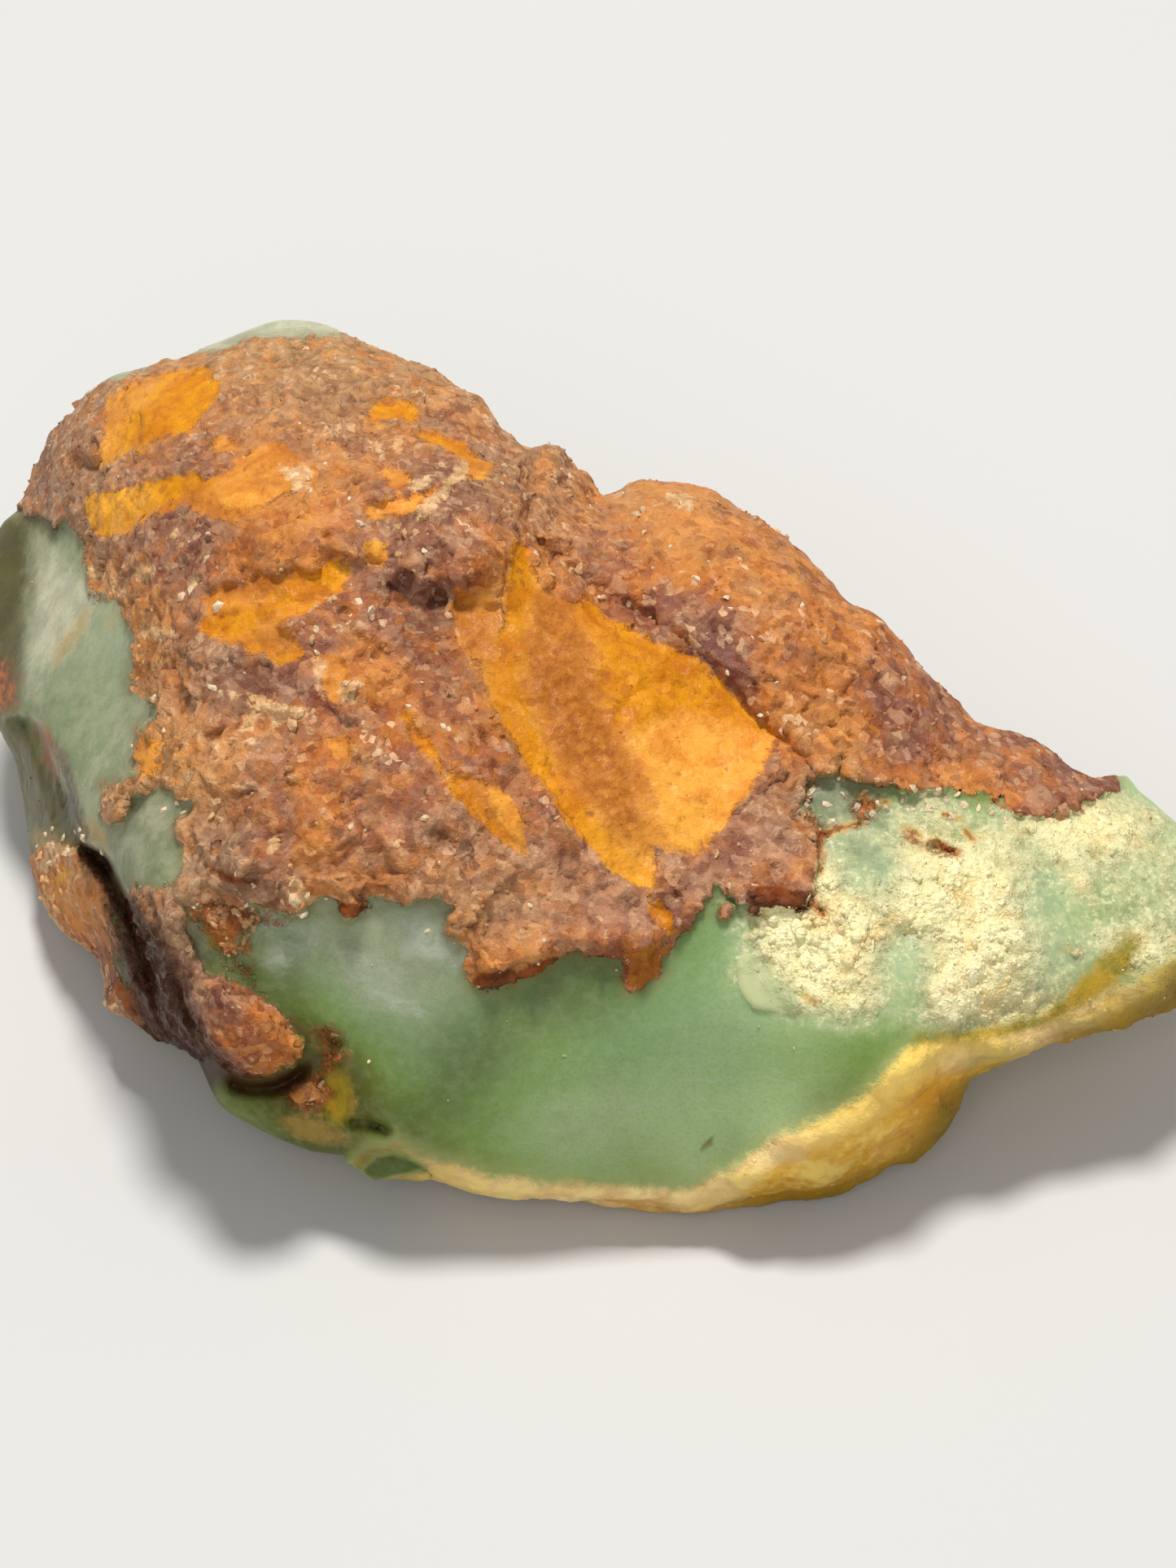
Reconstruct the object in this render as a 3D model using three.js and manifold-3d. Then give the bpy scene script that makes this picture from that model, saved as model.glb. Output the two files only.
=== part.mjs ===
// Raw chrysoprase: one lump of apple-green chalcedony with an iron-oxide rind on
// top, a smooth broken green face in front, a cream weathered rim along its lower
// edge, a thin granular wing at +X and a cracked ledge at -X. It lies on a flat
// patch of its underside. Millimetres, +Z up, origin under the middle of the stone.
//
// The stone is a body between two sheets: a front sheet, which is all that faces up
// and forward, and a back sheet, which is the underside and the rear wall. Both are
// heights over a plate tilted back from the floor, laid out from a station point in
// front of and above the stone, and they meet at the stone's outline on that plate.
import * as THREE from 'three';
import { mergeVertices } from 'three/addons/utils/BufferGeometryUtils.js';
import Module from 'manifold-3d';

// ---- driving dimensions (mm, degrees) ----
const TILT_DEG = 43;            // how far the plate's normal leans up from horizontal
const STATION = 149;            // station point to the middle of the plate
const ORIGIN = [-0.016, -6.451];    // moves the origin under the middle of the stone
const CELL = 1.25;            // size of the facets
const EDGE_ROUND = 1.5;         // how far the outline's edges are rounded
const OUTSET = 0.3;             // makes up for what the rounding takes off the outline
const RIND_PROUD = 0.55;        // rind over the green stone
const CLUMP_PROUD = 1.25;       // brown clump at the front left
const CREASE_DEEP = 1.0, CREASE_WIDE = 0.9;     // crease between the two lobes
const HOLLOW_DEEP = 2.6, HOLLOW_WIDE = 1.3;     // hollow under the left lobe's lip
const GROOVE_DEEP = 2.4, GROOVE_WIDE = 0.95;    // crack between the ledge and the body
const HOLE_DEEP = 1.6, HOLE_WIDE = 0.75;        // dark hole at the head of the crack
const CAVE_DEEP = 1.5, CAVE_WIDE = 0.95;        // recess under the clump
const LIP_SOFT = 0.45;          // half-width of the step down to the ledge
const RIM_THICK = 1.4;          // thickness of the stone just inside its outline

// ---- tables: s, t on the plate and height h over it (mm) ----
// where the two sheets meet, clockwise from the left end
const OUTLINE = [
  [-27.86, 12.55, 2.93], [-26.9, 13.32, 3.34], [-26.59, 13.82, 3.08], [-26.39, 14.4, 3.22],
  [-26.24, 14.98, 3.36], [-26.05, 15.75, 3.44], [-25.85, 16.21, 3.55], [-25.55, 16.72, 3.63],
  [-24.97, 17.41, 4.14], [-24.39, 18.07, 4.53], [-23.81, 18.64, 4.85], [-23.23, 19.22, 5.01],
  [-22.46, 19.61, 5.39], [-21.88, 19.8, 5.67], [-20.92, 19.99, 6.13], [-20.15, 20.3, 6.44],
  [-19.38, 20.49, 6.56], [-18.8, 20.69, 6.67], [-18.22, 20.96, 6.69], [-17.64, 21.15, 6.63],
  [-16.87, 21.46, 6.6], [-16.29, 21.73, 6.45], [-15.52, 22, 6.29], [-14.75, 22.19, 6.23], [-13.98, 22.23, 6.36],
  [-13.21, 22.19, 6.58], [-12.44, 22.04, 6.94], [-11.47, 21.65, 7.58], [-10.51, 21.15, 8.18],
  [-9.54, 20.84, 8.55], [-8.77, 20.49, 8.96], [-8, 20.07, 9.46], [-7.23, 19.72, 9.87], [-6.65, 19.3, 10.19],
  [-5.88, 18.84, 10.73], [-5.11, 18.41, 11.04], [-4.72, 17.99, 11.53], [-4.42, 17.49, 11.93],
  [-3.95, 16.91, 12.41], [-3.37, 16.6, 12.42], [-2.99, 16.14, 12.6], [-2.8, 16.06, 12.36],
  [-2.41, 16.25, 11.98], [-1.83, 16.29, 11.77], [-1.25, 16.21, 11.52], [-0.98, 15.94, 11.49],
  [-0.75, 15.37, 11.64], [-0.48, 14.9, 11.66], [-0.02, 14.79, 11.13], [0.29, 14.33, 11.15],
  [0.52, 13.82, 11.22], [0.67, 13.63, 11.11], [1.25, 13.9, 10.81], [1.83, 14.25, 10.42], [2.6, 14.44, 10.21],
  [3.37, 14.4, 10.25], [4.72, 14.48, 10.17], [5.3, 14.33, 10.34], [6.27, 14.02, 10.52], [6.84, 13.71, 10.7],
  [8, 12.86, 11.14], [9.35, 11.9, 11.71], [10.7, 10.93, 12.26], [11.66, 9.7, 13.1], [12.63, 8.62, 13.75],
  [13.59, 8.23, 13.68], [14.56, 7.08, 14.1], [15.52, 6.11, 14.31], [16.48, 5.15, 14.52], [17.45, 4.38, 14.53],
  [18.41, 3.03, 14.97], [18.95, 2.8, 14.9], [19.95, 2.53, 14.57], [21, 2.18, 14.46], [22.46, 1.18, 14.7],
  [23.23, 0.6, 14.82], [23.93, 0.37, 14.75], [24.58, 0.44, 14.23], [25.2, 0.67, 13.71], [25.7, 0.52, 13.57],
  [26.12, -0.21, 13.99], [26.97, -0.83, 14.15], [27.86, -1.6, 14.6], [29.21, -2.95, 15.16],
  [30.37, -4.3, 15.85], [31.21, -5.84, 16.71], [31.6, -7.19, 17.37], [31.45, -8.35, 17.99],
  [30.56, -9.31, 18.7], [29.21, -10.04, 19.21], [27.86, -10.66, 19.61], [26.9, -11.24, 19.97],
  [26.12, -11.74, 20.13], [25.39, -12.13, 20.32], [24, -12.4, 20.28], [22.46, -12.82, 20.37],
  [21.11, -12.98, 20.37], [19.53, -13.55, 20.59], [18.61, -13.82, 20.42], [18.07, -14.02, 20.31],
  [18.03, -14.52, 19.94], [17.91, -14.9, 19.73], [17.64, -15.6, 19.52], [17.18, -16.37, 19.51],
  [16.52, -17.18, 19.53], [15.52, -17.91, 19.61], [14.33, -18.45, 19.67], [12.86, -19.26, 19.94],
  [12.05, -19.65, 20.13], [11.2, -19.92, 20.22], [10.12, -20.07, 20.22], [9.2, -20.15, 20.28],
  [7.81, -20.3, 20.27], [6.46, -20.46, 20.4], [5.49, -20.61, 20.52], [4.8, -20.65, 20.55],
  [4.07, -20.61, 20.52], [2.41, -20.46, 20.53], [0.83, -20.26, 20.5], [-0.87, -20.03, 20.57],
  [-1.56, -19.8, 20.64], [-3.18, -19.57, 20.71], [-4.76, -19.34, 20.78], [-6.07, -18.99, 20.88],
  [-7.15, -18.68, 20.89], [-8.58, -18.49, 21.12], [-10.12, -18.22, 21.16], [-11.28, -17.91, 21.17],
  [-11.82, -17.8, 21.34], [-13.09, -17.64, 21.47], [-14.71, -17.02, 21.49], [-15.44, -16.68, 21.47],
  [-16.18, -16.29, 21.28], [-17.06, -15.83, 21.03], [-17.76, -15.29, 20.71], [-18.37, -14.09, 19.58],
  [-18.76, -13.21, 18.56], [-20.11, -12.59, 17.62], [-20.92, -11.9, 16.75], [-21.69, -11.24, 15.9],
  [-22.27, -11.05, 15.59], [-22.92, -10.85, 15.28], [-23.23, -10.08, 14.32], [-23.16, -9.31, 13.62],
  [-23.43, -8.54, 12.77], [-24, -7.77, 12.06], [-24.97, -7.19, 11.38], [-25.55, -6.42, 10.65],
  [-26.01, -5.65, 9.91], [-26.39, -4.49, 8.93], [-26.7, -2.95, 7.84], [-26.9, -1.41, 7.01],
  [-27.17, 0.13, 6.17], [-27.47, 1.29, 6], [-28.01, 2.26, 6.19], [-28.4, 3.22, 6.22], [-28.63, 4.76, 5.8],
  [-28.79, 6.3, 5.21], [-28.82, 7.85, 4.45], [-28.71, 9.39, 3.83], [-28.48, 10.93, 3.19], [-28.17, 11.9, 3.05],
];
// front sheet
const FRONT = [
  [-14.75, 20.57, 9.56], [-18.22, 19.61, 9.83], [-21.3, 18.64, 8.92], [-23.62, 16.72, 7.96],
  [-24.97, 14.98, 7.14], [-24.39, 13.25, 9.1], [-22.08, 14.02, 12.64], [-18.99, 16.33, 13.72],
  [-15.13, 17.87, 13.85], [-11.28, 18.64, 13.15], [-7.81, 18.26, 13.08], [-5.11, 16.33, 14.88],
  [-12.44, 15.56, 17.21], [-8.58, 15.17, 17.62], [-16.29, 13.25, 18.66], [-12.44, 12.09, 20.49],
  [-9.74, 12.47, 20.1], [-20.15, 11.7, 16.72], [-16.29, 10.16, 20.36], [-12.82, 9.39, 21.28],
  [-10.51, 8.62, 21.41], [-19.38, 8.62, 18.91], [-22.08, 10.55, 14.1], [-23.62, 11.51, 10.2],
  [-5.88, 13.25, 18.82], [-3.95, 14.02, 16.88], [-4.72, 10.93, 19.74], [-2.8, 12.47, 17.2],
  [-1.64, 14.79, 13.27], [-20.92, 6.3, 18.11], [-17.83, 6.3, 21.18], [-14.75, 6.3, 22.41],
  [-11.28, 5.53, 22.68], [-20.53, 2.45, 20.61], [-17.83, 2.45, 22.99], [-14.75, 2.45, 23.74],
  [-11.28, 2.45, 23.89], [-7.81, 3.99, 22.61], [-18.61, -0.64, 23.35], [-16.29, -2.18, 24.87],
  [-13.98, -1.41, 25.15], [-10.51, -0.64, 25.1], [-7.04, 0.13, 24.75], [-18.22, -4.11, 24.24],
  [-15.52, -4.69, 25.05], [-12.44, -4.49, 25.21], [-9.35, -4.11, 25.09], [-6.27, -3.34, 24.85],
  [-3.95, -3.34, 24.42], [-7.04, -6.42, 25.04], [-5.11, -7.96, 24.75], [-3.18, -7.19, 24.59],
  [-0.87, -6.81, 24.32], [-1.25, -3.34, 23.99], [1.45, -5.26, 23.72], [2.99, -7.19, 23.62],
  [3.76, -6.03, 23.52], [1.45, -7.58, 24.04], [-4.72, 7.08, 21.05], [-3.18, 8.62, 19.54], [-0.87, 7.85, 18.9],
  [2.22, 6.69, 18.5], [4.92, 4.76, 18.7], [7.62, 2.45, 19.11], [8, 0.52, 20], [6.07, -2.18, 21.7],
  [3.76, -3.72, 22.83], [1.06, -1.41, 23.11], [-0.87, 1.68, 22.35], [-2.41, 4.38, 21.65], [1.45, 3.22, 20.78],
  [-3.95, 2.45, 22.99], [-4.72, -0.64, 24.37], [-2.8, -1.41, 24.13], [-0.1, 12.47, 14.3], [1.45, 12.47, 13.66],
  [3.76, 12.47, 13.66], [6.84, 11.7, 14.16], [9.16, 10.16, 15.14], [5.3, 10.16, 15.93], [2.22, 10.16, 15.45],
  [4.53, 8.23, 16.96], [7.62, 7.85, 17.19], [10.7, 7.08, 17.03], [6.84, 5.53, 18.25], [9.54, 4.38, 18.47],
  [12.63, 5.15, 17.11], [14.56, 4.38, 16.8], [12.63, 2.45, 18.82], [16.48, 2.45, 17.32], [9.93, 1.68, 19.4],
  [9.16, -1.41, 20.9], [7.62, -3.72, 22.12], [10.7, -2.56, 21.19], [6.46, -4.69, 22.49], [18.41, 0.91, 17.31],
  [21.5, 0.52, 16.2], [24.2, -0.44, 15.8], [14.56, 0.91, 18.79], [11.86, -0.64, 19.92], [14.56, -1.02, 19.39],
  [18.41, -1.41, 18.72], [13.01, -3.72, 21.45], [16.48, -3.72, 20.88], [20.34, -3.72, 19.88],
  [10.7, -5.26, 22.72], [8.77, -7.19, 22.78], [12.63, -6.81, 23.13], [16.48, -6.42, 22.25],
  [20.34, -6.42, 21.41], [10.7, -9.12, 23.81], [14.56, -9.12, 23.39], [18.41, -9.12, 22.43],
  [22.27, -1.79, 17.76], [25.35, -1.79, 16.61], [27.67, -3.72, 17.45], [23.43, -4.49, 19.39],
  [26.12, -6.03, 19.55], [23.43, -7.19, 20.79], [22.27, -9.51, 21.53], [26.12, -8.73, 20.58],
  [28.44, -7.58, 19.31], [29.98, -6.42, 17.91], [27.28, -9.89, 20.09], [24.2, -11.24, 20.77],
  [19.95, -11.82, 21.7], [29.21, -4.49, 16.98], [-14.36, -7.19, 24.59], [-10.89, -7.19, 24.73],
  [-7.81, -7.96, 24.89], [-15.13, -8.73, 24.4], [-11.28, -9.12, 24.46], [-7.81, -9.89, 24.61],
  [-12.44, -11.43, 24.1], [-9.74, -12.59, 24.35], [-10.51, -14.52, 24.14], [-6.27, -12.2, 24.62],
  [-6.27, -15.29, 24.2], [-2.8, -10.66, 24.27], [-3.18, -13.75, 24.31], [-3.18, -16.83, 23.47],
  [1.06, -11.05, 24.25], [0.67, -14.13, 24.03], [0.29, -17.22, 22.75], [4.53, -8.35, 23.39],
  [4.53, -11.43, 23.96], [4.15, -14.52, 23.6], [4.15, -17.6, 22.3], [6.84, -6.42, 23.08], [6.84, -9.89, 23.79],
  [8, -12.98, 23.8], [7.62, -15.67, 23.23], [10.7, -11.05, 24.26], [11.47, -13.36, 24.15],
  [13.79, -11.43, 23.93], [-7.81, -16.83, 23.34], [-12.28, -14.71, 22.46], [-10.89, -16.83, 22.81],
  [-14.36, -15.67, 22.31], [-9.08, -17.41, 22.66], [-5.88, -18.18, 22.13], [-2.22, -19.15, 21.64],
  [1.87, -19.45, 21.37], [4.61, -19.61, 21.24], [6.46, -18.95, 21.61], [8.77, -17.6, 22.82],
  [10.85, -16.64, 23.11], [13.05, -15.67, 23.22], [15.33, -13.94, 22.92], [16.48, -12.98, 22.74],
  [8.77, -19.15, 21.77], [11.47, -18.37, 22.06], [14.17, -16.83, 21.83], [16.48, -15.29, 21.44],
  [-17.06, -14.71, 21.14], [-20.15, -6.42, 23.82], [-18.61, -7.58, 23.48], [-18.22, -9.89, 23.38],
  [-16.29, -11.05, 23.57], [-14.36, -12.59, 23], [-17.83, -12.59, 23], [-16.29, -13.55, 22.92],
  [-25.55, 11.51, 6.69], [-24, 9.2, 10.79], [-25.55, 7.85, 9.26], [-26.32, 10.16, 6.12], [-22.85, 6.69, 14.03],
  [-21.88, 4.76, 16.58], [-24, 4.38, 14.38], [-26.12, 5.15, 10.41], [-23.23, 1.68, 17.03], [-21.5, 3.22, 18.08],
  [-24.77, 1.29, 14.88], [-25.55, 2.83, 12.46], [-23.81, -1.41, 17.75], [-22.08, 0.13, 19.52],
  [-20.53, -2.95, 22.91], [-20.92, -4.88, 22.9], [-27.09, 10.16, 4.7], [-27.4, 7.08, 6.22],
  [-27.28, 3.99, 8.12], [-27.86, 4.38, 6.66],
];
// top of the ledge at the left end
const LEDGE_TOP = [
  [-27.86, 2.26, 7.08], [-26.7, 1.29, 8.96], [-25.93, 0.13, 10.57], [-25.16, -1.41, 12.53],
  [-26.32, -1.41, 10.06], [-24.77, -3.34, 14.38], [-25.93, -3.72, 12.17], [-23.62, -4.88, 16.1],
  [-25.16, -5.65, 14.28], [-22.85, -7.19, 17.37], [-24.39, -7.19, 14.58], [-21.69, -9.89, 18.11],
  [-22.65, -9.12, 16.88], [-22.85, -10.28, 16.54], [-20.53, -11.82, 18.57], [-19.38, -12.59, 19.1],
  [-21.3, -8.35, 17.3], [-20.15, -10.66, 18.52],
];
// back sheet: flat patch, underside and rear wall
const BACK = [
  [-18.76, -6.23, 6.05], [-17.65, -10.04, 9.7], [-14.2, -13.24, 12.63], [-8.88, -15.73, 14.82],
  [-2.24, -17.26, 16.14], [4.5, -17.87, 16.65], [10.08, -17, 15.92], [12.67, -14.47, 13.73],
  [11.74, -9.65, 9.34], [8.27, -5.13, 4.95], [4.03, -1.56, 1.29], [-2.95, 1.83, -2.36], [-9.68, 4.11, -4.92],
  [-16.61, 2.82, -3.46], [-19.17, -1.56, 1.29], [-12.57, -7.76, 6.77], [-6.45, -11.63, 10.42],
  [2.16, -12.43, 11.16], [7.57, -12.43, 11.16], [-12.04, -1.61, 0.55], [-5.13, -4.8, 3.84], [2.07, -6.26, 5.31],
  [-6.91, 0.77, -2.01], [-2.12, -9.28, 8.23], [-12.99, -16.11, 17.05], [-6.82, -17.83, 17.92],
  [0, -18.96, 18.41], [5.71, -19.14, 18.56], [10.79, -18.26, 17.83], [14.83, -15.66, 16.41],
  [-24.28, -1.51, 4.79], [-23.16, -5.46, 7.47], [-21.06, -9.37, 11.06], [-17.18, -13.24, 14.57],
  [-24.26, 3.2, 1.59], [-25.45, 6.91, 1.46], [15.85, -10.81, 12.66], [19.11, -12.32, 16.44],
  [24.26, -10.91, 16.96], [28.08, -9.13, 16.35], [15.54, -7.44, 9.94], [20.85, -8.58, 13.22],
  [23.47, -6.17, 12.51], [27.65, -6.57, 14.29], [13.65, -4.35, 7.08], [18.82, -4.63, 10.48],
  [25.1, -3.46, 12.49], [-25.78, 9.37, 1.02], [-23.57, 14.15, 1.07], [-22.86, 9.47, -2.25],
  [-20.01, 6.23, -3.62], [-19.19, 17.27, 1.45], [-18.88, 13.73, -3.32], [-17.69, 9.26, -5.15],
  [-12.1, 18.87, 1.19], [-11.68, 15.64, -4.03], [-11.5, 10.56, -6.54], [-6.7, 16.92, 4.38],
  [-6.91, 13.91, -1.91], [-5.36, 8.41, -3.98], [-1.25, 13.98, 5.83], [-1.81, 11.69, 0.73], [0, 6.1, -1.63],
  [4.16, 12.35, 5.74], [4.04, 9.63, 1.51], [4.99, 4.5, -0.44], [8.9, 10.03, 6.74], [9.21, 7.22, 3.43],
  [9.12, 2.07, 1.91], [13.43, 5.47, 9.16], [13.31, 3, 5.7], [12.38, -1.59, 4.58], [19.03, 0.57, 11.16],
  [18.05, -1.93, 8.7], [23.94, -1.54, 12.08],
];
// area of the ledge
const LEDGE = [
  [-29.4, 2.72], [-28.4, 3.07], [-27.67, 3.14], [-27.09, 3.37], [-26.39, 3.22], [-25.93, 2.83], [-25.55, 1.68],
  [-25.16, 0.71], [-24.77, -0.06], [-24.5, -0.83], [-24.47, -1.6], [-24.08, -2.56], [-23.62, -2.95],
  [-23.04, -3.22], [-22.65, -3.53], [-22.08, -4.88], [-21.5, -6.03], [-20.92, -7.58], [-20.46, -9.12],
  [-20.15, -11.05], [-19.57, -12.4], [-18.61, -12.98], [-18.76, -14.52], [-24, -14.52], [-30.17, -5.26],
];
// crack behind the ledge
const GROOVE = [
  [-23.62, -3.26], [-22.92, -3.72], [-22.38, -4.69], [-21.77, -6.03], [-21.23, -7.58], [-20.76, -9.12],
  [-20.46, -10.66], [-19.95, -12.2],
];
// hole at its head
const HOLE = [
  [-23.85, -3.18], [-23.23, -3.41], [-22.73, -4.03],
];
// brown clump
const CLUMP = [
  [-20.53, -5.07], [-19.57, -5.26], [-18.91, -5.73], [-18.14, -6.61], [-17.45, -7.69], [-16.87, -8.35],
  [-16.29, -8.93], [-15.91, -10.08], [-14.56, -10.85], [-13.52, -11.36], [-13.09, -12.01], [-13.21, -12.9],
  [-14.21, -13.59], [-15.13, -13.86], [-15.94, -14.02], [-16.87, -13.94], [-17.76, -13.67], [-18.61, -12.98],
  [-19.3, -12.4], [-19.95, -11.24], [-20.34, -9.31], [-20.84, -7.58], [-21.38, -6.11], [-21.69, -5.07],
  [-21.3, -4.69],
];
// crease between the lobes
const CREASE = [
  [-2.6, 14.02], [-2.8, 12.47], [-2.1, 11.24], [-1.25, 10.55], [0.67, 9.2], [1.83, 8.54], [2.99, 7.85],
  [4.53, 6.69], [5.69, 5.84], [6.84, 4.38], [7.81, 3.22], [8.77, 2.37], [10.31, 1.1],
];
// hollow under the lip
const HOLLOW = [
  [-10.31, 10.16], [-9.35, 9.62], [-8.19, 9.31], [-7.04, 8.81], [-5.69, 8.62],
];
// recess under the clump
const CAVE = [
  [-17.76, -13.67], [-16.29, -14.21], [-14.75, -14.13], [-13.52, -13.44], [-13.01, -12.98],
];
// area of the rind
const RIND = [
  [-30.17, 25.58], [-30.17, 15.56], [-26.12, 12.47], [-25.47, 12.47], [-24.97, 12.09], [-24.2, 11.51],
  [-24, 10.35], [-23.7, 9.58], [-22.85, 9], [-22.27, 8.23], [-21.69, 6.69], [-21.5, 5.92], [-21.69, 4.38],
  [-21.11, 3.99], [-20.34, 3.61], [-20.53, 3.03], [-21.5, 2.45], [-21.69, 0.52], [-22.85, -0.06],
  [-23.04, -1.41], [-22.92, -1.87], [-22.46, -1.72], [-22.08, -1.72], [-21.5, -0.83], [-20.34, -0.44],
  [-18.8, -0.83], [-19.57, -1.79], [-19.57, -2.95], [-19.18, -3.72], [-19.57, -4.69], [-20.53, -5.07],
  [-19.18, -5.65], [-17.06, -5.84], [-14.36, -6.03], [-13.21, -5.65], [-12.44, -5.46], [-11.28, -6.42],
  [-10.12, -6.03], [-10.31, -5.46], [-9.74, -5.26], [-8.58, -5.65], [-7.42, -5.65], [-6.84, -6.03], [-7.04, -7],
  [-5.88, -7.77], [-5.69, -8.73], [-5.42, -9.7], [-3.95, -9.58], [-2.8, -9.31], [-1.45, -8.27], [-0.87, -8.16],
  [0.1, -8.35], [0.87, -8.35], [1.37, -8.35], [1.64, -9.51], [1.95, -10.39], [2.99, -9.7], [3.76, -9.12],
  [3.95, -8.35], [4.15, -7.58], [4.92, -6.81], [5.69, -5.65], [6.07, -5.07], [7.85, -5.84], [9.16, -5.73],
  [10.04, -6.15], [10.7, -5.46], [10.89, -3.72], [10.7, -2.95], [11.2, -2.56], [10.2, -1.41], [10.2, 0.13],
  [11.86, 0.6], [13.4, 0.13], [14.94, -0.17], [16.87, -0.25], [18.41, -0.44], [20.73, -1.52], [22.27, -1.33],
  [24.2, -1.02], [25.2, -0.44], [25.28, 1.29], [18.41, 25.58],
];

// ---- small helpers ----
const theta = THREE.MathUtils.degToRad(TILT_DEG);
const AXIS = new THREE.Vector3(0, Math.cos(theta), -Math.sin(theta));   // into the plate
const UP = new THREE.Vector3(0, Math.sin(theta), Math.cos(theta));      // up the plate
const EYE = AXIS.clone().multiplyScalar(-STATION);                      // station point
const smooth = (a, b, x) => { const q = Math.min(Math.max((x - a) / (b - a), 0), 1); return q * q * (3 - 2 * q); };
const smin = (a, b, k) => { const h = Math.max(k - Math.abs(a - b), 0) / k; return Math.min(a, b) - h * h * k / 4; };

function solve(A, b) {                       // Gaussian elimination with pivoting
  const n = b.length;
  for (let i = 0; i < n; i++) {
    let p = i;
    for (let r = i + 1; r < n; r++) if (Math.abs(A[r][i]) > Math.abs(A[p][i])) p = r;
    [A[i], A[p]] = [A[p], A[i]]; [b[i], b[p]] = [b[p], b[i]];
    for (let r = i + 1; r < n; r++) {
      const q = A[r][i] / A[i][i];
      if (q === 0) continue;
      for (let c = i; c < n; c++) A[r][c] -= q * A[i][c];
      b[r] -= q * b[i];
    }
  }
  for (let i = n - 1; i >= 0; i--) {
    for (let c = i + 1; c < n; c++) b[i] -= A[i][c] * b[c];
    b[i] /= A[i][i];
  }
  return b;
}

// a smooth sheet through its points (thin plate), eased a little by `ease`
function sheet(points, ease) {
  const n = points.length, A = [], b = [];
  const U = (r2) => (r2 < 1e-12 ? 0 : 0.5 * r2 * Math.log(r2));
  for (let i = 0; i < n; i++) {
    const row = new Float64Array(n + 3);
    for (let j = 0; j < n; j++) row[j] = U((points[i][0] - points[j][0]) ** 2 + (points[i][1] - points[j][1]) ** 2);
    row[i] += ease; row[n] = 1; row[n + 1] = points[i][0]; row[n + 2] = points[i][1];
    A.push(row); b.push(points[i][2]);
  }
  for (let k = 0; k < 3; k++) {
    const row = new Float64Array(n + 3);
    for (let j = 0; j < n; j++) row[j] = k === 0 ? 1 : points[j][k - 1];
    A.push(row); b.push(0);
  }
  const w = solve(A, b);
  return (s, t) => {
    let v = w[n] + w[n + 1] * s + w[n + 2] * t;
    for (let j = 0; j < n; j++) v += w[j] * U((s - points[j][0]) ** 2 + (t - points[j][1]) ** 2);
    return v;
  };
}

function lineDistance(line, s, t, closed) {
  let best = Infinity;
  const n = line.length, last = closed ? n : n - 1;
  for (let i = 0; i < last; i++) {
    const [ax, ay] = line[i], [bx, by] = line[(i + 1) % n];
    const dx = bx - ax, dy = by - ay;
    const q = Math.min(Math.max(((s - ax) * dx + (t - ay) * dy) / (dx * dx + dy * dy), 0), 1);
    best = Math.min(best, Math.hypot(s - ax - q * dx, t - ay - q * dy));
  }
  return best;
}

function inside(poly, s, t) {               // signed distance, positive inside
  let odd = false;
  for (let i = 0, j = poly.length - 1; i < poly.length; j = i++) {
    const [xi, yi] = poly[i], [xj, yj] = poly[j];
    if ((yi > t) !== (yj > t) && s < (xj - xi) * (t - yi) / (yj - yi) + xi) odd = !odd;
  }
  return (odd ? 1 : -1) * lineDistance(poly, s, t, true);
}

// ---- the two sheets, with what stands on the front one and what is cut into it ----
const frontSheet = sheet([...FRONT, ...OUTLINE], 0.6);
const ledgeSheet = sheet(LEDGE_TOP, 0.3);
const backSheet = sheet([...BACK, ...OUTLINE.map(([s, t, h]) => [s, t, h - RIM_THICK])], 0.6);
const ditch = (line, s, t, wide) => Math.exp(-((lineDistance(line, s, t, false) / wide) ** 2));

function front(s, t) {
  let h = frontSheet(s, t);
  h += RIND_PROUD * smooth(-0.2, 0.7, inside(RIND, s, t));
  h += CLUMP_PROUD * smooth(-0.2, 1.3, inside(CLUMP, s, t));
  h -= CREASE_DEEP * ditch(CREASE, s, t, CREASE_WIDE);
  h -= HOLLOW_DEEP * ditch(HOLLOW, s, t, HOLLOW_WIDE);
  h -= CAVE_DEEP * ditch(CAVE, s, t, CAVE_WIDE);
  const out = smooth(-LIP_SOFT, LIP_SOFT, inside(LEDGE, s, t));
  if (out > 0) h += (Math.min(ledgeSheet(s, t), h) - h) * out;
  h -= GROOVE_DEEP * ditch(GROOVE, s, t, GROOVE_WIDE);
  h -= HOLE_DEEP * ditch(HOLE, s, t, HOLE_WIDE);
  return h;
}

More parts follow.
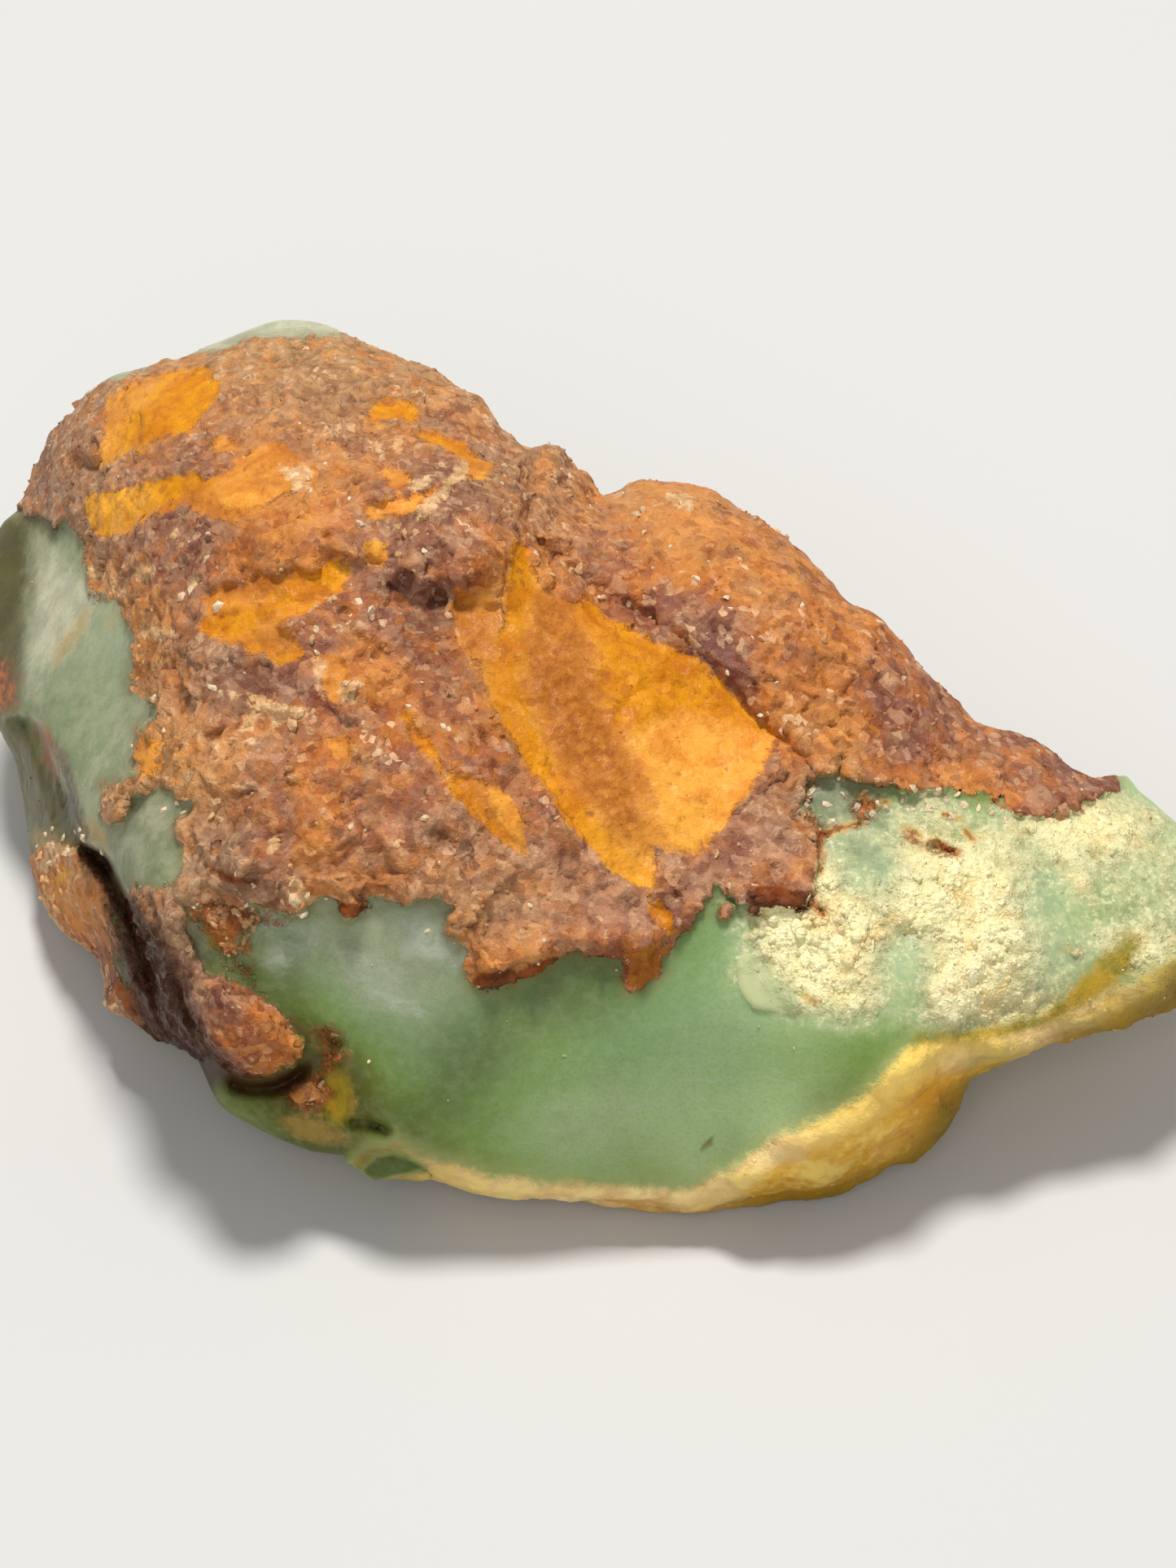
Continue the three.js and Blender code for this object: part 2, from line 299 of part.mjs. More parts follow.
// both sheets and the outline, sampled on the plate
const S0 = -34, S1 = 36, T0 = -26, T1 = 28, PITCH = 0.4;
const NS = Math.round((S1 - S0) / PITCH) + 1, NT = Math.round((T1 - T0) / PITCH) + 1;
const F = new Float64Array(NS * NT), B = new Float64Array(NS * NT), E = new Float64Array(NS * NT);
const outline2 = OUTLINE.map(([s, t]) => [s, t]);
for (let j = 0; j < NT; j++) for (let i = 0; i < NS; i++) {
  const s = S0 + i * PITCH, t = T0 + j * PITCH, q = j * NS + i;
  E[q] = inside(outline2, s, t);
  F[q] = E[q] < -4 ? 0 : front(s, t);
  B[q] = E[q] < -4 ? 0 : backSheet(s, t);
}
function sample(A, s, t) {
  const x = Math.min(Math.max((s - S0) / PITCH, 0), NS - 1.001), y = Math.min(Math.max((t - T0) / PITCH, 0), NT - 1.001);
  const i = Math.floor(x), j = Math.floor(y), u = x - i, v = y - j, q = j * NS + i;
  return (A[q] * (1 - u) + A[q + 1] * u) * (1 - v) + (A[q + NS] * (1 - u) + A[q + NS + 1] * u) * v;
}
function slope(A, s, t) {
  const e = 0.6;
  return Math.hypot(1, (sample(A, s + e, t) - sample(A, s - e, t)) / (2 * e), (sample(A, s, t + e) - sample(A, s, t - e)) / (2 * e));
}

// ---- the solid: positive inside, in mm from the surface ----
function field(x, y, z) {
  const rx = x - EYE.x, ry = y - EYE.y, rz = z - EYE.z;
  const w = rx * AXIS.x + ry * AXIS.y + rz * AXIS.z;
  const s = STATION * rx / w, t = STATION * (rx * UP.x + ry * UP.y + rz * UP.z) / w, h = STATION - w;
  const scale = w / STATION;
  const e = sample(E, s, t) * scale;
  if (e < -3) return e + OUTSET;
  let f = smin((sample(F, s, t) - h) / slope(F, s, t), (h - sample(B, s, t)) / slope(B, s, t), EDGE_ROUND);
  f = smin(f, e + OUTSET, EDGE_ROUND);
  return Math.min(f, z);
}

// ---- facets on the solid's surface (one vertex in each cell that it crosses) ----
const LOW = [-31, -31, -2.05], HIGH = [31, 19, 25];
const N = LOW.map((v, k) => Math.ceil((HIGH[k] - v) / CELL) + 1);
const at = (i, j, k) => (k * N[1] + j) * N[0] + i;
const V = new Float64Array(N[0] * N[1] * N[2]);
for (let k = 0; k < N[2]; k++) for (let j = 0; j < N[1]; j++) for (let i = 0; i < N[0]; i++) {
  V[at(i, j, k)] = field(LOW[0] + i * CELL, LOW[1] + j * CELL, LOW[2] + k * CELL);
}
const vertexOf = new Map(), vertices = [], faces = [];
const corners = [[0,0,0],[1,0,0],[0,1,0],[1,1,0],[0,0,1],[1,0,1],[0,1,1],[1,1,1]];
const edges = [[0,1],[2,3],[4,5],[6,7],[0,2],[1,3],[4,6],[5,7],[0,4],[1,5],[2,6],[3,7]];
for (let k = 0; k < N[2] - 1; k++) for (let j = 0; j < N[1] - 1; j++) for (let i = 0; i < N[0] - 1; i++) {
  const v = corners.map(([a, b, c]) => V[at(i + a, j + b, k + c)]);
  let n = 0; const p = [0, 0, 0];
  for (const [a, b] of edges) {
    if ((v[a] > 0) === (v[b] > 0)) continue;
    const q = v[a] / (v[a] - v[b]); n++;
    for (let c = 0; c < 3; c++) p[c] += corners[a][c] + q * (corners[b][c] - corners[a][c]);
  }
  if (!n) continue;
  let x = LOW[0] + (i + p[0] / n) * CELL, y = LOW[1] + (j + p[1] / n) * CELL, z = LOW[2] + (k + p[2] / n) * CELL;
  const x0 = x, y0 = y, z0 = z, e = 0.05;
  for (let pass = 0; pass < 3; pass++) {      // slide onto the surface, staying near the cell's middle
    const f = field(x, y, z);
    const gx = (field(x + e, y, z) - field(x - e, y, z)) / (2 * e), gy = (field(x, y + e, z) - field(x, y - e, z)) / (2 * e), gz = (field(x, y, z + e) - field(x, y, z - e)) / (2 * e);
    const g = Math.max(gx * gx + gy * gy + gz * gz, 0.2), m = 0.3 * CELL;
    x = Math.min(Math.max(x - f * gx / g, x0 - m), x0 + m); y = Math.min(Math.max(y - f * gy / g, y0 - m), y0 + m); z = Math.min(Math.max(z - f * gz / g, z0 - m), z0 + m);
  }
  if (z0 < 0.3 * CELL) z = 0;                 // the flat patch that the stone lies on
  vertexOf.set(at(i, j, k), vertices.length / 3);
  vertices.push(x, y, z);
}
const cellVertex = (i, j, k) => vertexOf.get(at(i, j, k));
function quad(a, b, c, d, flip) {
  const P = (q) => new THREE.Vector3().fromArray(vertices, 3 * q);
  if (flip) [b, d] = [d, b];
  if (P(a).distanceTo(P(c)) <= P(b).distanceTo(P(d))) faces.push(a, b, c, a, c, d);
  else faces.push(a, b, d, b, c, d);
}
for (let k = 1; k < N[2] - 1; k++) for (let j = 1; j < N[1] - 1; j++) for (let i = 1; i < N[0] - 1; i++) {
  const here = V[at(i, j, k)] > 0;
  if (here !== V[at(i + 1, j, k)] > 0) quad(cellVertex(i, j - 1, k - 1), cellVertex(i, j, k - 1), cellVertex(i, j, k), cellVertex(i, j - 1, k), !here);
  if (here !== V[at(i, j + 1, k)] > 0) quad(cellVertex(i - 1, j, k - 1), cellVertex(i - 1, j, k), cellVertex(i, j, k), cellVertex(i, j, k - 1), !here);
  if (here !== V[at(i, j, k + 1)] > 0) quad(cellVertex(i - 1, j - 1, k), cellVertex(i, j - 1, k), cellVertex(i, j, k), cellVertex(i - 1, j, k), !here);
}

// ---- one closed body: the biggest piece, as a solid ----
const wasm = await Module();
wasm.setup();
let geometry = new THREE.BufferGeometry();
geometry.setAttribute('position', new THREE.BufferAttribute(new Float32Array(vertices), 3));
geometry.setIndex(faces);
geometry = mergeVertices(geometry, 1e-4);
const solid = new wasm.Manifold(new wasm.Mesh({
  numProp: 3,
  vertProperties: new Float32Array(geometry.getAttribute('position').array),
  triVerts: new Uint32Array(geometry.getIndex().array),
}));
const lump = solid.decompose().sort((a, b) => b.volume() - a.volume())[0];
const body = lump.getMesh();
const stoneGeometry = new THREE.BufferGeometry();
stoneGeometry.setAttribute('position', new THREE.BufferAttribute(new Float32Array(body.vertProperties), 3));
stoneGeometry.setIndex(Array.from(body.triVerts));
stoneGeometry.translate(-ORIGIN[0], -ORIGIN[1], 0);
stoneGeometry.computeVertexNormals();
{ // where the crack's walls touch at a single point, draw them 0.05 mm apart
  const p = stoneGeometry.getAttribute('position'), n = stoneGeometry.getAttribute('normal'), seen = new Map();
  for (let i = 0; i < p.count; i++) {
    const key = [p.getX(i), p.getY(i), p.getZ(i)].map((v) => Math.round(v * 200)).join();
    if (!seen.has(key)) { seen.set(key, i); continue; }
    for (const q of [i, seen.get(key)]) p.setXYZ(q, p.getX(q) - 0.05 * n.getX(q), p.getY(q) - 0.05 * n.getY(q), p.getZ(q) - 0.05 * n.getZ(q));
  }
  stoneGeometry.computeVertexNormals();
}

const stone = new THREE.Mesh(stoneGeometry, new THREE.MeshStandardMaterial({ color: 0x8a6a4a, roughness: 0.6, metalness: 0 }));
stone.name = 'chrysoprase_stone';

const group = new THREE.Group();
group.add(stone);
export default group;
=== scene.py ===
"""The looks of a raw chrysoprase: one stone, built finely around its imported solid."""
import math
import time
import bpy
import numpy as np
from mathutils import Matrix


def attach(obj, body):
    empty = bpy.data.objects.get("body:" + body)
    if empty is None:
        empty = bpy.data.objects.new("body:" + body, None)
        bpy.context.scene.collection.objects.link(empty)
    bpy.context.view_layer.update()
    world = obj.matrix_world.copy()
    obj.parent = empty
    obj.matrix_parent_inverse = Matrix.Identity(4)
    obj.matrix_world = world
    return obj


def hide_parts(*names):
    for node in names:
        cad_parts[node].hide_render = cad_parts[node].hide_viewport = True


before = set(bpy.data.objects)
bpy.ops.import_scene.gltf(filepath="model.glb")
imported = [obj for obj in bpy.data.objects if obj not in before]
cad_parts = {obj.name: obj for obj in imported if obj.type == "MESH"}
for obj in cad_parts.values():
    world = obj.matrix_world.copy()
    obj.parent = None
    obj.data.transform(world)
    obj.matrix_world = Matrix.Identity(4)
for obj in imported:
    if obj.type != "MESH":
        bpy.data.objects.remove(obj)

T_START = time.time()
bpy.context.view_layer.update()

# ------------------------------------------------------------------ sizes, mm and degrees
TILT = math.radians(43.0)       # the plate's normal leans up from horizontal
STATION = 149.0                 # station point to the middle of the plate
ORIGIN = (-0.016, -6.451)           # the frame's origin, as in the CAD
PITCH = 0.12                    # spacing of what is sampled on the plate
CELL = 0.18                     # cells of the fine surface
MAX_TRIS = 197000

# ------------------------------------------------------------------ tables on the plate (s, t, height), mm
OUTLINE = [[-27.86, 12.55, 2.93], [-26.9, 13.32, 3.34], [-26.59, 13.82, 3.08], [-26.39, 14.4, 3.22], [-26.24, 14.98, 3.36], [-26.05, 15.75, 3.44],
    [-25.85, 16.21, 3.55], [-25.55, 16.72, 3.63], [-24.97, 17.41, 4.14], [-24.39, 18.07, 4.53], [-23.81, 18.64, 4.85], [-23.23, 19.22, 5.01], [-22.46,
    19.61, 5.39], [-21.88, 19.8, 5.67], [-20.92, 19.99, 6.13], [-20.15, 20.3, 6.44], [-19.38, 20.49, 6.56], [-18.8, 20.69, 6.67], [-18.22, 20.96,
    6.69], [-17.64, 21.15, 6.63], [-16.87, 21.46, 6.6], [-16.29, 21.73, 6.45], [-15.52, 22.0, 6.29], [-14.75, 22.19, 6.23], [-13.98, 22.23, 6.36],
    [-13.21, 22.19, 6.58], [-12.44, 22.04, 6.94], [-11.47, 21.65, 7.58], [-10.51, 21.15, 8.18], [-9.54, 20.84, 8.55], [-8.77, 20.49, 8.96], [-8.0,
    20.07, 9.46], [-7.23, 19.72, 9.87], [-6.65, 19.3, 10.19], [-5.88, 18.84, 10.73], [-5.11, 18.41, 11.04], [-4.72, 17.99, 11.53], [-4.42, 17.49,
    11.93], [-3.95, 16.91, 12.41], [-3.37, 16.6, 12.42], [-2.99, 16.14, 12.6], [-2.8, 16.06, 12.36], [-2.41, 16.25, 11.98], [-1.83, 16.29, 11.77],
    [-1.25, 16.21, 11.52], [-0.98, 15.94, 11.49], [-0.75, 15.37, 11.64], [-0.48, 14.9, 11.66], [-0.02, 14.79, 11.13], [0.29, 14.33, 11.15], [0.52,
    13.82, 11.22], [0.67, 13.63, 11.11], [1.25, 13.9, 10.81], [1.83, 14.25, 10.42], [2.6, 14.44, 10.21], [3.37, 14.4, 10.25], [4.72, 14.48, 10.17],
    [5.3, 14.33, 10.34], [6.27, 14.02, 10.52], [6.84, 13.71, 10.7], [8.0, 12.86, 11.14], [9.35, 11.9, 11.71], [10.7, 10.93, 12.26], [11.66, 9.7, 13.1],
    [12.63, 8.62, 13.75], [13.59, 8.23, 13.68], [14.56, 7.08, 14.1], [15.52, 6.11, 14.31], [16.48, 5.15, 14.52], [17.45, 4.38, 14.53], [18.41, 3.03,
    14.97], [18.95, 2.8, 14.9], [19.95, 2.53, 14.57], [21.0, 2.18, 14.46], [22.46, 1.18, 14.7], [23.23, 0.6, 14.82], [23.93, 0.37, 14.75], [24.58,
    0.44, 14.23], [25.2, 0.67, 13.71], [25.7, 0.52, 13.57], [26.12, -0.21, 13.99], [26.97, -0.83, 14.15], [27.86, -1.6, 14.6], [29.21, -2.95, 15.16],
    [30.37, -4.3, 15.85], [31.21, -5.84, 16.71], [31.6, -7.19, 17.37], [31.45, -8.35, 17.99], [30.56, -9.31, 18.7], [29.21, -10.04, 19.21], [27.86,
    -10.66, 19.61], [26.9, -11.24, 19.97], [26.12, -11.74, 20.13], [25.39, -12.13, 20.32], [24.0, -12.4, 20.28], [22.46, -12.82, 20.37], [21.11,
    -12.98, 20.37], [19.53, -13.55, 20.59], [18.61, -13.82, 20.42], [18.07, -14.02, 20.31], [18.03, -14.52, 19.94], [17.91, -14.9, 19.73], [17.64,
    -15.6, 19.52], [17.18, -16.37, 19.51], [16.52, -17.18, 19.53], [15.52, -17.91, 19.61], [14.33, -18.45, 19.67], [12.86, -19.26, 19.94], [12.05,
    -19.65, 20.13], [11.2, -19.92, 20.22], [10.12, -20.07, 20.22], [9.2, -20.15, 20.28], [7.81, -20.3, 20.27], [6.46, -20.46, 20.4], [5.49, -20.61,
    20.52], [4.8, -20.65, 20.55], [4.07, -20.61, 20.52], [2.41, -20.46, 20.53], [0.83, -20.26, 20.5], [-0.87, -20.03, 20.57], [-1.56, -19.8, 20.64],
    [-3.18, -19.57, 20.71], [-4.76, -19.34, 20.78], [-6.07, -18.99, 20.88], [-7.15, -18.68, 20.89], [-8.58, -18.49, 21.12], [-10.12, -18.22, 21.16],
    [-11.28, -17.91, 21.17], [-11.82, -17.8, 21.34], [-13.09, -17.64, 21.47], [-14.71, -17.02, 21.49], [-15.44, -16.68, 21.47], [-16.18, -16.29,
    21.28], [-17.06, -15.83, 21.03], [-17.76, -15.29, 20.71], [-18.37, -14.09, 19.58], [-18.76, -13.21, 18.56], [-20.11, -12.59, 17.62], [-20.92,
    -11.9, 16.75], [-21.69, -11.24, 15.9], [-22.27, -11.05, 15.59], [-22.92, -10.85, 15.28], [-23.23, -10.08, 14.32], [-23.16, -9.31, 13.62], [-23.43,
    -8.54, 12.77], [-24.0, -7.77, 12.06], [-24.97, -7.19, 11.38], [-25.55, -6.42, 10.65], [-26.01, -5.65, 9.91], [-26.39, -4.49, 8.93], [-26.7, -2.95,
    7.84], [-26.9, -1.41, 7.01], [-27.17, 0.13, 6.17], [-27.47, 1.29, 6.0], [-28.01, 2.26, 6.19], [-28.4, 3.22, 6.22], [-28.63, 4.76, 5.8], [-28.79,
    6.3, 5.21], [-28.82, 7.85, 4.45], [-28.71, 9.39, 3.83], [-28.48, 10.93, 3.19], [-28.17, 11.9, 3.05]]
FRONT = [[-14.75, 20.57, 9.56], [-18.22, 19.61, 9.83], [-21.3, 18.64, 8.92], [-23.62, 16.72, 7.96], [-24.97, 14.98, 7.14], [-24.39, 13.25, 9.1],
    [-22.08, 14.02, 12.64], [-18.99, 16.33, 13.72], [-15.13, 17.87, 13.85], [-11.28, 18.64, 13.15], [-7.81, 18.26, 13.08], [-5.11, 16.33, 14.88],
    [-12.44, 15.56, 17.21], [-8.58, 15.17, 17.62], [-16.29, 13.25, 18.66], [-12.44, 12.09, 20.49], [-9.74, 12.47, 20.1], [-20.15, 11.7, 16.72],
    [-16.29, 10.16, 20.36], [-12.82, 9.39, 21.28], [-10.51, 8.62, 21.41], [-19.38, 8.62, 18.91], [-22.08, 10.55, 14.1], [-23.62, 11.51, 10.2], [-5.88,
    13.25, 18.82], [-3.95, 14.02, 16.88], [-4.72, 10.93, 19.74], [-2.8, 12.47, 17.2], [-1.64, 14.79, 13.27], [-20.92, 6.3, 18.11], [-17.83, 6.3,
    21.18], [-14.75, 6.3, 22.41], [-11.28, 5.53, 22.68], [-20.53, 2.45, 20.61], [-17.83, 2.45, 22.99], [-14.75, 2.45, 23.74], [-11.28, 2.45, 23.89],
    [-7.81, 3.99, 22.61], [-18.61, -0.64, 23.35], [-16.29, -2.18, 24.87], [-13.98, -1.41, 25.15], [-10.51, -0.64, 25.1], [-7.04, 0.13, 24.75], [-18.22,
    -4.11, 24.24], [-15.52, -4.69, 25.05], [-12.44, -4.49, 25.21], [-9.35, -4.11, 25.09], [-6.27, -3.34, 24.85], [-3.95, -3.34, 24.42], [-7.04, -6.42,
    25.04], [-5.11, -7.96, 24.75], [-3.18, -7.19, 24.59], [-0.87, -6.81, 24.32], [-1.25, -3.34, 23.99], [1.45, -5.26, 23.72], [2.99, -7.19, 23.62],
    [3.76, -6.03, 23.52], [1.45, -7.58, 24.04], [-4.72, 7.08, 21.05], [-3.18, 8.62, 19.54], [-0.87, 7.85, 18.9], [2.22, 6.69, 18.5], [4.92, 4.76,
    18.7], [7.62, 2.45, 19.11], [8.0, 0.52, 20.0], [6.07, -2.18, 21.7], [3.76, -3.72, 22.83], [1.06, -1.41, 23.11], [-0.87, 1.68, 22.35], [-2.41, 4.38,
    21.65], [1.45, 3.22, 20.78], [-3.95, 2.45, 22.99], [-4.72, -0.64, 24.37], [-2.8, -1.41, 24.13], [-0.1, 12.47, 14.3], [1.45, 12.47, 13.66], [3.76,
    12.47, 13.66], [6.84, 11.7, 14.16], [9.16, 10.16, 15.14], [5.3, 10.16, 15.93], [2.22, 10.16, 15.45], [4.53, 8.23, 16.96], [7.62, 7.85, 17.19],
    [10.7, 7.08, 17.03], [6.84, 5.53, 18.25], [9.54, 4.38, 18.47], [12.63, 5.15, 17.11], [14.56, 4.38, 16.8], [12.63, 2.45, 18.82], [16.48, 2.45,
    17.32], [9.93, 1.68, 19.4], [9.16, -1.41, 20.9], [7.62, -3.72, 22.12], [10.7, -2.56, 21.19], [6.46, -4.69, 22.49], [18.41, 0.91, 17.31], [21.5,
    0.52, 16.2], [24.2, -0.44, 15.8], [14.56, 0.91, 18.79], [11.86, -0.64, 19.92], [14.56, -1.02, 19.39], [18.41, -1.41, 18.72], [13.01, -3.72, 21.45],
    [16.48, -3.72, 20.88], [20.34, -3.72, 19.88], [10.7, -5.26, 22.72], [8.77, -7.19, 22.78], [12.63, -6.81, 23.13], [16.48, -6.42, 22.25], [20.34,
    -6.42, 21.41], [10.7, -9.12, 23.81], [14.56, -9.12, 23.39], [18.41, -9.12, 22.43], [22.27, -1.79, 17.76], [25.35, -1.79, 16.61], [27.67, -3.72,
    17.45], [23.43, -4.49, 19.39], [26.12, -6.03, 19.55], [23.43, -7.19, 20.79], [22.27, -9.51, 21.53], [26.12, -8.73, 20.58], [28.44, -7.58, 19.31],
    [29.98, -6.42, 17.91], [27.28, -9.89, 20.09], [24.2, -11.24, 20.77], [19.95, -11.82, 21.7], [29.21, -4.49, 16.98], [-14.36, -7.19, 24.59], [-10.89,
    -7.19, 24.73], [-7.81, -7.96, 24.89], [-15.13, -8.73, 24.4], [-11.28, -9.12, 24.46], [-7.81, -9.89, 24.61], [-12.44, -11.43, 24.1], [-9.74, -12.59,
    24.35], [-10.51, -14.52, 24.14], [-6.27, -12.2, 24.62], [-6.27, -15.29, 24.2], [-2.8, -10.66, 24.27], [-3.18, -13.75, 24.31], [-3.18, -16.83,
    23.47], [1.06, -11.05, 24.25], [0.67, -14.13, 24.03], [0.29, -17.22, 22.75], [4.53, -8.35, 23.39], [4.53, -11.43, 23.96], [4.15, -14.52, 23.6],
    [4.15, -17.6, 22.3], [6.84, -6.42, 23.08], [6.84, -9.89, 23.79], [8.0, -12.98, 23.8], [7.62, -15.67, 23.23], [10.7, -11.05, 24.26], [11.47, -13.36,
    24.15], [13.79, -11.43, 23.93], [-7.81, -16.83, 23.34], [-12.28, -14.71, 22.46], [-10.89, -16.83, 22.81], [-14.36, -15.67, 22.31], [-9.08, -17.41,
    22.66], [-5.88, -18.18, 22.13], [-2.22, -19.15, 21.64], [1.87, -19.45, 21.37], [4.61, -19.61, 21.24], [6.46, -18.95, 21.61], [8.77, -17.6, 22.82],
    [10.85, -16.64, 23.11], [13.05, -15.67, 23.22], [15.33, -13.94, 22.92], [16.48, -12.98, 22.74], [8.77, -19.15, 21.77], [11.47, -18.37, 22.06],
    [14.17, -16.83, 21.83], [16.48, -15.29, 21.44], [-17.06, -14.71, 21.14], [-20.15, -6.42, 23.82], [-18.61, -7.58, 23.48], [-18.22, -9.89, 23.38],
    [-16.29, -11.05, 23.57], [-14.36, -12.59, 23.0], [-17.83, -12.59, 23.0], [-16.29, -13.55, 22.92], [-25.55, 11.51, 6.69], [-24.0, 9.2, 10.79],
    [-25.55, 7.85, 9.26], [-26.32, 10.16, 6.12], [-22.85, 6.69, 14.03], [-21.88, 4.76, 16.58], [-24.0, 4.38, 14.38], [-26.12, 5.15, 10.41], [-23.23,
    1.68, 17.03], [-21.5, 3.22, 18.08], [-24.77, 1.29, 14.88], [-25.55, 2.83, 12.46], [-23.81, -1.41, 17.75], [-22.08, 0.13, 19.52], [-20.53, -2.95,
    22.91], [-20.92, -4.88, 22.9], [-27.09, 10.16, 4.7], [-27.4, 7.08, 6.22], [-27.28, 3.99, 8.12], [-27.86, 4.38, 6.66]]
LEDGE_TOP = [[-27.86, 2.26, 7.08], [-26.7, 1.29, 8.96], [-25.93, 0.13, 10.57], [-25.16, -1.41, 12.53], [-26.32, -1.41, 10.06], [-24.77, -3.34, 14.38],
    [-25.93, -3.72, 12.17], [-23.62, -4.88, 16.1], [-25.16, -5.65, 14.28], [-22.85, -7.19, 17.37], [-24.39, -7.19, 14.58], [-21.69, -9.89, 18.11],
    [-22.65, -9.12, 16.88], [-22.85, -10.28, 16.54], [-20.53, -11.82, 18.57], [-19.38, -12.59, 19.1], [-21.3, -8.35, 17.3], [-20.15, -10.66, 18.52]]
BACK = [[-18.76, -6.23, 6.05], [-17.65, -10.04, 9.7], [-14.2, -13.24, 12.63], [-8.88, -15.73, 14.82], [-2.24, -17.26, 16.14], [4.5, -17.87, 16.65],
    [10.08, -17.0, 15.92], [12.67, -14.47, 13.73], [11.74, -9.65, 9.34], [8.27, -5.13, 4.95], [4.03, -1.56, 1.29], [-2.95, 1.83, -2.36], [-9.68, 4.11,
    -4.92], [-16.61, 2.82, -3.46], [-19.17, -1.56, 1.29], [-12.57, -7.76, 6.77], [-6.45, -11.63, 10.42], [2.16, -12.43, 11.16], [7.57, -12.43, 11.16],
    [-12.04, -1.61, 0.55], [-5.13, -4.8, 3.84], [2.07, -6.26, 5.31], [-6.91, 0.77, -2.01], [-2.12, -9.28, 8.23], [-12.99, -16.11, 17.05], [-6.82,
    -17.83, 17.92], [0.0, -18.96, 18.41], [5.71, -19.14, 18.56], [10.79, -18.26, 17.83], [14.83, -15.66, 16.41], [-24.28, -1.51, 4.79], [-23.16, -5.46,
    7.47], [-21.06, -9.37, 11.06], [-17.18, -13.24, 14.57], [-24.26, 3.2, 1.59], [-25.45, 6.91, 1.46], [15.85, -10.81, 12.66], [19.11, -12.32, 16.44],
    [24.26, -10.91, 16.96], [28.08, -9.13, 16.35], [15.54, -7.44, 9.94], [20.85, -8.58, 13.22], [23.47, -6.17, 12.51], [27.65, -6.57, 14.29], [13.65,
    -4.35, 7.08], [18.82, -4.63, 10.48], [25.1, -3.46, 12.49], [-25.78, 9.37, 1.02], [-23.57, 14.15, 1.07], [-22.86, 9.47, -2.25], [-20.01, 6.23,
    -3.62], [-19.19, 17.27, 1.45], [-18.88, 13.73, -3.32], [-17.69, 9.26, -5.15], [-12.1, 18.87, 1.19], [-11.68, 15.64, -4.03], [-11.5, 10.56, -6.54],
    [-6.7, 16.92, 4.38], [-6.91, 13.91, -1.91], [-5.36, 8.41, -3.98], [-1.25, 13.98, 5.83], [-1.81, 11.69, 0.73], [0.0, 6.1, -1.63], [4.16, 12.35,
    5.74], [4.04, 9.63, 1.51], [4.99, 4.5, -0.44], [8.9, 10.03, 6.74], [9.21, 7.22, 3.43], [9.12, 2.07, 1.91], [13.43, 5.47, 9.16], [13.31, 3.0, 5.7],
    [12.38, -1.59, 4.58], [19.03, 0.57, 11.16], [18.05, -1.93, 8.7], [23.94, -1.54, 12.08]]
LIP = [[-29.4, 2.72], [-28.4, 3.07], [-27.67, 3.14], [-27.09, 3.37], [-26.39, 3.22], [-25.93, 2.83], [-25.55, 1.68], [-25.16, 0.71], [-24.77, -0.06],
    [-24.5, -0.83], [-24.47, -1.6], [-24.08, -2.56], [-23.62, -2.95], [-23.04, -3.22], [-22.65, -3.53], [-22.08, -4.88], [-21.5, -6.03], [-20.92,
    -7.58], [-20.46, -9.12], [-20.15, -11.05], [-19.57, -12.4], [-18.61, -12.98]]
LEDGE = [[-29.4, 2.72], [-28.4, 3.07], [-27.67, 3.14], [-27.09, 3.37], [-26.39, 3.22], [-25.93, 2.83], [-25.55, 1.68], [-25.16, 0.71], [-24.77, -0.06],
    [-24.5, -0.83], [-24.47, -1.6], [-24.08, -2.56], [-23.62, -2.95], [-23.04, -3.22], [-22.65, -3.53], [-22.08, -4.88], [-21.5, -6.03], [-20.92,
    -7.58], [-20.46, -9.12], [-20.15, -11.05], [-19.57, -12.4], [-18.61, -12.98], [-18.76, -14.52], [-24.0, -14.52], [-30.17, -5.26]]
GROOVE = [[-23.62, -3.26], [-22.92, -3.72], [-22.38, -4.69], [-21.77, -6.03], [-21.23, -7.58], [-20.76, -9.12], [-20.46, -10.66], [-19.95, -12.2]]
HOLE = [[-23.85, -3.18], [-23.23, -3.41], [-22.73, -4.03]]
CLUMP = [[-21.54, -4.57], [-20.53, -4.72], [-19.88, -4.99], [-19.03, -6.23], [-18.61, -7.92], [-17.99, -8.77], [-16.91, -8.97], [-16.06, -9.51],
    [-15.25, -10.47], [-14.17, -11.09], [-13.25, -12.13], [-13.36, -12.98], [-13.98, -13.52], [-15.25, -14.02], [-16.48, -14.02], [-17.99, -13.21],
    [-19.45, -12.55], [-20.34, -11.51], [-20.84, -9.62], [-21.3, -7.5], [-21.77, -5.84]]
CREASE = [[-2.6, 14.02], [-2.8, 12.47], [-2.1, 11.24], [-1.25, 10.55], [0.67, 9.2], [1.83, 8.54], [2.99, 7.85], [4.53, 6.69], [5.69, 5.84], [6.84,
    4.38], [7.81, 3.22], [8.77, 2.37], [10.31, 1.1]]
HOLLOW = [[-10.31, 10.16], [-9.35, 9.62], [-8.19, 9.31], [-7.04, 8.81], [-5.69, 8.62]]
CAVE = [[-16.75, -14.21], [-15.83, -14.44], [-14.9, -14.4], [-14.13, -14.09], [-13.55, -13.59]]
RIMPIT = [[-11.05, -16.06], [-10.43, -15.91], [-9.54, -16.37]]
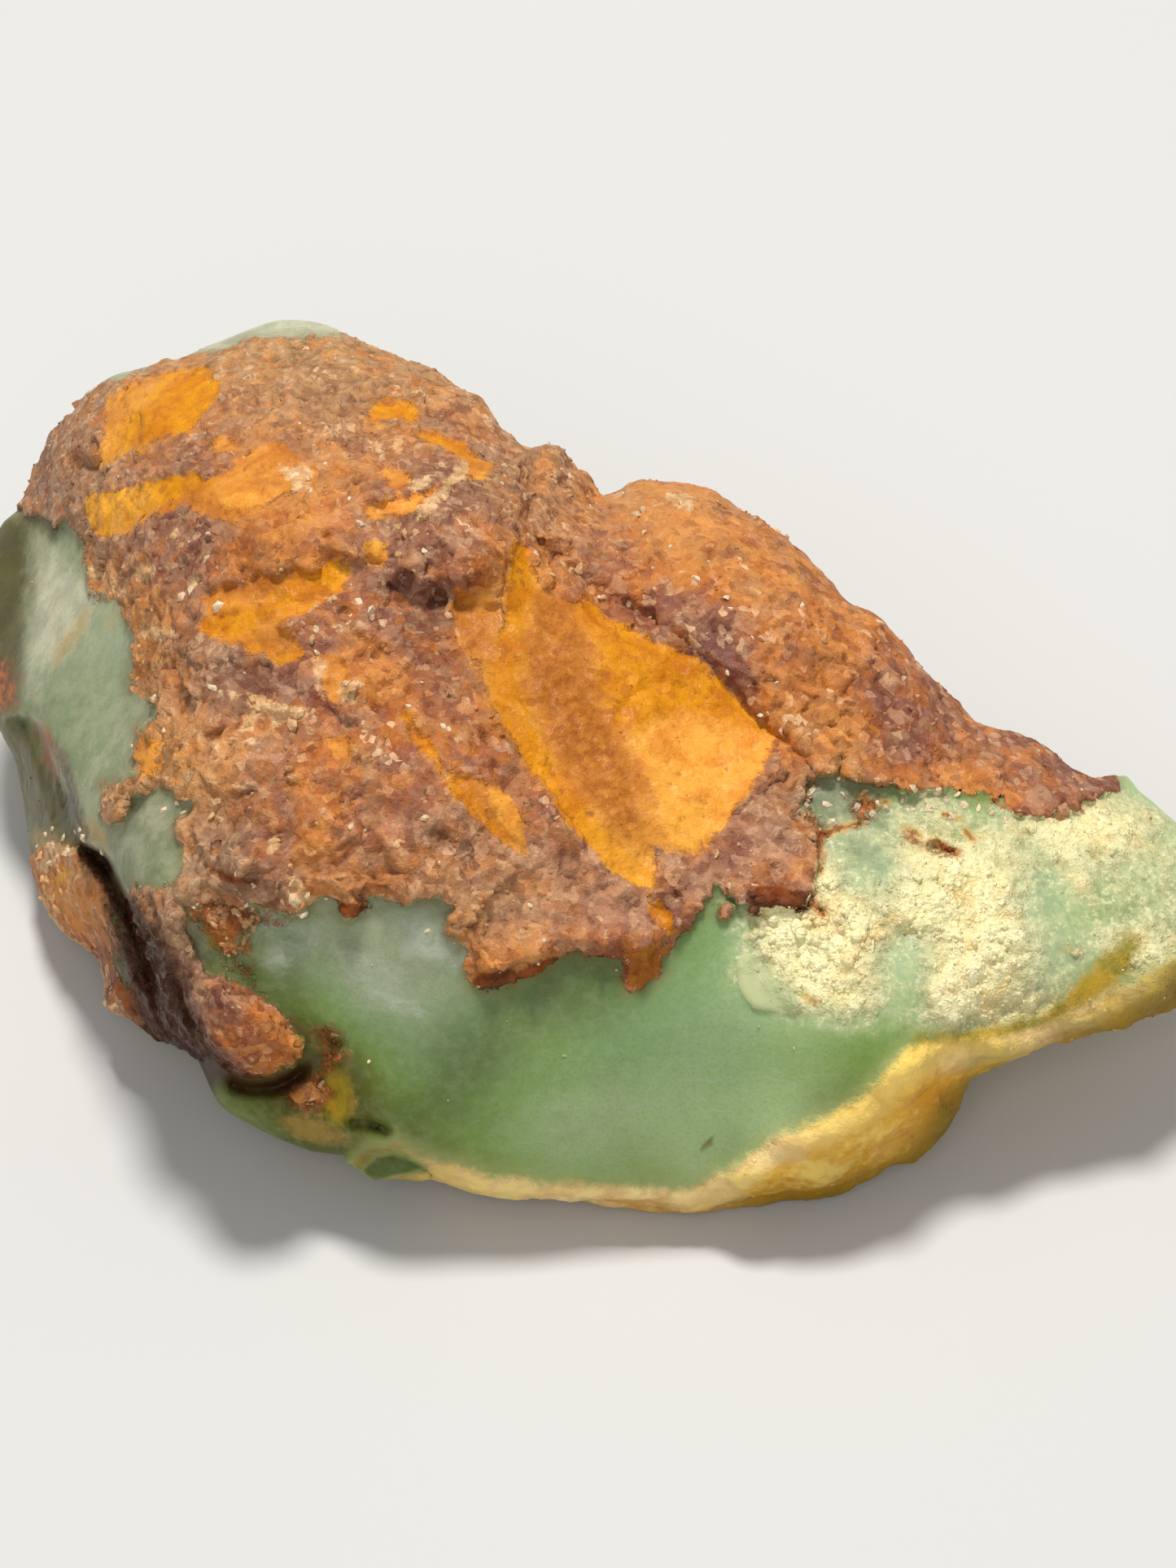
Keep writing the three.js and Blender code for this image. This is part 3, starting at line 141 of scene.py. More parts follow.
RIND = [[-30.17, 25.58], [-30.17, 15.56], [-26.12, 12.47], [-25.47, 12.47], [-24.97, 12.09], [-24.2, 11.51], [-24.0, 10.35], [-23.7, 9.58], [-22.85,
    9.0], [-22.27, 8.23], [-21.69, 6.69], [-21.5, 5.92], [-21.69, 4.38], [-21.11, 3.99], [-20.34, 3.61], [-20.53, 3.03], [-21.5, 2.45], [-21.69, 0.52],
    [-22.85, -0.06], [-23.04, -1.41], [-22.92, -1.87], [-22.46, -1.72], [-22.08, -1.72], [-21.5, -0.83], [-20.34, -0.44], [-18.8, -0.83], [-19.57,
    -1.79], [-19.57, -2.95], [-19.18, -3.72], [-19.57, -4.69], [-20.53, -5.07], [-19.18, -5.65], [-17.06, -5.84], [-14.36, -6.03], [-13.21, -5.65],
    [-12.44, -5.46], [-11.28, -6.42], [-10.12, -6.03], [-10.31, -5.46], [-9.74, -5.26], [-8.58, -5.65], [-7.42, -5.65], [-6.84, -6.03], [-7.04, -7.0],
    [-5.88, -7.77], [-5.69, -8.73], [-5.42, -9.7], [-3.95, -9.58], [-2.8, -9.31], [-1.45, -8.27], [-0.87, -8.16], [0.1, -8.35], [0.87, -8.35], [1.37,
    -8.35], [1.64, -9.51], [1.95, -10.39], [2.99, -9.7], [3.76, -9.12], [3.95, -8.35], [4.15, -7.58], [4.92, -6.81], [5.69, -5.65], [6.07, -5.07],
    [7.85, -5.84], [9.16, -5.73], [10.04, -6.15], [10.7, -5.46], [10.89, -3.72], [10.7, -2.95], [11.2, -2.56], [10.2, -1.41], [10.2, 0.13], [11.86,
    0.6], [13.4, 0.13], [14.94, -0.17], [16.87, -0.25], [18.41, -0.44], [20.73, -1.52], [22.27, -1.33], [24.2, -1.02], [25.2, -0.44], [25.28, 1.29],
    [18.41, 25.58]]
OCHRE = [[[-23.54, 14.98], [-23.27, 15.71], [-22.92, 16.83], [-23.0, 17.64], [-22.73, 18.3], [-22.08, 18.8], [-21.23, 19.18], [-20.15, 19.61], [-18.91,
    19.8], [-18.14, 19.72], [-17.72, 19.53], [-17.33, 18.88], [-17.45, 18.34], [-17.72, 17.87], [-18.3, 17.22], [-18.76, 16.79], [-19.57, 16.33],
    [-20.3, 16.14], [-21.11, 15.75], [-21.77, 15.48], [-22.65, 15.06], [-23.23, 14.86]], [[-23.93, 13.55], [-22.73, 13.94], [-21.27, 14.29], [-19.8,
    14.59], [-18.14, 14.79], [-16.87, 15.21], [-15.91, 15.83], [-15.13, 16.25], [-14.36, 16.25], [-13.9, 15.71], [-13.01, 15.33], [-12.59, 14.59],
    [-12.9, 14.02], [-13.52, 13.71], [-14.56, 13.55], [-15.13, 13.17], [-16.1, 12.63], [-16.99, 12.4], [-17.76, 12.47], [-18.61, 12.86], [-19.18,
    13.17], [-20.15, 12.78], [-21.07, 12.4], [-21.92, 11.78], [-23.04, 11.55], [-23.62, 12.17]], [[-18.45, 16.21], [-17.53, 16.48], [-16.68, 16.45],
    [-16.6, 15.83], [-17.53, 15.67]], [[-17.91, 9.31], [-17.22, 9.7], [-16.29, 9.54], [-15.6, 10.16], [-14.67, 9.93], [-13.9, 10.47], [-12.9, 10.24],
    [-12.28, 10.78], [-11.36, 10.55], [-11.2, 9.7], [-11.74, 9.0], [-12.51, 8.39], [-13.75, 7.92], [-14.36, 7.46], [-13.75, 6.92], [-13.21, 6.23],
    [-13.67, 5.69], [-14.56, 5.38], [-15.21, 5.92], [-16.14, 6.07], [-16.68, 6.54], [-17.76, 6.69], [-18.37, 7.15], [-18.76, 7.69], [-18.22, 8.23],
    [-18.37, 8.85]], [[-13.05, 6.11], [-12.24, 6.3], [-11.36, 5.84], [-11.28, 4.76], [-11.66, 3.76], [-12.51, 3.91], [-13.09, 4.95]], [[-10.62, 17.41],
    [-10.28, 17.87], [-9.77, 18.22], [-8.5, 18.26], [-7.81, 17.72], [-8.08, 16.83], [-8.66, 17.1], [-9.2, 17.29], [-9.74, 17.1], [-10.31, 16.79]],
    [[-8.12, 16.83], [-6.84, 16.68], [-5.8, 16.25], [-5.11, 15.64], [-4.3, 14.98], [-5.11, 14.33], [-5.76, 14.63], [-6.42, 15.48], [-7.27, 15.98],
    [-8.04, 16.21]], [[-10.01, 14.52], [-9.2, 15.17], [-8.12, 14.79], [-8.27, 14.13], [-9.35, 13.9]], [[-10.62, 13.25], [-9.35, 13.55], [-8.12, 13.79],
    [-6.88, 14.4], [-7.0, 13.63], [-8.12, 12.82], [-9.35, 12.44], [-10.62, 12.44]], [[-3.53, 11.59], [-2.8, 11.39], [-2.56, 10.16], [-1.95, 9.08],
    [-0.87, 8.77], [0.21, 8.89], [1.06, 7.96], [2.99, 7.0], [4.53, 6.3], [6.07, 5.15], [7.81, 3.41], [8.89, 2.45], [8.77, 1.48], [8.39, 0.71], [7.69,
    -0.44], [7.04, -1.41], [6.46, -2.26], [5.61, -3.18], [4.76, -3.57], [3.84, -3.34], [3.22, -3.1], [3.22, -3.95], [3.45, -4.65], [3.3, -5.11], [2.87,
    -5.19], [1.14, -4.18], [-0.71, -2.33], [-2.33, -0.17], [-3.49, 1.91], [-4.72, 3.68], [-5.19, 5.3], [-4.49, 6.69], [-4.07, 8.04], [-3.8, 9.54]],
    [[-6.42, 0.44], [-6.03, 0.6], [-5.11, 0.33], [-3.72, -0.4], [-2.99, -1.56], [-2.8, -2.56], [-2.99, -3.37], [-3.95, -2.83], [-5.11, -1.79], [-6.27,
    -0.83], [-6.84, 0.06], [-7.42, 0.91], [-8.58, 2.06], [-8.97, 2.83], [-8.97, 3.37], [-8.58, 3.49], [-8.12, 2.91], [-7.42, 1.99], [-6.73, 0.91]],
    [[2.83, -5.57], [3.53, -5.38], [4.11, -5.96], [4.3, -6.88], [3.99, -7.42], [3.45, -7.11], [2.95, -6.34]], [[-12.44, 2.26], [-11.47, 2.45], [-10.89,
    1.87], [-11.28, 1.1], [-12.13, 1.29]], [[-21.5, 2.26], [-20.84, 2.45], [-20.15, 1.87], [-19.95, 0.91], [-20.53, 0.06], [-21.23, 0.21], [-21.61,
    1.29]], [[1.68, -7.81], [2.99, -7.5], [4.07, -7.58], [3.95, -8.43], [3.45, -9.35], [2.6, -10.12], [2.06, -10.51], [1.83, -9.35]], [[-11.12, -5.49],
    [-10.66, -5.49], [-10.12, -5.88], [-9.74, -6.11], [-10.43, -6.19]], [[-25.31, -4.11], [-24.7, -3.8], [-24.31, -4.26], [-24.62, -4.88], [-25.16,
    -4.72]], [[-5.26, 9.31], [-4.57, 9.31], [-4.11, 8.43], [-4.18, 7.08], [-4.65, 5.84], [-5.19, 5.69], [-5.57, 6.69], [-5.34, 8.04]], [[-6.27, 9.39],
    [-5.11, 8.81], [-4.72, 7.46], [-5.03, 5.92], [-5.69, 5.73], [-6.19, 7.08], [-6.57, 8.43]], [[-10.66, 11.39], [-10.2, 11.7], [-9.58, 11.39], [-9.43,
    10.7], [-9.89, 10.24], [-10.51, 10.39]]]
BREAKS = [[[-5.49, -9.04], [-4.72, -8.89], [-3.18, -8.66], [-1.41, -8.04], [-1.25, -8.35], [-2.8, -9.43], [-3.95, -9.74], [-5.42, -9.93]], [[1.25,
    -8.16], [1.83, -7.58], [2.99, -7.5], [4.22, -7.58], [4.15, -8.43], [3.84, -9.12], [2.99, -9.89], [1.95, -10.66], [1.56, -9.58]], [[-1.33, -7.96],
    [-0.87, -8.27], [0.1, -8.04], [1.06, -8.04], [1.14, -8.5], [0.1, -8.73], [-1.06, -8.58]], [[-12.44, -5.19], [-11.28, -5.57], [-10.12, -5.57],
    [-9.74, -6.11], [-10.89, -6.57], [-12.05, -6.11]], [[-18.41, -3.14], [-17.76, -3.8], [-16.68, -4.3], [-15.52, -4.42], [-15.6, -4.72], [-17.06,
    -4.72], [-18.22, -4.18]]]
CREAM = [[-11.36, -18.37], [-10.89, -17.76], [-10.12, -17.22], [-9.08, -16.95], [-7.96, -17.64], [-5.88, -18.03], [-3.95, -18.68], [-2.22, -18.95],
    [-0.87, -18.84], [1.87, -18.99], [4.61, -19.11], [6.46, -18.37], [7.38, -17.64], [8.85, -16.72], [10.85, -15.98], [13.05, -14.71], [14.33, -13.4],
    [15.25, -12.44], [16.37, -12.13], [18.41, -12.05], [20.34, -11.74], [22.27, -11.05], [23.81, -10.2], [25.55, -9.39], [27.86, -8.19], [29.98,
    -7.38], [34.61, -5.84], [35.38, -14.9], [18.41, -23.0], [-0.87, -23.0], [-11.28, -23.0]]
ISLANDS = [[[6.07, -5.73], [6.54, -5.57], [6.92, -5.8], [6.69, -6.27], [6.23, -6.27]], [[-26.32, -3.14], [-25.47, -2.64], [-24.16, -2.95], [-23.31,
    -3.8], [-22.77, -4.69], [-22.23, -6.03], [-21.61, -7.58], [-20.84, -9.51], [-20.15, -11.24], [-19.95, -12.59], [-20.92, -12.98], [-24.0, -12.98],
    [-30.17, -7.19], [-30.17, -3.72], [-27.09, -3.34]], [[-14.29, -14.59], [-13.98, -14.06], [-13.36, -13.98], [-12.9, -13.75], [-12.74, -14.36],
    [-12.59, -14.9], [-13.21, -15.13], [-13.9, -15.13]], [[-17.76, -5.8], [-17.22, -5.73], [-16.68, -6.03], [-16.99, -6.57], [-17.53, -6.42]],
    [[-16.21, -6.03], [-15.75, -6.19], [-15.83, -6.57], [-16.29, -6.5]]]
GREENS = [[[-19.57, 20.57], [-18.8, 20.42], [-17.45, 20.8], [-16.29, 21.07], [-14.36, 21.23], [-12.44, 21.34], [-10.89, 21.23], [-9.74, 20.84], [-8.58,
    20.57], [-7.81, 21.73], [-13.98, 24.43], [-20.15, 21.73]], [[-24.2, 18.26], [-23.62, 18.72], [-22.85, 19.03], [-22.08, 19.18], [-21.11, 19.61],
    [-20.73, 19.95], [-22.46, 21.73], [-24.77, 19.03]], [[24.74, 0.98], [25.2, 0.52], [25.43, -0.44], [26.12, -1.02], [27.86, -2.18], [29.98, -3.72],
    [32.29, -5.26], [29.98, -0.64], [25.74, 2.45]], [[-22.85, -5.73], [-22.23, -6.19], [-21.77, -7.96], [-21.61, -9.58], [-22.0, -9.81], [-22.54,
    -8.35], [-22.92, -6.65]]]
CHIP = [[7.04, -8.35], [7.42, -8.04], [8.19, -8.16], [8.77, -9.12], [9.74, -9.7], [10.12, -10.66], [8.77, -10.82], [7.81, -10.66], [7.15, -9.7]]
DENS = [[9.2, -6.8, 1.2], [10.7, -8.3, 1.2], [13.0, -7.2, 1.3], [12.6, -6.4, 1.3], [10.7, -6.8, 1.3], [9.2, -8.3, 1.15], [14.6, -6.4, 1.0], [18.4,
    -6.0, 1.1], [20.3, -7.2, 1.0], [16.5, -8.0, 0.95], [16.5, -10.1, 0.85], [19.2, -9.9, 0.9], [18.4, -8.7, 1.0], [11.5, -4.3, 1.0], [14.6, -4.3,
    0.55], [11.9, -0.4, -0.3], [13.8, -0.3, 0.0], [14.6, -1.4, 0.5], [16.5, -0.8, 0.6], [16.5, -3.3, 1.0], [18.4, -4.1, 1.0], [17.3, -2.0, 0.6], [18.8,
    -2.2, 0.35], [20.0, -1.4, 0.35], [19.6, -3.7, 0.8], [23.4, -8.7, 0.4], [29.2, -5.3, 0.5], [10.7, -10.1, 0.9], [13.0, -10.5, 0.75], [8.4, -10.3,
    0.1], [6.8, -8.3, -0.3], [6.5, -5.3, -0.5], [5.7, -11.0, -0.5], [10.7, -11.8, -0.4], [14.6, -12.2, -0.4], [19.6, -11.6, 0.5], [22.3, -10.7, 0.45],
    [9.9, -1.8, 0.2], [30.8, -7.2, 0.5], [11.5, -3.3, 0.5], [11.1, -5.3, 1.0], [21.5, -1.8, 0.75], [23.8, -1.8, 0.8], [26.9, -1.4, 0.7], [23.4, -3.5,
    0.6], [22.3, -5.3, 0.25], [25.0, -6.4, 0.3], [26.1, -4.3, 0.4], [27.7, -3.7, 0.3], [21.9, -7.6, 0.2], [21.9, -9.1, 0.3], [26.1, -8.3, 0.6], [20.7,
    -4.5, 0.35], [20.5, -6.0, 0.45], [21.1, -9.1, 0.2], [18.8, -7.6, 1.1], [19.6, -6.4, 0.9], [28.4, -6.8, 0.0], [25.7, -3.7, 0.4], [17.6, -1.4, 0.2],
    [15.7, 0.1, -0.2], [27.7, -5.3, 0.2], [26.3, -7.8, 1.0], [27.1, -8.3, 0.7], [23.4, -8.3, 0.0], [22.3, -9.5, 0.05], [24.0, -9.1, -0.1], [21.1, -5.6,
    0.1], [20.9, -6.8, 0.15], [23.0, -6.8, 0.2], [20.1, -10.5, 0.9], [19.0, -10.1, 1.0], [21.9, -10.5, 0.5], [13.0, -3.7, 0.0], [12.4, -4.5, 0.1],
    [14.0, -4.3, 0.2], [13.6, -2.9, 0.05], [14.2, -9.6, 0.1], [14.5, -7.9, 0.1], [15.6, -8.3, 0.0], [15.8, -9.6, 0.05], [13.4, -8.7, 0.4], [16.5,
    -10.3, 0.6], [25.9, 0.6, -0.8], [27.1, -0.2, -0.8], [28.2, -1.0, -0.7], [25.2, 0.1, -0.2], [14.9, -0.8, -0.1], [16.5, -0.6, -0.1], [18.0, -1.4,
    0.0], [20.3, -8.9, 1.0], [18.4, -9.6, 1.1], [19.6, -7.8, 1.0], [21.3, -8.3, 0.6], [14.9, -8.7, 0.32]]
WARM = [[-14.7, 19.8, 0.7], [-10.5, 19.8, 0.5], [-7.0, 18.6, 0.3], [-23.6, 17.9, -0.2], [-24.8, 14.4, -0.7], [-25.5, 13.2, -0.9], [-20.1, 15.6, 0.3],
    [-12.4, 16.3, 0.6], [-16.3, 16.3, 0.6], [-9.7, 16.3, 0.1], [-6.3, 13.2, -0.7], [-7.8, 11.7, -0.5], [-11.7, 13.2, 0.2], [-14.4, 12.1, 0.3], [-20.9,
    10.5, -0.1], [-22.8, 10.2, 0.0], [-20.1, 7.8, 0.3], [-20.1, 4.4, 0.4], [-16.3, 3.2, 0.3], [-18.2, 1.7, 0.2], [-20.9, 1.7, 0.3], [-10.5, 7.8, -0.2],
    [-11.7, 3.2, -0.4], [-9.7, 1.3, -0.5], [-12.4, -0.6, -0.5], [-15.1, 0.1, -0.3], [-16.7, -2.9, -0.8], [-18.6, -1.4, 0.4], [-14.0, -3.7, 0.3],
    [-12.4, -4.5, 0.1], [-10.5, -3.3, -0.1], [-6.3, 3.2, -0.1], [-6.3, -3.3, -0.2], [-4.7, -6.0, 0.1], [-2.8, -4.5, -0.2], [-1.6, -7.2, 0.0], [0.3,
    -5.3, -0.3], [1.4, -7.6, -0.2], [4.9, -5.3, -0.5], [6.8, -3.7, -0.6], [9.2, -1.4, -0.6], [8.0, -2.9, -0.7], [9.9, 0.1, -0.1], [9.2, -3.7, -0.2],
    [-0.9, 12.5, -0.1], [-1.6, 14.4, 0.2], [1.4, 13.2, 0.4], [3.8, 12.5, 0.8], [6.1, 12.5, 0.8], [4.9, 10.2, 0.7], [8.4, 10.2, 0.6], [9.2, 7.8, 0.5],
    [3.0, 9.4, 0.1], [4.5, 7.8, -0.6], [6.8, 6.3, -0.7], [1.4, 10.2, -0.2], [10.7, 9.4, 0.3], [12.2, 7.5, 0.4], [10.7, 5.1, 0.2], [12.2, 3.6, 0.1],
    [9.2, 4.0, 0.1], [14.2, 4.8, -0.8], [15.3, 2.4, -0.8], [17.6, 2.4, -0.3], [19.2, 1.3, -0.3], [21.5, 0.1, -0.5], [24.2, -0.3, -0.4], [14.6, 6.7,
    0.1], [16.9, 4.4, 0.0], [-20.1, -6.4, -0.4], [-19.4, -9.1, -0.7], [-18.2, -11.4, -0.7], [-15.5, -11.8, -0.1], [-14.4, -12.6, 0.0], [-17.1, -10.3,
    -0.5], [-5.1, 6.3, 0.9], [-4.7, 8.6, 0.8], [-3.2, 10.2, 0.6], [-9.4, 5.5, 0.8], [-12.6, -0.1, 0.8], [-11.7, -1.4, 0.3], [-6.7, 2.4, 0.3], [-18.2,
    10.2, -0.8], [-19.4, 10.5, -0.9], [-20.1, 11.3, -0.8], [-17.1, 5.1, -0.9], [-14.7, 4.8, -0.9], [-18.6, 8.6, -0.3], [-20.5, 2.4, 0.9], [-18.2, 0.5,
    0.8], [-22.1, -1.4, 0.6], [12.2, 2.4, 0.6], [5.7, -1.8, 0.0], [17.6, 0.1, 0.4], [20.3, -0.8, 0.1], [-21.7, 14.8, -0.7], [-19.0, 15.6, -0.8],
    [-16.3, 17.1, -0.2], [-16.7, 18.6, 0.3], [-12.4, 17.9, 0.0], [-14.4, 17.1, -0.1], [-10.9, 19.0, 0.3], [-8.6, 10.2, -1], [-25.5, 15.6, -0.6],
    [-24.0, 14.0, -0.5], [-0.1, 14.0, 0.6], [0.7, 15.2, 0.3], [3.0, 14.0, 0.7], [4.1, 14.8, 0.2], [6.8, 12.5, 0.4], [8.8, 10.9, 0.3], [6.1, 7.8, -0.7],
    [1.4, 10.5, -0.5], [7.6, 5.5, -0.9], [-24.8, -5.3, 1.2], [-9.4, 4.4, 0.5], [-7.4, 3.2, 0.3], [-6.3, 7.1, 0.3], [-19.4, -9.1, -0.7], [-20.5, -6.4,
    -0.9], [-19.6, -5.6, -0.9], [12.4, 4.0, 0.8], [8.4, 5.1, 0.5], [-11.7, 0.1, 0.1], [-10.5, 1.3, 0.2], [-13.2, 0.9, 0.2], [9.9, 8.6, 0.0], [-15.1,
    -12.3, 0.5], [-16.3, -11.4, 0.0], [-17.4, -10.7, -0.6], [-14.0, -12.6, 0.7], [-25.5, -4.3, 0.2], [-23.6, -6.6, 0.3], [-22.7, -8.7, -0.2], [-21.7,
    -10.9, 0.0], [-6.3, 9.4, -0.5], [-7.0, 12.9, -0.5], [-6.3, 10.9, 0.0], [11.1, 4.0, 0.8], [9.9, 2.8, 0.8], [12.6, 2.8, 0.7], [10.7, 6.3, 0.3],
    [-23.8, -4.9, 0.8], [-24.3, -6.0, 0.6], [-24.4, -8.7, -0.4], [-16.3, 10.5, 0.35], [-14.4, 11.2, 0.45], [-12.4, 11.5, 0.4], [-17.4, 10.4, 0.2],
    [-8.0, 6.7, -0.5], [-7.0, 5.0, -0.4]]
# lighter and darker on the rind, the ochre and the rim: partly their own tone, partly painted light and shade
TONE_AND_PAINTED_LIGHT = [[-4.7, -5.3, 0.7], [-6.3, -4.1, 0.5], [-1.6, -4.5, 0.7], [-3.2, -6.4, 0.6], [-0.9, -6.0, 0.5], [0.7, -6.8, 0.5], [-8.6, -3.7, 0.4], [-10.5,
    -1.8, 0.3], [-8.6, 0.1, 0.2], [-6.3, -1.4, 0.2], [3.0, -6.4, 0.3], [6.1, -3.7, 0.4], [8.0, -2.2, 0.35], [9.2, -0.6, 0.3], [-16.3, 2.4, 0.45],
    [-18.2, 2.4, 0.4], [-20.1, 3.2, 0.3], [-14.4, 3.6, 0.3], [-12.4, -3.7, 0.3], [-14.0, -1.4, 0.1], [-16.7, -2.9, -0.4], [-18.6, -3.7, 0.2], [-11.7,
    2.4, -0.1], [-10.5, 4.0, -0.2], [-9.4, 8.6, -0.7], [-6.7, 8.6, -0.9], [-7.8, 10.2, -0.8], [-6.3, 12.1, -0.6], [-4.7, 12.5, -0.5], [-4.0, 14.0,
    -0.3], [-12.4, 15.6, 0.4], [-14.4, 14.0, 0.4], [-16.3, 15.9, 0.2], [-14.4, 19.4, 0.1], [-10.5, 19.8, 0.0], [-7.0, 18.6, -0.1], [-6.3, 17.1, 0.0],
    [-24.0, 17.9, -0.2], [-25.5, 14.4, -0.4], [-24.8, 15.6, -0.3], [-22.8, 10.5, 0.1], [-20.9, 7.1, 0.3], [-20.1, 9.4, 0.2], [4.9, 13.2, 0.3], [3.0,
    12.1, 0.2], [6.8, 9.4, 0.2], [8.8, 7.1, 0.1], [3.8, 8.6, -0.3], [6.1, 6.3, -0.3], [10.7, 4.4, -0.2], [12.6, 2.4, -0.4], [14.2, 4.4, -0.3], [16.5,
    1.7, -0.1], [20.3, 0.1, -0.1], [23.4, -0.3, -0.1], [12.6, 7.5, 0.3], [-0.9, 13.2, 0.1], [-2.8, 10.9, -0.3], [-19.4, -10.3, -0.6], [-20.1, -7.2,
    -0.3], [-18.2, -12.6, -0.5], [-15.1, -12.2, 0.1], [-16.3, -9.9, -0.1], [-20.5, -11.0, -0.9], [-0.9, 6.7, 0.0], [4.9, 12.1, 0.6], [6.8, 10.2, 0.5],
    [3.8, 13.2, 0.7], [9.2, 8.6, 0.4], [-11.3, 19.4, 0.1], [-15.1, 19.4, 0.2], [-17.1, 4.4, -0.4], [-18.6, 5.5, -0.5], [-15.1, 5.1, -0.4], [-7.8, 4.0,
    -0.4], [-9.7, 5.5, 0.1], [-19.0, -9.1, -0.5], [-18.6, -10.7, -0.9], [-20.0, -9.1, -0.9], [-17.8, -12.6, -1], [-15.5, -12.6, 0.0], [-25.5, -7.2,
    -1.6], [-22.8, -11.0, -1.6], [-26.7, -5.6, -1.3], [-20.9, -10.7, -1], [-27.1, -4.9, -1], [-6.3, -8.3, 0.0], [-4.7, -7.2, 0.6], [-2.8, -7.2, 0.6],
    [-6.3, -6.4, 0.5], [-16.7, -10.3, -0.2], [-22.1, 18.6, 0.5], [-23.6, 16.3, 0.5], [-25.2, 14.4, 0.5], [-25.5, 12.5, 0.5], [-20.9, 13.6, 1], [-20.1,
    11.9, -0.2], [-20.5, 15.0, -0.1], [-22.5, 10.5, 0.4], [-20.9, 8.6, 0.5], [-19.4, 7.1, 0.4], [-18.6, 3.2, 0.9], [-16.3, 2.4, 0.7], [-14.0, 1.3,
    0.5], [-12.4, 7.8, 0.5], [-11.7, 10.2, 0.5], [-10.3, 10.5, 0.9], [-6.3, 6.7, -0.6], [-9.4, 4.4, -0.5], [-7.8, 2.4, -0.4], [-9.4, 1.3, -0.3],
    [-10.9, 5.5, -0.2], [-7.0, 4.4, -0.5], [-6.3, 1.3, -0.2], [-4.7, -5.3, 0.9], [-6.3, -4.9, 0.8], [-3.2, -5.3, 0.8], [-4.7, -3.7, 0.5], [-0.9, -6.8,
    0.6], [6.8, -3.7, 0.6], [8.4, -2.9, 0.5], [6.1, -4.9, 0.5], [14.6, -14.9, 1.2], [15.3, -14.1, 1.2], [13.8, -16.1, 0.8], [16.5, -13.0, 0.8], [18.4,
    -12.6, 0.6], [10.7, -17.6, 0.2], [-0.9, -19.3, 0.1], [-11.7, -16.8, -1.2], [-14.0, -15.9, -1], [-9.4, -17.6, -0.8], [-6.3, -18.6, -0.3], [12.6,
    -19.5, -1], [9.2, -19.5, -0.7], [6.1, -20.1, -0.4], [-16.3, -14.9, -0.6], [-18.2, -14.1, -0.9], [-25.5, -4.5, 0.4], [-23.6, -6.8, 0.3], [-26.5,
    -7.2, -1.4], [-24.8, -9.7, -1.4], [-23.2, -11.4, -1.4], [1.4, 5.1, -0.2], [-0.9, 2.4, -0.2], [-0.1, 0.5, -0.1], [22.3, 0.1, 0.1], [10.7, -3.3,
    -0.2], [-19.4, -9.9, -1.2], [-20.1, -8.3, -1], [-18.6, -11.6, -1], [-16.9, -13.4, -0.8], [-16.3, -11.0, 0.1], [-20.9, -7.2, -0.9], [10.7, 6.3,
    -0.6], [12.4, 4.0, -0.6], [9.9, 4.4, -0.5], [13.2, 2.3, -0.5], [11.1, 7.8, -0.2], [8.4, 5.5, -0.4], [-11.7, 0.1, -0.9], [-10.3, 1.1, -0.8], [-12.8,
    -0.4, -0.4], [-17.1, 14.0, -0.4], [-15.4, 13.9, -0.4], [-0.1, 5.1, -0.6], [-3.2, 3.2, -0.5], [-1.6, 6.3, -0.4], [-4.0, 6.3, -0.4], [9.2, 7.1,
    -0.5], [11.1, 5.1, -0.8], [13.0, 3.2, -0.7], [10.7, 3.4, -0.7], [22.3, -11.5, 0.1], [20.1, -12.1, 0.3], [24.2, -10.6, 0.3], [-14.7, -12.0, 0.2],
    [-13.9, -12.5, 0.4], [-20.1, 4.0, 0.3], [-19.0, 0.9, 0.3], [-6.3, -3.7, 0.4], [17.6, 1.3, 0.3], [21.9, 0.1, 0.2], [6.8, 9.4, -0.3], [8.0, 10.2,
    -0.2], [5.3, 10.2, -0.1], [-25.5, -4.1, 1], [-25.7, -5.3, 0.9], [-25.2, -6.4, 0.5], [-23.6, -5.3, 0.1], [-22.8, -7.2, -0.5], [-22.3, -9.1, -0.7],
    [-22.1, -11.0, 0.5], [-20.5, -11.8, -0.7], [-21.7, -10.3, 0.1], [-18.2, 14.0, -0.4], [-16.3, 13.6, -0.6], [-14.4, 14.4, -0.4], [-16.3, -11.0,
    -0.4], [-15.5, -13.0, -0.5], [-17.4, -10.1, -0.5], [15.7, -16.1, -0.4], [16.5, -14.9, -0.5], [13.0, -18.4, -0.5], [17.6, -13.7, -0.4], [-16.3,
    10.2, -0.5], [-13.6, 11.2, -0.7], [-15.1, 5.7, -0.8], [-16.3, 6.7, -0.4], [-18.2, 7.7, 0.2], [-12.4, 9.0, 0.2], [3.0, -8.7, -1.4], [22.3, -11.5,
    -0.7], [24.0, -10.9, -0.6], [20.3, -12.3, -0.3], [25.5, -10.0, -0.4], [16.1, -16.8, -0.7], [10.7, -19.3, -0.5], [-17.1, 14.0, 0.3], [-15.5, 14.0,
    0.3], [-27.1, 0.5, -0.3], [-4.7, -6.0, 0.9], [9.2, 6.7, -0.5], [-6.3, 10.9, 0.3], [-24.4, -8.5, -1.0], [-25.2, -6.8, -0.7], [-23.5, -10.1, -0.9],
    [-23.8, -4.9, 0.4], [10.7, -17.6, 0.45], [14.6, -14.9, 0.6], [-11.7, -16.8, -0.6], [-14.7, 11.1, -0.25], [-16.7, 10.5, -0.2], [-8.0, 6.7, -0.7],
    [-6.8, 5.0, -0.6], [-8.6, 7.8, -0.4]]
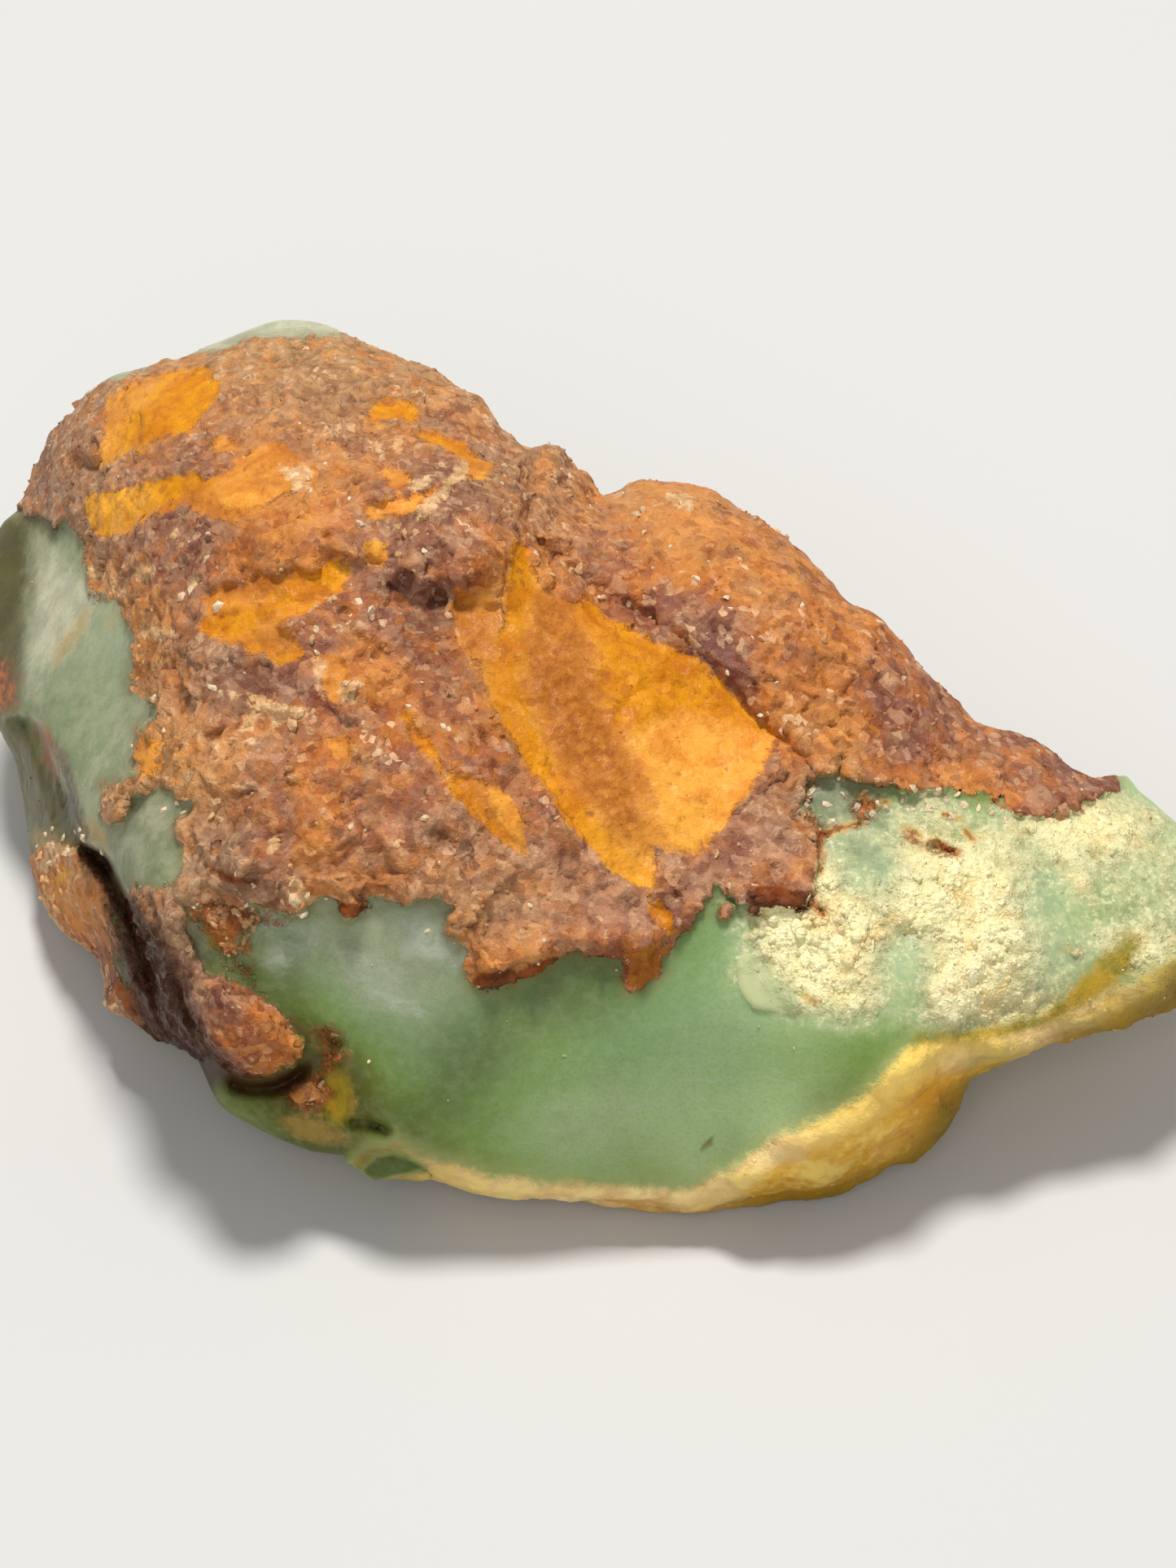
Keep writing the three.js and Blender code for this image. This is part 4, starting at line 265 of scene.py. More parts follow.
YELLOW = [[[-23.89, 13.52], [-22.73, 13.9], [-21.27, 14.25], [-19.8, 14.56], [-18.41, 14.71], [-17.76, 14.4], [-18.68, 13.86], [-19.41, 13.48],
    [-20.22, 12.82], [-21.07, 12.47], [-21.92, 11.86], [-23.08, 11.66], [-23.58, 12.28]], [[-19.95, 19.3], [-18.26, 19.72], [-17.45, 19.11], [-17.53,
    18.34], [-18.22, 17.41], [-18.76, 16.87], [-20.15, 16.25], [-21.5, 15.87], [-22.08, 16.14], [-21.69, 17.1], [-20.92, 17.95]], [[-18.76, 7.38],
    [-17.76, 7.77], [-16.29, 8.31], [-15.13, 8.54], [-14.44, 9.31], [-13.52, 10.01], [-12.24, 10.47], [-11.36, 10.16], [-11.16, 9.31], [-12.24, 8.54],
    [-14.29, 8.08], [-15.6, 7.77], [-16.45, 6.92], [-17.76, 7.0], [-18.61, 7.0]], [[-16.29, 6.3], [-15.44, 6.69], [-13.52, 6.07], [-13.75, 5.22],
    [-15.44, 5.53]], [[-10.51, 17.56], [-9.74, 18.1], [-8.58, 18.14], [-7.96, 17.68], [-8.27, 17.18], [-8.89, 17.41], [-9.74, 17.41]], [[-7.96, 16.72],
    [-6.84, 16.56], [-5.88, 16.1], [-5.3, 15.48], [-5.8, 15.1], [-6.42, 15.71], [-7.27, 16.1]], [[-3.53, 11.55], [-2.87, 11.39], [-2.72, 10.16],
    [-2.99, 8.62], [-3.34, 6.69], [-3.3, 4.84], [-2.72, 2.76], [-1.64, 0.71], [-0.33, -1.02], [1.06, -2.76], [2.83, -4.26], [3.22, -4.88], [2.87,
    -5.19], [1.14, -4.18], [-0.71, -2.33], [-2.33, -0.17], [-3.34, 1.91], [-4.26, 3.68], [-4.65, 5.3], [-4.18, 6.69], [-3.88, 8.04], [-3.72, 9.54]],
    [[-0.4, 8.73], [0.37, 8.81], [1.14, 7.96], [2.99, 7.0], [4.53, 6.3], [6.07, 5.15], [7.81, 3.41], [8.77, 2.56], [7.04, 3.07], [5.3, 3.61], [4.15,
    3.53], [2.99, 3.22], [2.45, 2.64], [1.6, 2.83], [0.98, 3.8], [0.75, 5.15], [0.6, 6.69], [-0.02, 7.65]], [[-8.97, 3.3], [-8.58, 3.37], [-8.12,
    2.83], [-7.31, 1.91], [-5.96, -0.06], [-4.72, -1.79], [-3.95, -2.64], [-4.45, -2.95], [-5.49, -1.6], [-6.34, -0.17], [-7.19, 0.83], [-8.31, 2.06]],
    [[2.99, -5.57], [3.53, -5.49], [3.99, -6.03], [4.15, -6.88], [3.84, -7.19], [3.3, -6.42]]]
LIGHTS = [[[1.83, 3.91], [2.99, 4.38], [4.15, 3.91], [5.38, 3.53], [6.65, 3.14], [7.81, 3.3], [8.89, 2.37], [8.7, 1.37], [8.39, 0.71], [7.69, -0.44],
    [7.04, -1.41], [6.46, -2.18], [5.53, -3.03], [4.76, -3.41], [3.91, -3.18], [3.45, -2.18], [2.99, -0.83], [2.37, 1.1], [1.91, 2.64]], [[-10.31,
    13.55], [-8.58, 13.82], [-7.23, 14.48], [-6.92, 14.13], [-8.0, 13.05], [-9.35, 12.78]], [[-12.44, 16.14], [-11.28, 16.52], [-10.43, 15.87], [-9.74,
    14.98], [-10.89, 14.4], [-12.05, 14.79]], [[-10.58, 12.47], [-9.74, 12.63], [-8.97, 12.09], [-9.04, 10.93], [-9.89, 10.55], [-10.51, 11.39]],
    [[-8.77, 17.49], [-8.04, 17.87], [-7.81, 17.1], [-8.39, 16.52], [-8.97, 16.33]], [[-6.27, 14.4], [-5.11, 14.79], [-4.49, 14.98], [-4.8, 14.21],
    [-5.88, 13.79]], [[-17.91, 8.54], [-16.87, 8.81], [-15.6, 8.62], [-16.29, 8.23], [-17.45, 7.92]], [[-5.03, 0.06], [-3.72, -0.56], [-3.1, -1.56],
    [-2.95, -2.95], [-4.03, -2.18], [-4.72, -1.1]], [[-17.76, 13.86], [-16.68, 14.33], [-15.6, 14.09], [-15.29, 13.48], [-16.29, 12.94], [-17.53,
    12.78]]]
BROWNS = [[[-17.99, 9.54], [-17.22, 9.85], [-16.29, 9.7], [-15.6, 10.31], [-14.67, 10.08], [-13.9, 10.55], [-12.9, 10.39], [-12.28, 10.85], [-11.36,
    10.62], [-11.66, 10.08], [-12.74, 9.93], [-13.9, 9.62], [-14.83, 9.16], [-15.83, 8.93], [-16.91, 8.77], [-17.99, 8.77]], [[-2.53, 8.81], [-0.87,
    8.43], [-0.02, 7.08], [0.13, 5.15], [0.52, 3.61], [1.14, 2.45], [1.91, 0.91], [2.53, -1.02], [3.22, -2.76], [3.45, -3.26], [2.83, -3.34], [1.6,
    -2.56], [0.06, -0.83], [-1.25, 0.98], [-2.33, 3.03], [-2.87, 5.07], [-2.8, 7.08]], [[5.11, 3.03], [6.46, 3.3], [7.62, 3.45], [8.77, 2.53], [7.69,
    1.91], [6.27, 1.45], [5.76, 2.14]], [[1.68, -7.81], [2.99, -7.5], [4.07, -7.58], [3.95, -8.43], [3.45, -9.35], [2.6, -10.12], [2.06, -10.51],
    [1.83, -9.35]], [[-25.31, -4.11], [-24.7, -3.8], [-24.31, -4.26], [-24.62, -4.88], [-25.16, -4.72]], [[-24.16, -5.11], [-23.62, -4.88], [-23.23,
    -5.65], [-23.39, -6.57], [-23.85, -6.34]], [[-16.75, 6.69], [-15.6, 7.27], [-14.36, 7.15], [-13.13, 6.69], [-13.28, 5.73], [-14.56, 5.15], [-15.6,
    5.53], [-16.29, 6.07]]]
STAINS = [[[-19.95, -4.69], [-18.61, -5.07], [-16.68, -5.46], [-15.13, -6.03], [-14.56, -6.61], [-15.91, -7.19], [-16.29, -8.16], [-15.6, -8.93],
    [-16.1, -9.7], [-17.06, -8.73], [-17.76, -7.77], [-18.61, -6.42], [-19.57, -5.46]], [[-13.01, -11.51], [-12.24, -11.51], [-11.36, -12.36], [-11.59,
    -13.36], [-12.36, -13.82], [-12.28, -14.71], [-13.21, -15.37], [-14.36, -15.44], [-14.56, -14.71], [-13.52, -14.13], [-12.9, -13.36], [-12.74,
    -12.59]], [[-26.24, -3.26], [-24.97, -2.76], [-24.0, -2.95], [-23.43, -3.72], [-22.65, -5.26], [-21.88, -7.19], [-21.61, -8.54], [-22.46, -8.35],
    [-23.23, -7.77], [-24.2, -7.58], [-25.08, -7.0], [-25.7, -6.23], [-26.12, -4.88]], [[-25.7, -6.42], [-24.2, -7.65], [-23.04, -8.04], [-22.46,
    -8.73], [-21.88, -9.7], [-21.11, -11.05], [-19.95, -12.4], [-20.53, -12.82], [-22.08, -11.36], [-23.31, -10.85], [-23.7, -8.93], [-24.77, -7.58]],
    [[-23.81, 10.16], [-22.92, 9.7], [-22.46, 8.62], [-23.23, 8.81]], [[12.44, -0.83], [13.48, -0.64], [13.86, -1.41], [12.82, -1.72]], [[10.12, 0.13],
    [10.62, -0.06], [10.7, -1.41], [11.47, -2.37], [10.7, -3.14], [10.12, -2.56], [10.24, -1.41]], [[14.94, -2.26], [16.48, -2.56], [17.72, -3.14],
    [17.49, -3.57], [16.1, -3.26], [15.02, -2.8]]]
STREAKS = [[[5.11, -17.91], [5.38, -17.02], [6.23, -16.48], [6.42, -16.68], [5.76, -17.37], [5.38, -17.99]], [[10.7, -10.12], [11.01, -10.04], [11.09,
    -10.35], [10.78, -10.43]], [[8.7, -16.91], [9.16, -16.75], [9.47, -17.06], [9.08, -17.29], [8.77, -17.22]], [[23.04, -7.89], [23.5, -7.89], [23.5,
    -8.27], [23.12, -8.27]], [[-1.72, -12.9], [-1.25, -12.82], [-1.18, -13.21], [-1.64, -13.28]]]
LIPLINE = [[-27.67, 3.14], [-27.09, 3.37], [-26.39, 3.22], [-25.93, 2.83], [-25.55, 1.68], [-25.16, 0.71], [-24.77, -0.06], [-24.5, -0.83], [-24.39,
    -1.72], [-23.85, -2.56], [-23.31, -2.95]]
FLAKE = [[-11.51, -16.83], [-8.12, -17.14], [-7.81, -18.3], [-9.04, -18.57], [-10.2, -18.76], [-10.97, -18.45], [-11.43, -17.76]]
TANS = [[[-16.29, 4.38], [-15.83, 4.18], [-15.44, 3.53], [-15.67, 2.83], [-16.18, 2.37], [-16.6, 2.56], [-16.14, 3.03], [-16.06, 3.68]], [[-14.94,
    3.68], [-13.98, 3.88], [-13.05, 3.37], [-13.36, 2.83], [-14.29, 2.76], [-15.06, 3.07]], [[-17.99, 4.69], [-17.26, 4.53], [-16.29, 4.38], [-16.45,
    3.95], [-17.53, 4.11]], [[-21.54, 7.54], [-20.69, 7.73], [-20.15, 7.23], [-20.61, 6.69], [-21.3, 6.96]], [[-11.86, 4.57], [-11.28, 4.95], [-10.66,
    4.38], [-11.12, 3.68], [-11.74, 3.91]], [[-14.25, -4.18], [-13.59, -4.42], [-13.21, -5.19], [-12.44, -5.42], [-13.28, -5.8], [-14.21, -5.65]],
    [[-18.03, -0.83], [-17.6, -0.64], [-17.33, -1.41], [-17.76, -2.02]], [[-15.13, -2.56], [-14.56, -2.33], [-14.52, -3.18], [-15.02, -3.34]],
    [[-14.17, 15.17], [-13.28, 15.48], [-12.9, 14.59], [-13.21, 13.94], [-13.98, 14.17]], [[-18.22, -3.41], [-17.76, -3.8], [-17.22, -4.49], [-17.76,
    -4.57], [-18.3, -3.95]], [[-13.55, 19.3], [-12.9, 19.41], [-12.36, 19.88], [-12.2, 19.57], [-12.74, 19.15], [-13.36, 19.03]], [[-12.05, 7.46],
    [-11.36, 7.77], [-10.97, 7.38], [-11.51, 6.84]], [[-12.63, 8.81], [-11.97, 9.08], [-11.66, 8.7], [-12.36, 8.39]], [[-10.39, 16.33], [-9.54, 16.02],
    [-8.93, 16.45], [-8.89, 15.87], [-9.66, 15.56], [-10.35, 15.79]], [[-8.58, 14.4], [-7.42, 14.71], [-7.5, 13.94], [-8.43, 13.79]], [[-24.31, 10.24],
    [-23.54, 10.39], [-22.62, 10.24], [-22.85, 9.7], [-23.62, 9.66], [-24.08, 9.85]], [[-21.5, 10.16], [-20.84, 10.55], [-20.34, 10.08], [-20.76,
    9.54], [-21.38, 9.62]], [[-19.18, 9.7], [-18.61, 10.16], [-18.22, 9.7], [-18.61, 9.0], [-19.07, 9.08]], [[-26.16, -5.19], [-25.85, -5.26], [-25.01,
    -6.73], [-23.77, -7.58], [-22.85, -8.97], [-22.69, -10.35], [-21.69, -11.12], [-21.84, -11.43], [-23.0, -10.66], [-23.23, -9.27], [-24.08, -7.96],
    [-25.31, -7.11], [-26.16, -5.88]], [[-26.16, -3.41], [-25.55, -3.1], [-25.08, -3.57], [-25.55, -4.18], [-26.09, -4.3]], [[1.75, -2.49], [2.06,
    -2.33], [2.37, -2.8], [2.06, -3.18]], [[-6.42, 2.26], [-6.03, 2.45], [-5.88, 1.83], [-6.27, 1.6]], [[13.25, 2.26], [13.79, 2.45], [14.09, 1.87],
    [13.63, 1.6]], [[0.83, 15.56], [1.45, 15.71], [1.83, 15.33], [1.29, 15.02]], [[3.76, 14.02], [4.92, 13.79], [5.3, 13.17], [4.45, 13.01], [3.68,
    13.48]], [[-26.16, -1.95], [-25.16, -1.56], [-24.0, -1.72], [-23.23, -2.56], [-23.54, -3.18], [-24.62, -3.49], [-25.55, -3.34], [-26.16, -2.72]],
    [[-14.75, 15.25], [-13.9, 15.1], [-13.36, 14.71], [-13.05, 14.02], [-13.28, 13.55], [-13.9, 13.86], [-14.29, 14.33], [-14.67, 14.63]], [[-8.27,
    12.47], [-7.96, 13.48], [-7.19, 14.02], [-6.57, 14.63], [-6.03, 15.64], [-5.57, 15.33], [-5.8, 14.56], [-6.42, 13.86], [-7.04, 13.17], [-7.65,
    12.47], [-8.12, 11.86]], [[-13.05, 6.0], [-12.44, 6.15], [-12.28, 5.46], [-12.44, 4.69], [-12.13, 3.91], [-12.59, 3.84], [-12.98, 4.53], [-13.21,
    5.3]], [[-16.14, 4.38], [-15.44, 4.3], [-14.75, 3.91], [-13.9, 3.76], [-13.21, 3.45], [-13.05, 2.99], [-13.75, 3.07], [-14.44, 3.07], [-14.75,
    2.68], [-15.29, 3.22], [-15.98, 3.68]], [[-11.9, 4.53], [-11.05, 4.92], [-10.51, 4.99], [-10.89, 4.3], [-11.28, 3.68], [-11.74, 3.76]], [[-21.3,
    7.69], [-20.53, 7.54], [-19.76, 7.54], [-19.45, 7.0], [-20.15, 6.69], [-20.84, 6.77]], [[-23.16, 10.01], [-22.54, 9.93], [-22.08, 9.54], [-21.77,
    8.93], [-22.38, 9.0], [-22.85, 9.31]], [[-18.22, 2.45], [-17.76, 2.22], [-17.29, 1.75], [-17.53, 1.52], [-18.07, 1.91]], [[-12.74, -0.64], [-12.36,
    -1.02], [-12.13, -1.56], [-12.44, -1.72], [-12.74, -1.25]]]
# pale areas: a translucent pale band along the top edge, and painted highlights on the left facet
WHITES_AND_HIGHLIGHTS = [[[-19.57, 20.34], [-18.61, 20.96], [-17.06, 21.73], [-15.13, 22.35], [-13.21, 22.35], [-11.28, 21.73], [-9.74, 20.76], [-10.89, 20.73],
    [-12.44, 21.19], [-14.36, 21.11], [-16.29, 20.96], [-17.83, 20.57]], [[-24.62, 18.18], [-23.62, 18.88], [-22.46, 19.34], [-21.3, 19.72], [-20.53,
    20.03], [-20.92, 19.49], [-22.08, 19.11], [-23.23, 18.64], [-24.16, 18.03]], [[-26.09, 11.24], [-25.16, 11.43], [-24.39, 10.16], [-23.5, 9.66],
    [-22.96, 9.12], [-23.5, 8.5], [-23.62, 7.58], [-24.39, 6.81], [-25.28, 5.65], [-25.66, 5.15], [-25.93, 3.99], [-26.43, 3.99], [-26.7, 5.26],
    [-26.43, 7.35], [-26.32, 9.12]], [[-26.2, 12.09], [-25.93, 11.93], [-26.12, 10.16], [-26.28, 7.85], [-26.43, 5.53], [-26.59, 3.91], [-26.82, 3.99],
    [-26.66, 6.3], [-26.51, 9.0], [-26.39, 10.93]], [[-26.39, 12.17], [-26.12, 12.17], [-25.97, 10.16], [-25.93, 7.85], [-26.05, 5.53], [-26.24, 3.91],
    [-26.47, 3.91], [-26.28, 5.92], [-26.2, 8.23], [-26.28, 10.16]]]
OCHSTREAK = [[[-23.54, 8.23], [-23.7, 7.46], [-24.31, 6.69], [-24.85, 5.84], [-25.47, 5.22], [-25.82, 5.42], [-25.55, 6.07], [-25.08, 6.84], [-24.47,
    7.62], [-23.93, 8.31]], [[-22.92, 8.43], [-22.23, 8.31], [-22.08, 7.38], [-22.46, 7.08], [-22.85, 7.65]], [[-14.83, -15.98], [-13.9, -15.44],
    [-12.63, -15.83], [-11.36, -16.68], [-10.97, -17.14], [-12.44, -17.22], [-13.98, -16.83]], [[-26.7, -2.18], [-25.55, -1.87], [-24.62, -2.56],
    [-24.31, -3.41], [-25.16, -3.57], [-26.09, -3.18]], [[22.19, -7.58], [22.81, -7.42], [23.35, -7.89], [23.19, -8.35], [22.5, -8.27]], [[23.5,
    -5.26], [24.12, -5.42], [24.2, -6.03], [23.73, -6.11]], [[-24.31, -1.64], [-23.54, -1.48], [-22.85, -2.1], [-22.62, -2.95], [-23.23, -3.1], [-24.0,
    -2.56]]]
# dark olive areas: olive colour, darkened partly as painted shade on the left side, the lip's fold and the ledge
OLIVES_AND_SHADE = [[[-30.17, 14.02], [-27.09, 12.86], [-26.39, 11.9], [-26.28, 10.16], [-26.47, 7.85], [-26.7, 5.53], [-26.86, 3.91], [-27.32, 3.37], [-30.17,
    3.22]], [[-27.86, 3.22], [-26.47, 3.22], [-25.85, 1.99], [-25.31, 0.71], [-24.85, -0.44], [-24.31, -1.48], [-23.85, -2.56], [-24.0, -3.1], [-25.08,
    -3.03], [-26.16, -2.18], [-27.17, -0.25]], [[-22.92, -5.49], [-22.08, -6.03], [-21.61, -7.89], [-21.46, -9.7], [-21.92, -10.04], [-22.54, -8.43],
    [-23.0, -6.57]], [[-27.28, 13.17], [-25.93, 13.32], [-24.47, 12.47], [-24.62, 11.63], [-25.93, 11.7], [-26.7, 11.9]]]
# dark red-brown areas: rust and a broken face on the wing, and shade painted dark along the crack by the lip and under
# the lump
RUSTS_AND_SHADES = [[[-23.85, -2.8], [-23.23, -3.1], [-22.69, -3.72], [-22.19, -4.72], [-21.61, -6.03], [-21.07, -7.58], [-20.61, -9.27], [-20.3, -10.82],
    [-20.76, -10.82], [-21.23, -9.27], [-21.77, -7.65], [-22.38, -6.11], [-23.0, -4.95], [-23.7, -4.11]], [[-17.53, -13.59], [-16.29, -14.06], [-15.13,
    -14.06], [-13.98, -13.52], [-13.28, -12.98], [-13.05, -13.28], [-13.52, -14.06], [-14.36, -14.59], [-15.52, -14.75], [-16.6, -14.59], [-17.29,
    -14.13]], [[-20.84, -10.85], [-20.15, -11.51], [-18.99, -12.36], [-17.76, -12.98], [-16.45, -13.67], [-15.13, -13.75], [-15.13, -14.21], [-16.68,
    -14.21], [-18.22, -13.44], [-19.61, -12.82], [-20.53, -11.9]], [[7.42, -4.95], [8.77, -4.69], [10.7, -5.07], [11.01, -5.65], [10.12, -6.34], [9.16,
    -5.88], [7.85, -6.11]], [[10.85, -2.41], [11.32, -1.95], [12.24, -1.95], [13.25, -1.64], [13.01, -2.1], [11.86, -2.41], [11.16, -2.72]]]
BANDS = [[[25.66, -7.11], [26.05, -7.58], [25.58, -8.58], [24.58, -9.66], [23.5, -10.55], [22.27, -11.28], [20.34, -11.97], [18.22, -12.36], [16.48,
    -12.51], [15.4, -12.59], [15.71, -12.13], [18.03, -11.82], [20.03, -11.43], [21.73, -10.82], [22.85, -10.04], [23.93, -8.97], [24.89, -7.89]],
    [[-12.28, -13.82], [-11.82, -13.67], [-11.36, -14.29], [-11.28, -15.21], [-11.66, -15.91], [-12.13, -15.52], [-12.44, -14.67]], [[-18.14, -6.03],
    [-16.68, -6.34], [-17.06, -7.58], [-17.76, -7.58]]]
CALM = [[[-2.6, 14.02], [-0.87, 15.56], [6.84, 16.33], [14.56, 10.93], [26.12, 2.45], [25.74, -1.02], [20.73, -1.79], [14.94, -0.44], [10.31, 0.91],
    [8.77, 2.37], [5.69, 5.84], [1.83, 8.54], [-1.25, 10.55]], [[-7.81, -2.95], [-4.72, -2.18], [-0.87, -2.56], [2.22, -4.88], [6.84, -4.88], [6.46,
    -5.65], [4.34, -7.58], [1.45, -8.73], [-1.25, -8.54], [-4.72, -10.28], [-6.27, -9.12], [-7.42, -6.42]]]
# streaks where a sheen is painted on the green face
PAINTED_SHEENS = [[[-15.29, -8.5], [-14.36, -7.58], [-12.59, -6.73], [-12.36, -6.96], [-13.52, -7.89], [-14.67, -8.81]], [[-11.9, -8.19], [-10.43, -8.27],
    [-8.97, -8.73], [-9.04, -9.2], [-10.51, -9.04], [-11.74, -8.66]], [[-8.97, -6.42], [-7.81, -6.27], [-6.73, -7.11], [-5.73, -8.04], [-5.8, -8.66],
    [-7.04, -8.5], [-8.12, -8.04], [-8.89, -7.27]], [[-16.37, -6.34], [-15.13, -6.19], [-14.29, -6.57], [-15.06, -7.11], [-16.21, -6.96]], [[-11.28,
    -9.66], [-9.35, -9.97], [-7.81, -10.51], [-7.89, -10.74], [-9.51, -10.35], [-11.28, -9.97]]]
# areas where shade is painted dark brown: the ledge's outer side, beside and under the lump, and along the crack by the
# lip
SHADES = [[[-26.47, -5.73], [-25.55, -7.04], [-24.62, -8.58], [-23.93, -10.58], [-22.15, -11.59], [-20.15, -13.13], [-20.92, -14.52], [-24.0, -13.75],
    [-28.63, -8.73], [-28.63, -4.88]], [[-22.08, -5.26], [-21.07, -5.65], [-19.61, -8.35], [-18.61, -10.66], [-17.22, -12.98], [-15.83, -13.98],
    [-16.29, -14.44], [-18.22, -14.44], [-20.15, -13.21], [-21.46, -11.12], [-22.08, -8.73], [-22.54, -6.81]], [[-17.91, -13.28], [-16.29, -13.9],
    [-14.75, -13.82], [-13.59, -13.17], [-12.98, -12.67], [-12.59, -13.21], [-13.36, -14.36], [-15.13, -14.86], [-16.75, -14.75], [-17.76, -14.13]],
    [[-23.93, -2.95], [-23.31, -3.1], [-22.62, -3.72], [-22.0, -4.95], [-21.38, -6.34], [-20.76, -8.04], [-20.15, -10.2], [-19.84, -11.51], [-20.53,
    -11.51], [-21.23, -9.81], [-21.88, -7.89], [-22.54, -6.11], [-23.16, -4.8], [-23.85, -3.8]], [[-25.24, 2.14], [-24.93, 1.37], [-24.62, 0.44],
    [-24.31, -0.64], [-23.93, -1.72], [-23.62, -2.8], [-23.93, -2.95], [-24.31, -1.95], [-24.7, -0.94], [-24.97, 0.13], [-25.2, 1.14], [-25.43, 1.99]]]
RUSTWASH = [[[-26.24, 2.76], [-25.55, 2.53], [-25.01, 1.6], [-24.7, 0.44], [-25.31, 0.29], [-25.93, 1.29]], [[-29.4, 6.0], [-27.4, 5.69], [-27.09,
    4.76], [-27.24, 3.68], [-29.4, 3.14]], [[-18.22, -5.57], [-17.26, -5.49], [-16.29, -5.73], [-15.44, -6.23], [-15.6, -6.81], [-16.29, -6.81],
    [-16.87, -7.27], [-17.76, -6.81]], [[-13.21, -11.51], [-12.44, -11.51], [-11.66, -12.2], [-11.28, -12.98], [-11.9, -13.44], [-12.59, -13.21],
    [-12.98, -12.59]], [[-14.52, -14.75], [-14.21, -13.98], [-13.36, -13.67], [-12.59, -13.52], [-12.36, -14.29], [-12.13, -14.9], [-12.74, -15.52],
    [-13.75, -15.44]], [[10.08, -1.25], [10.7, -1.64], [11.16, -2.56], [11.01, -3.8], [10.7, -4.49], [11.16, -5.65], [10.78, -6.11], [10.31, -5.26],
    [10.55, -3.72]]]
CRACKS = [[[10.04, -1.41], [10.62, -2.1], [11.01, -2.56], [10.82, -3.34], [11.01, -4.18]], [[11.01, -2.49], [11.86, -2.1], [13.09, -1.79]], [[8.62,
    -4.72], [9.35, -4.95], [10.12, -5.65], [10.82, -5.76], [11.16, -6.19]], [[15.02, -2.1], [15.71, -2.41], [16.48, -2.72], [17.41, -3.34]], [[17.8,
    -2.18], [18.26, -2.64]], [[12.86, -0.44], [13.48, -1.02], [14.09, -0.83]], [[10.31, -10.08], [10.7, -10.31]], [[16.87, -1.41], [17.64, -1.72]]]
PALE = [[-22.1, 19.0, 0.6], [-24.4, 16.3, 0.6], [-25.9, 14.0, 0.5], [-6.3, 15.6, 0.3], [-3.2, 15.2, 0.7], [-4.7, 16.3, 0.5], [-15.1, 22.3, 1], [-18.6,
    21.3, 1], [-10.9, 21.5, 1], [-24.4, 10.5, 0.8], [-25.5, 8.6, 1], [-26.3, 6.3, 0.9], [-24.2, 5.5, 0.35], [-22.1, 2.4, 0.75], [-23.2, 0.1, 0.9],
    [-20.9, -2.9, 1], [-24.0, -1.8, 1], [-22.1, -1.4, 0.9], [-18.6, -7.2, 0.9], [-20.1, -5.6, 0.7], [-16.3, -8.7, 0.3], [-13.2, -7.2, 0.5], [-10.5,
    -8.7, 0.35], [-7.0, -6.8, 0.5], [-6.3, -13.0, 0], [-16.3, 6.3, 0.3], [-19.4, 4.0, 0.6], [-20.1, 7.8, 0.4], [-17.8, 1.7, 0.5], [-21.7, 10.2, 0.4],
    [-9.4, 4.4, 0], [4.9, 12.5, 0.2], [-0.9, 2.4, 0], [6.8, -11.0, 0], [0.7, -9.1, 0], [10.7, -17.6, 0], [26.1, -5.3, 0], [-24.8, -5.6, 0], [-19.4,
    -9.9, 0], [-14.4, -12.6, 0], [-11.7, -16.8, 0], [18.4, -5.3, 0.2], [8.0, -2.9, 0], [16.5, 1.7, 0], [22.3, 0.1, 0], [-0.9, -16.8, 0.2], [-26.7,
    -1.4, 0.1], [-11.7, 0.1, 0], [-14.4, -3.7, 0.3], [-12.4, 10.2, 0.1], [-6.3, 9.4, 0], [27.9, -1.4, 0.3], [14.6, -14.9, 0], [-27.1, 2.4, 0.3], [14.2,
    -0.8, 0.5], [13.0, -3.7, 0.3], [-24.2, 5.5, 0.7], [-23.2, 3.2, 0.6], [-22.1, 0.9, 0.7], [-22.8, 6.7, 0.5], [12.0, -0.1, 0.8], [10.1, -0.3, 0.8],
    [13.0, -1.0, 0.8], [-15.1, 20.6, 1], [-11.7, 20.2, 1], [-17.8, 20.2, 0.8], [-9.0, 19.4, 0.9], [-16.3, 17.9, 0.7], [-12.4, 17.1, 0.7], [-8.6, 17.1,
    0.6], [-7.0, 14.0, 0.4], [-10.9, 15.6, 0.4], [10.7, 3.6, 0], [8.8, 4.4, 0], [13.0, 2.4, 0], [14.6, 1.1, 0], [10.7, 1.7, 0], [8.4, 6.7, 0.1], [10.7,
    8.6, 0.2], [-4.7, -6.0, 0.6], [17.6, 0.5, 0], [-15.1, 11.2, 0.0], [-16.7, 10.8, 0.1], [-12.8, 11.6, 0.1]]
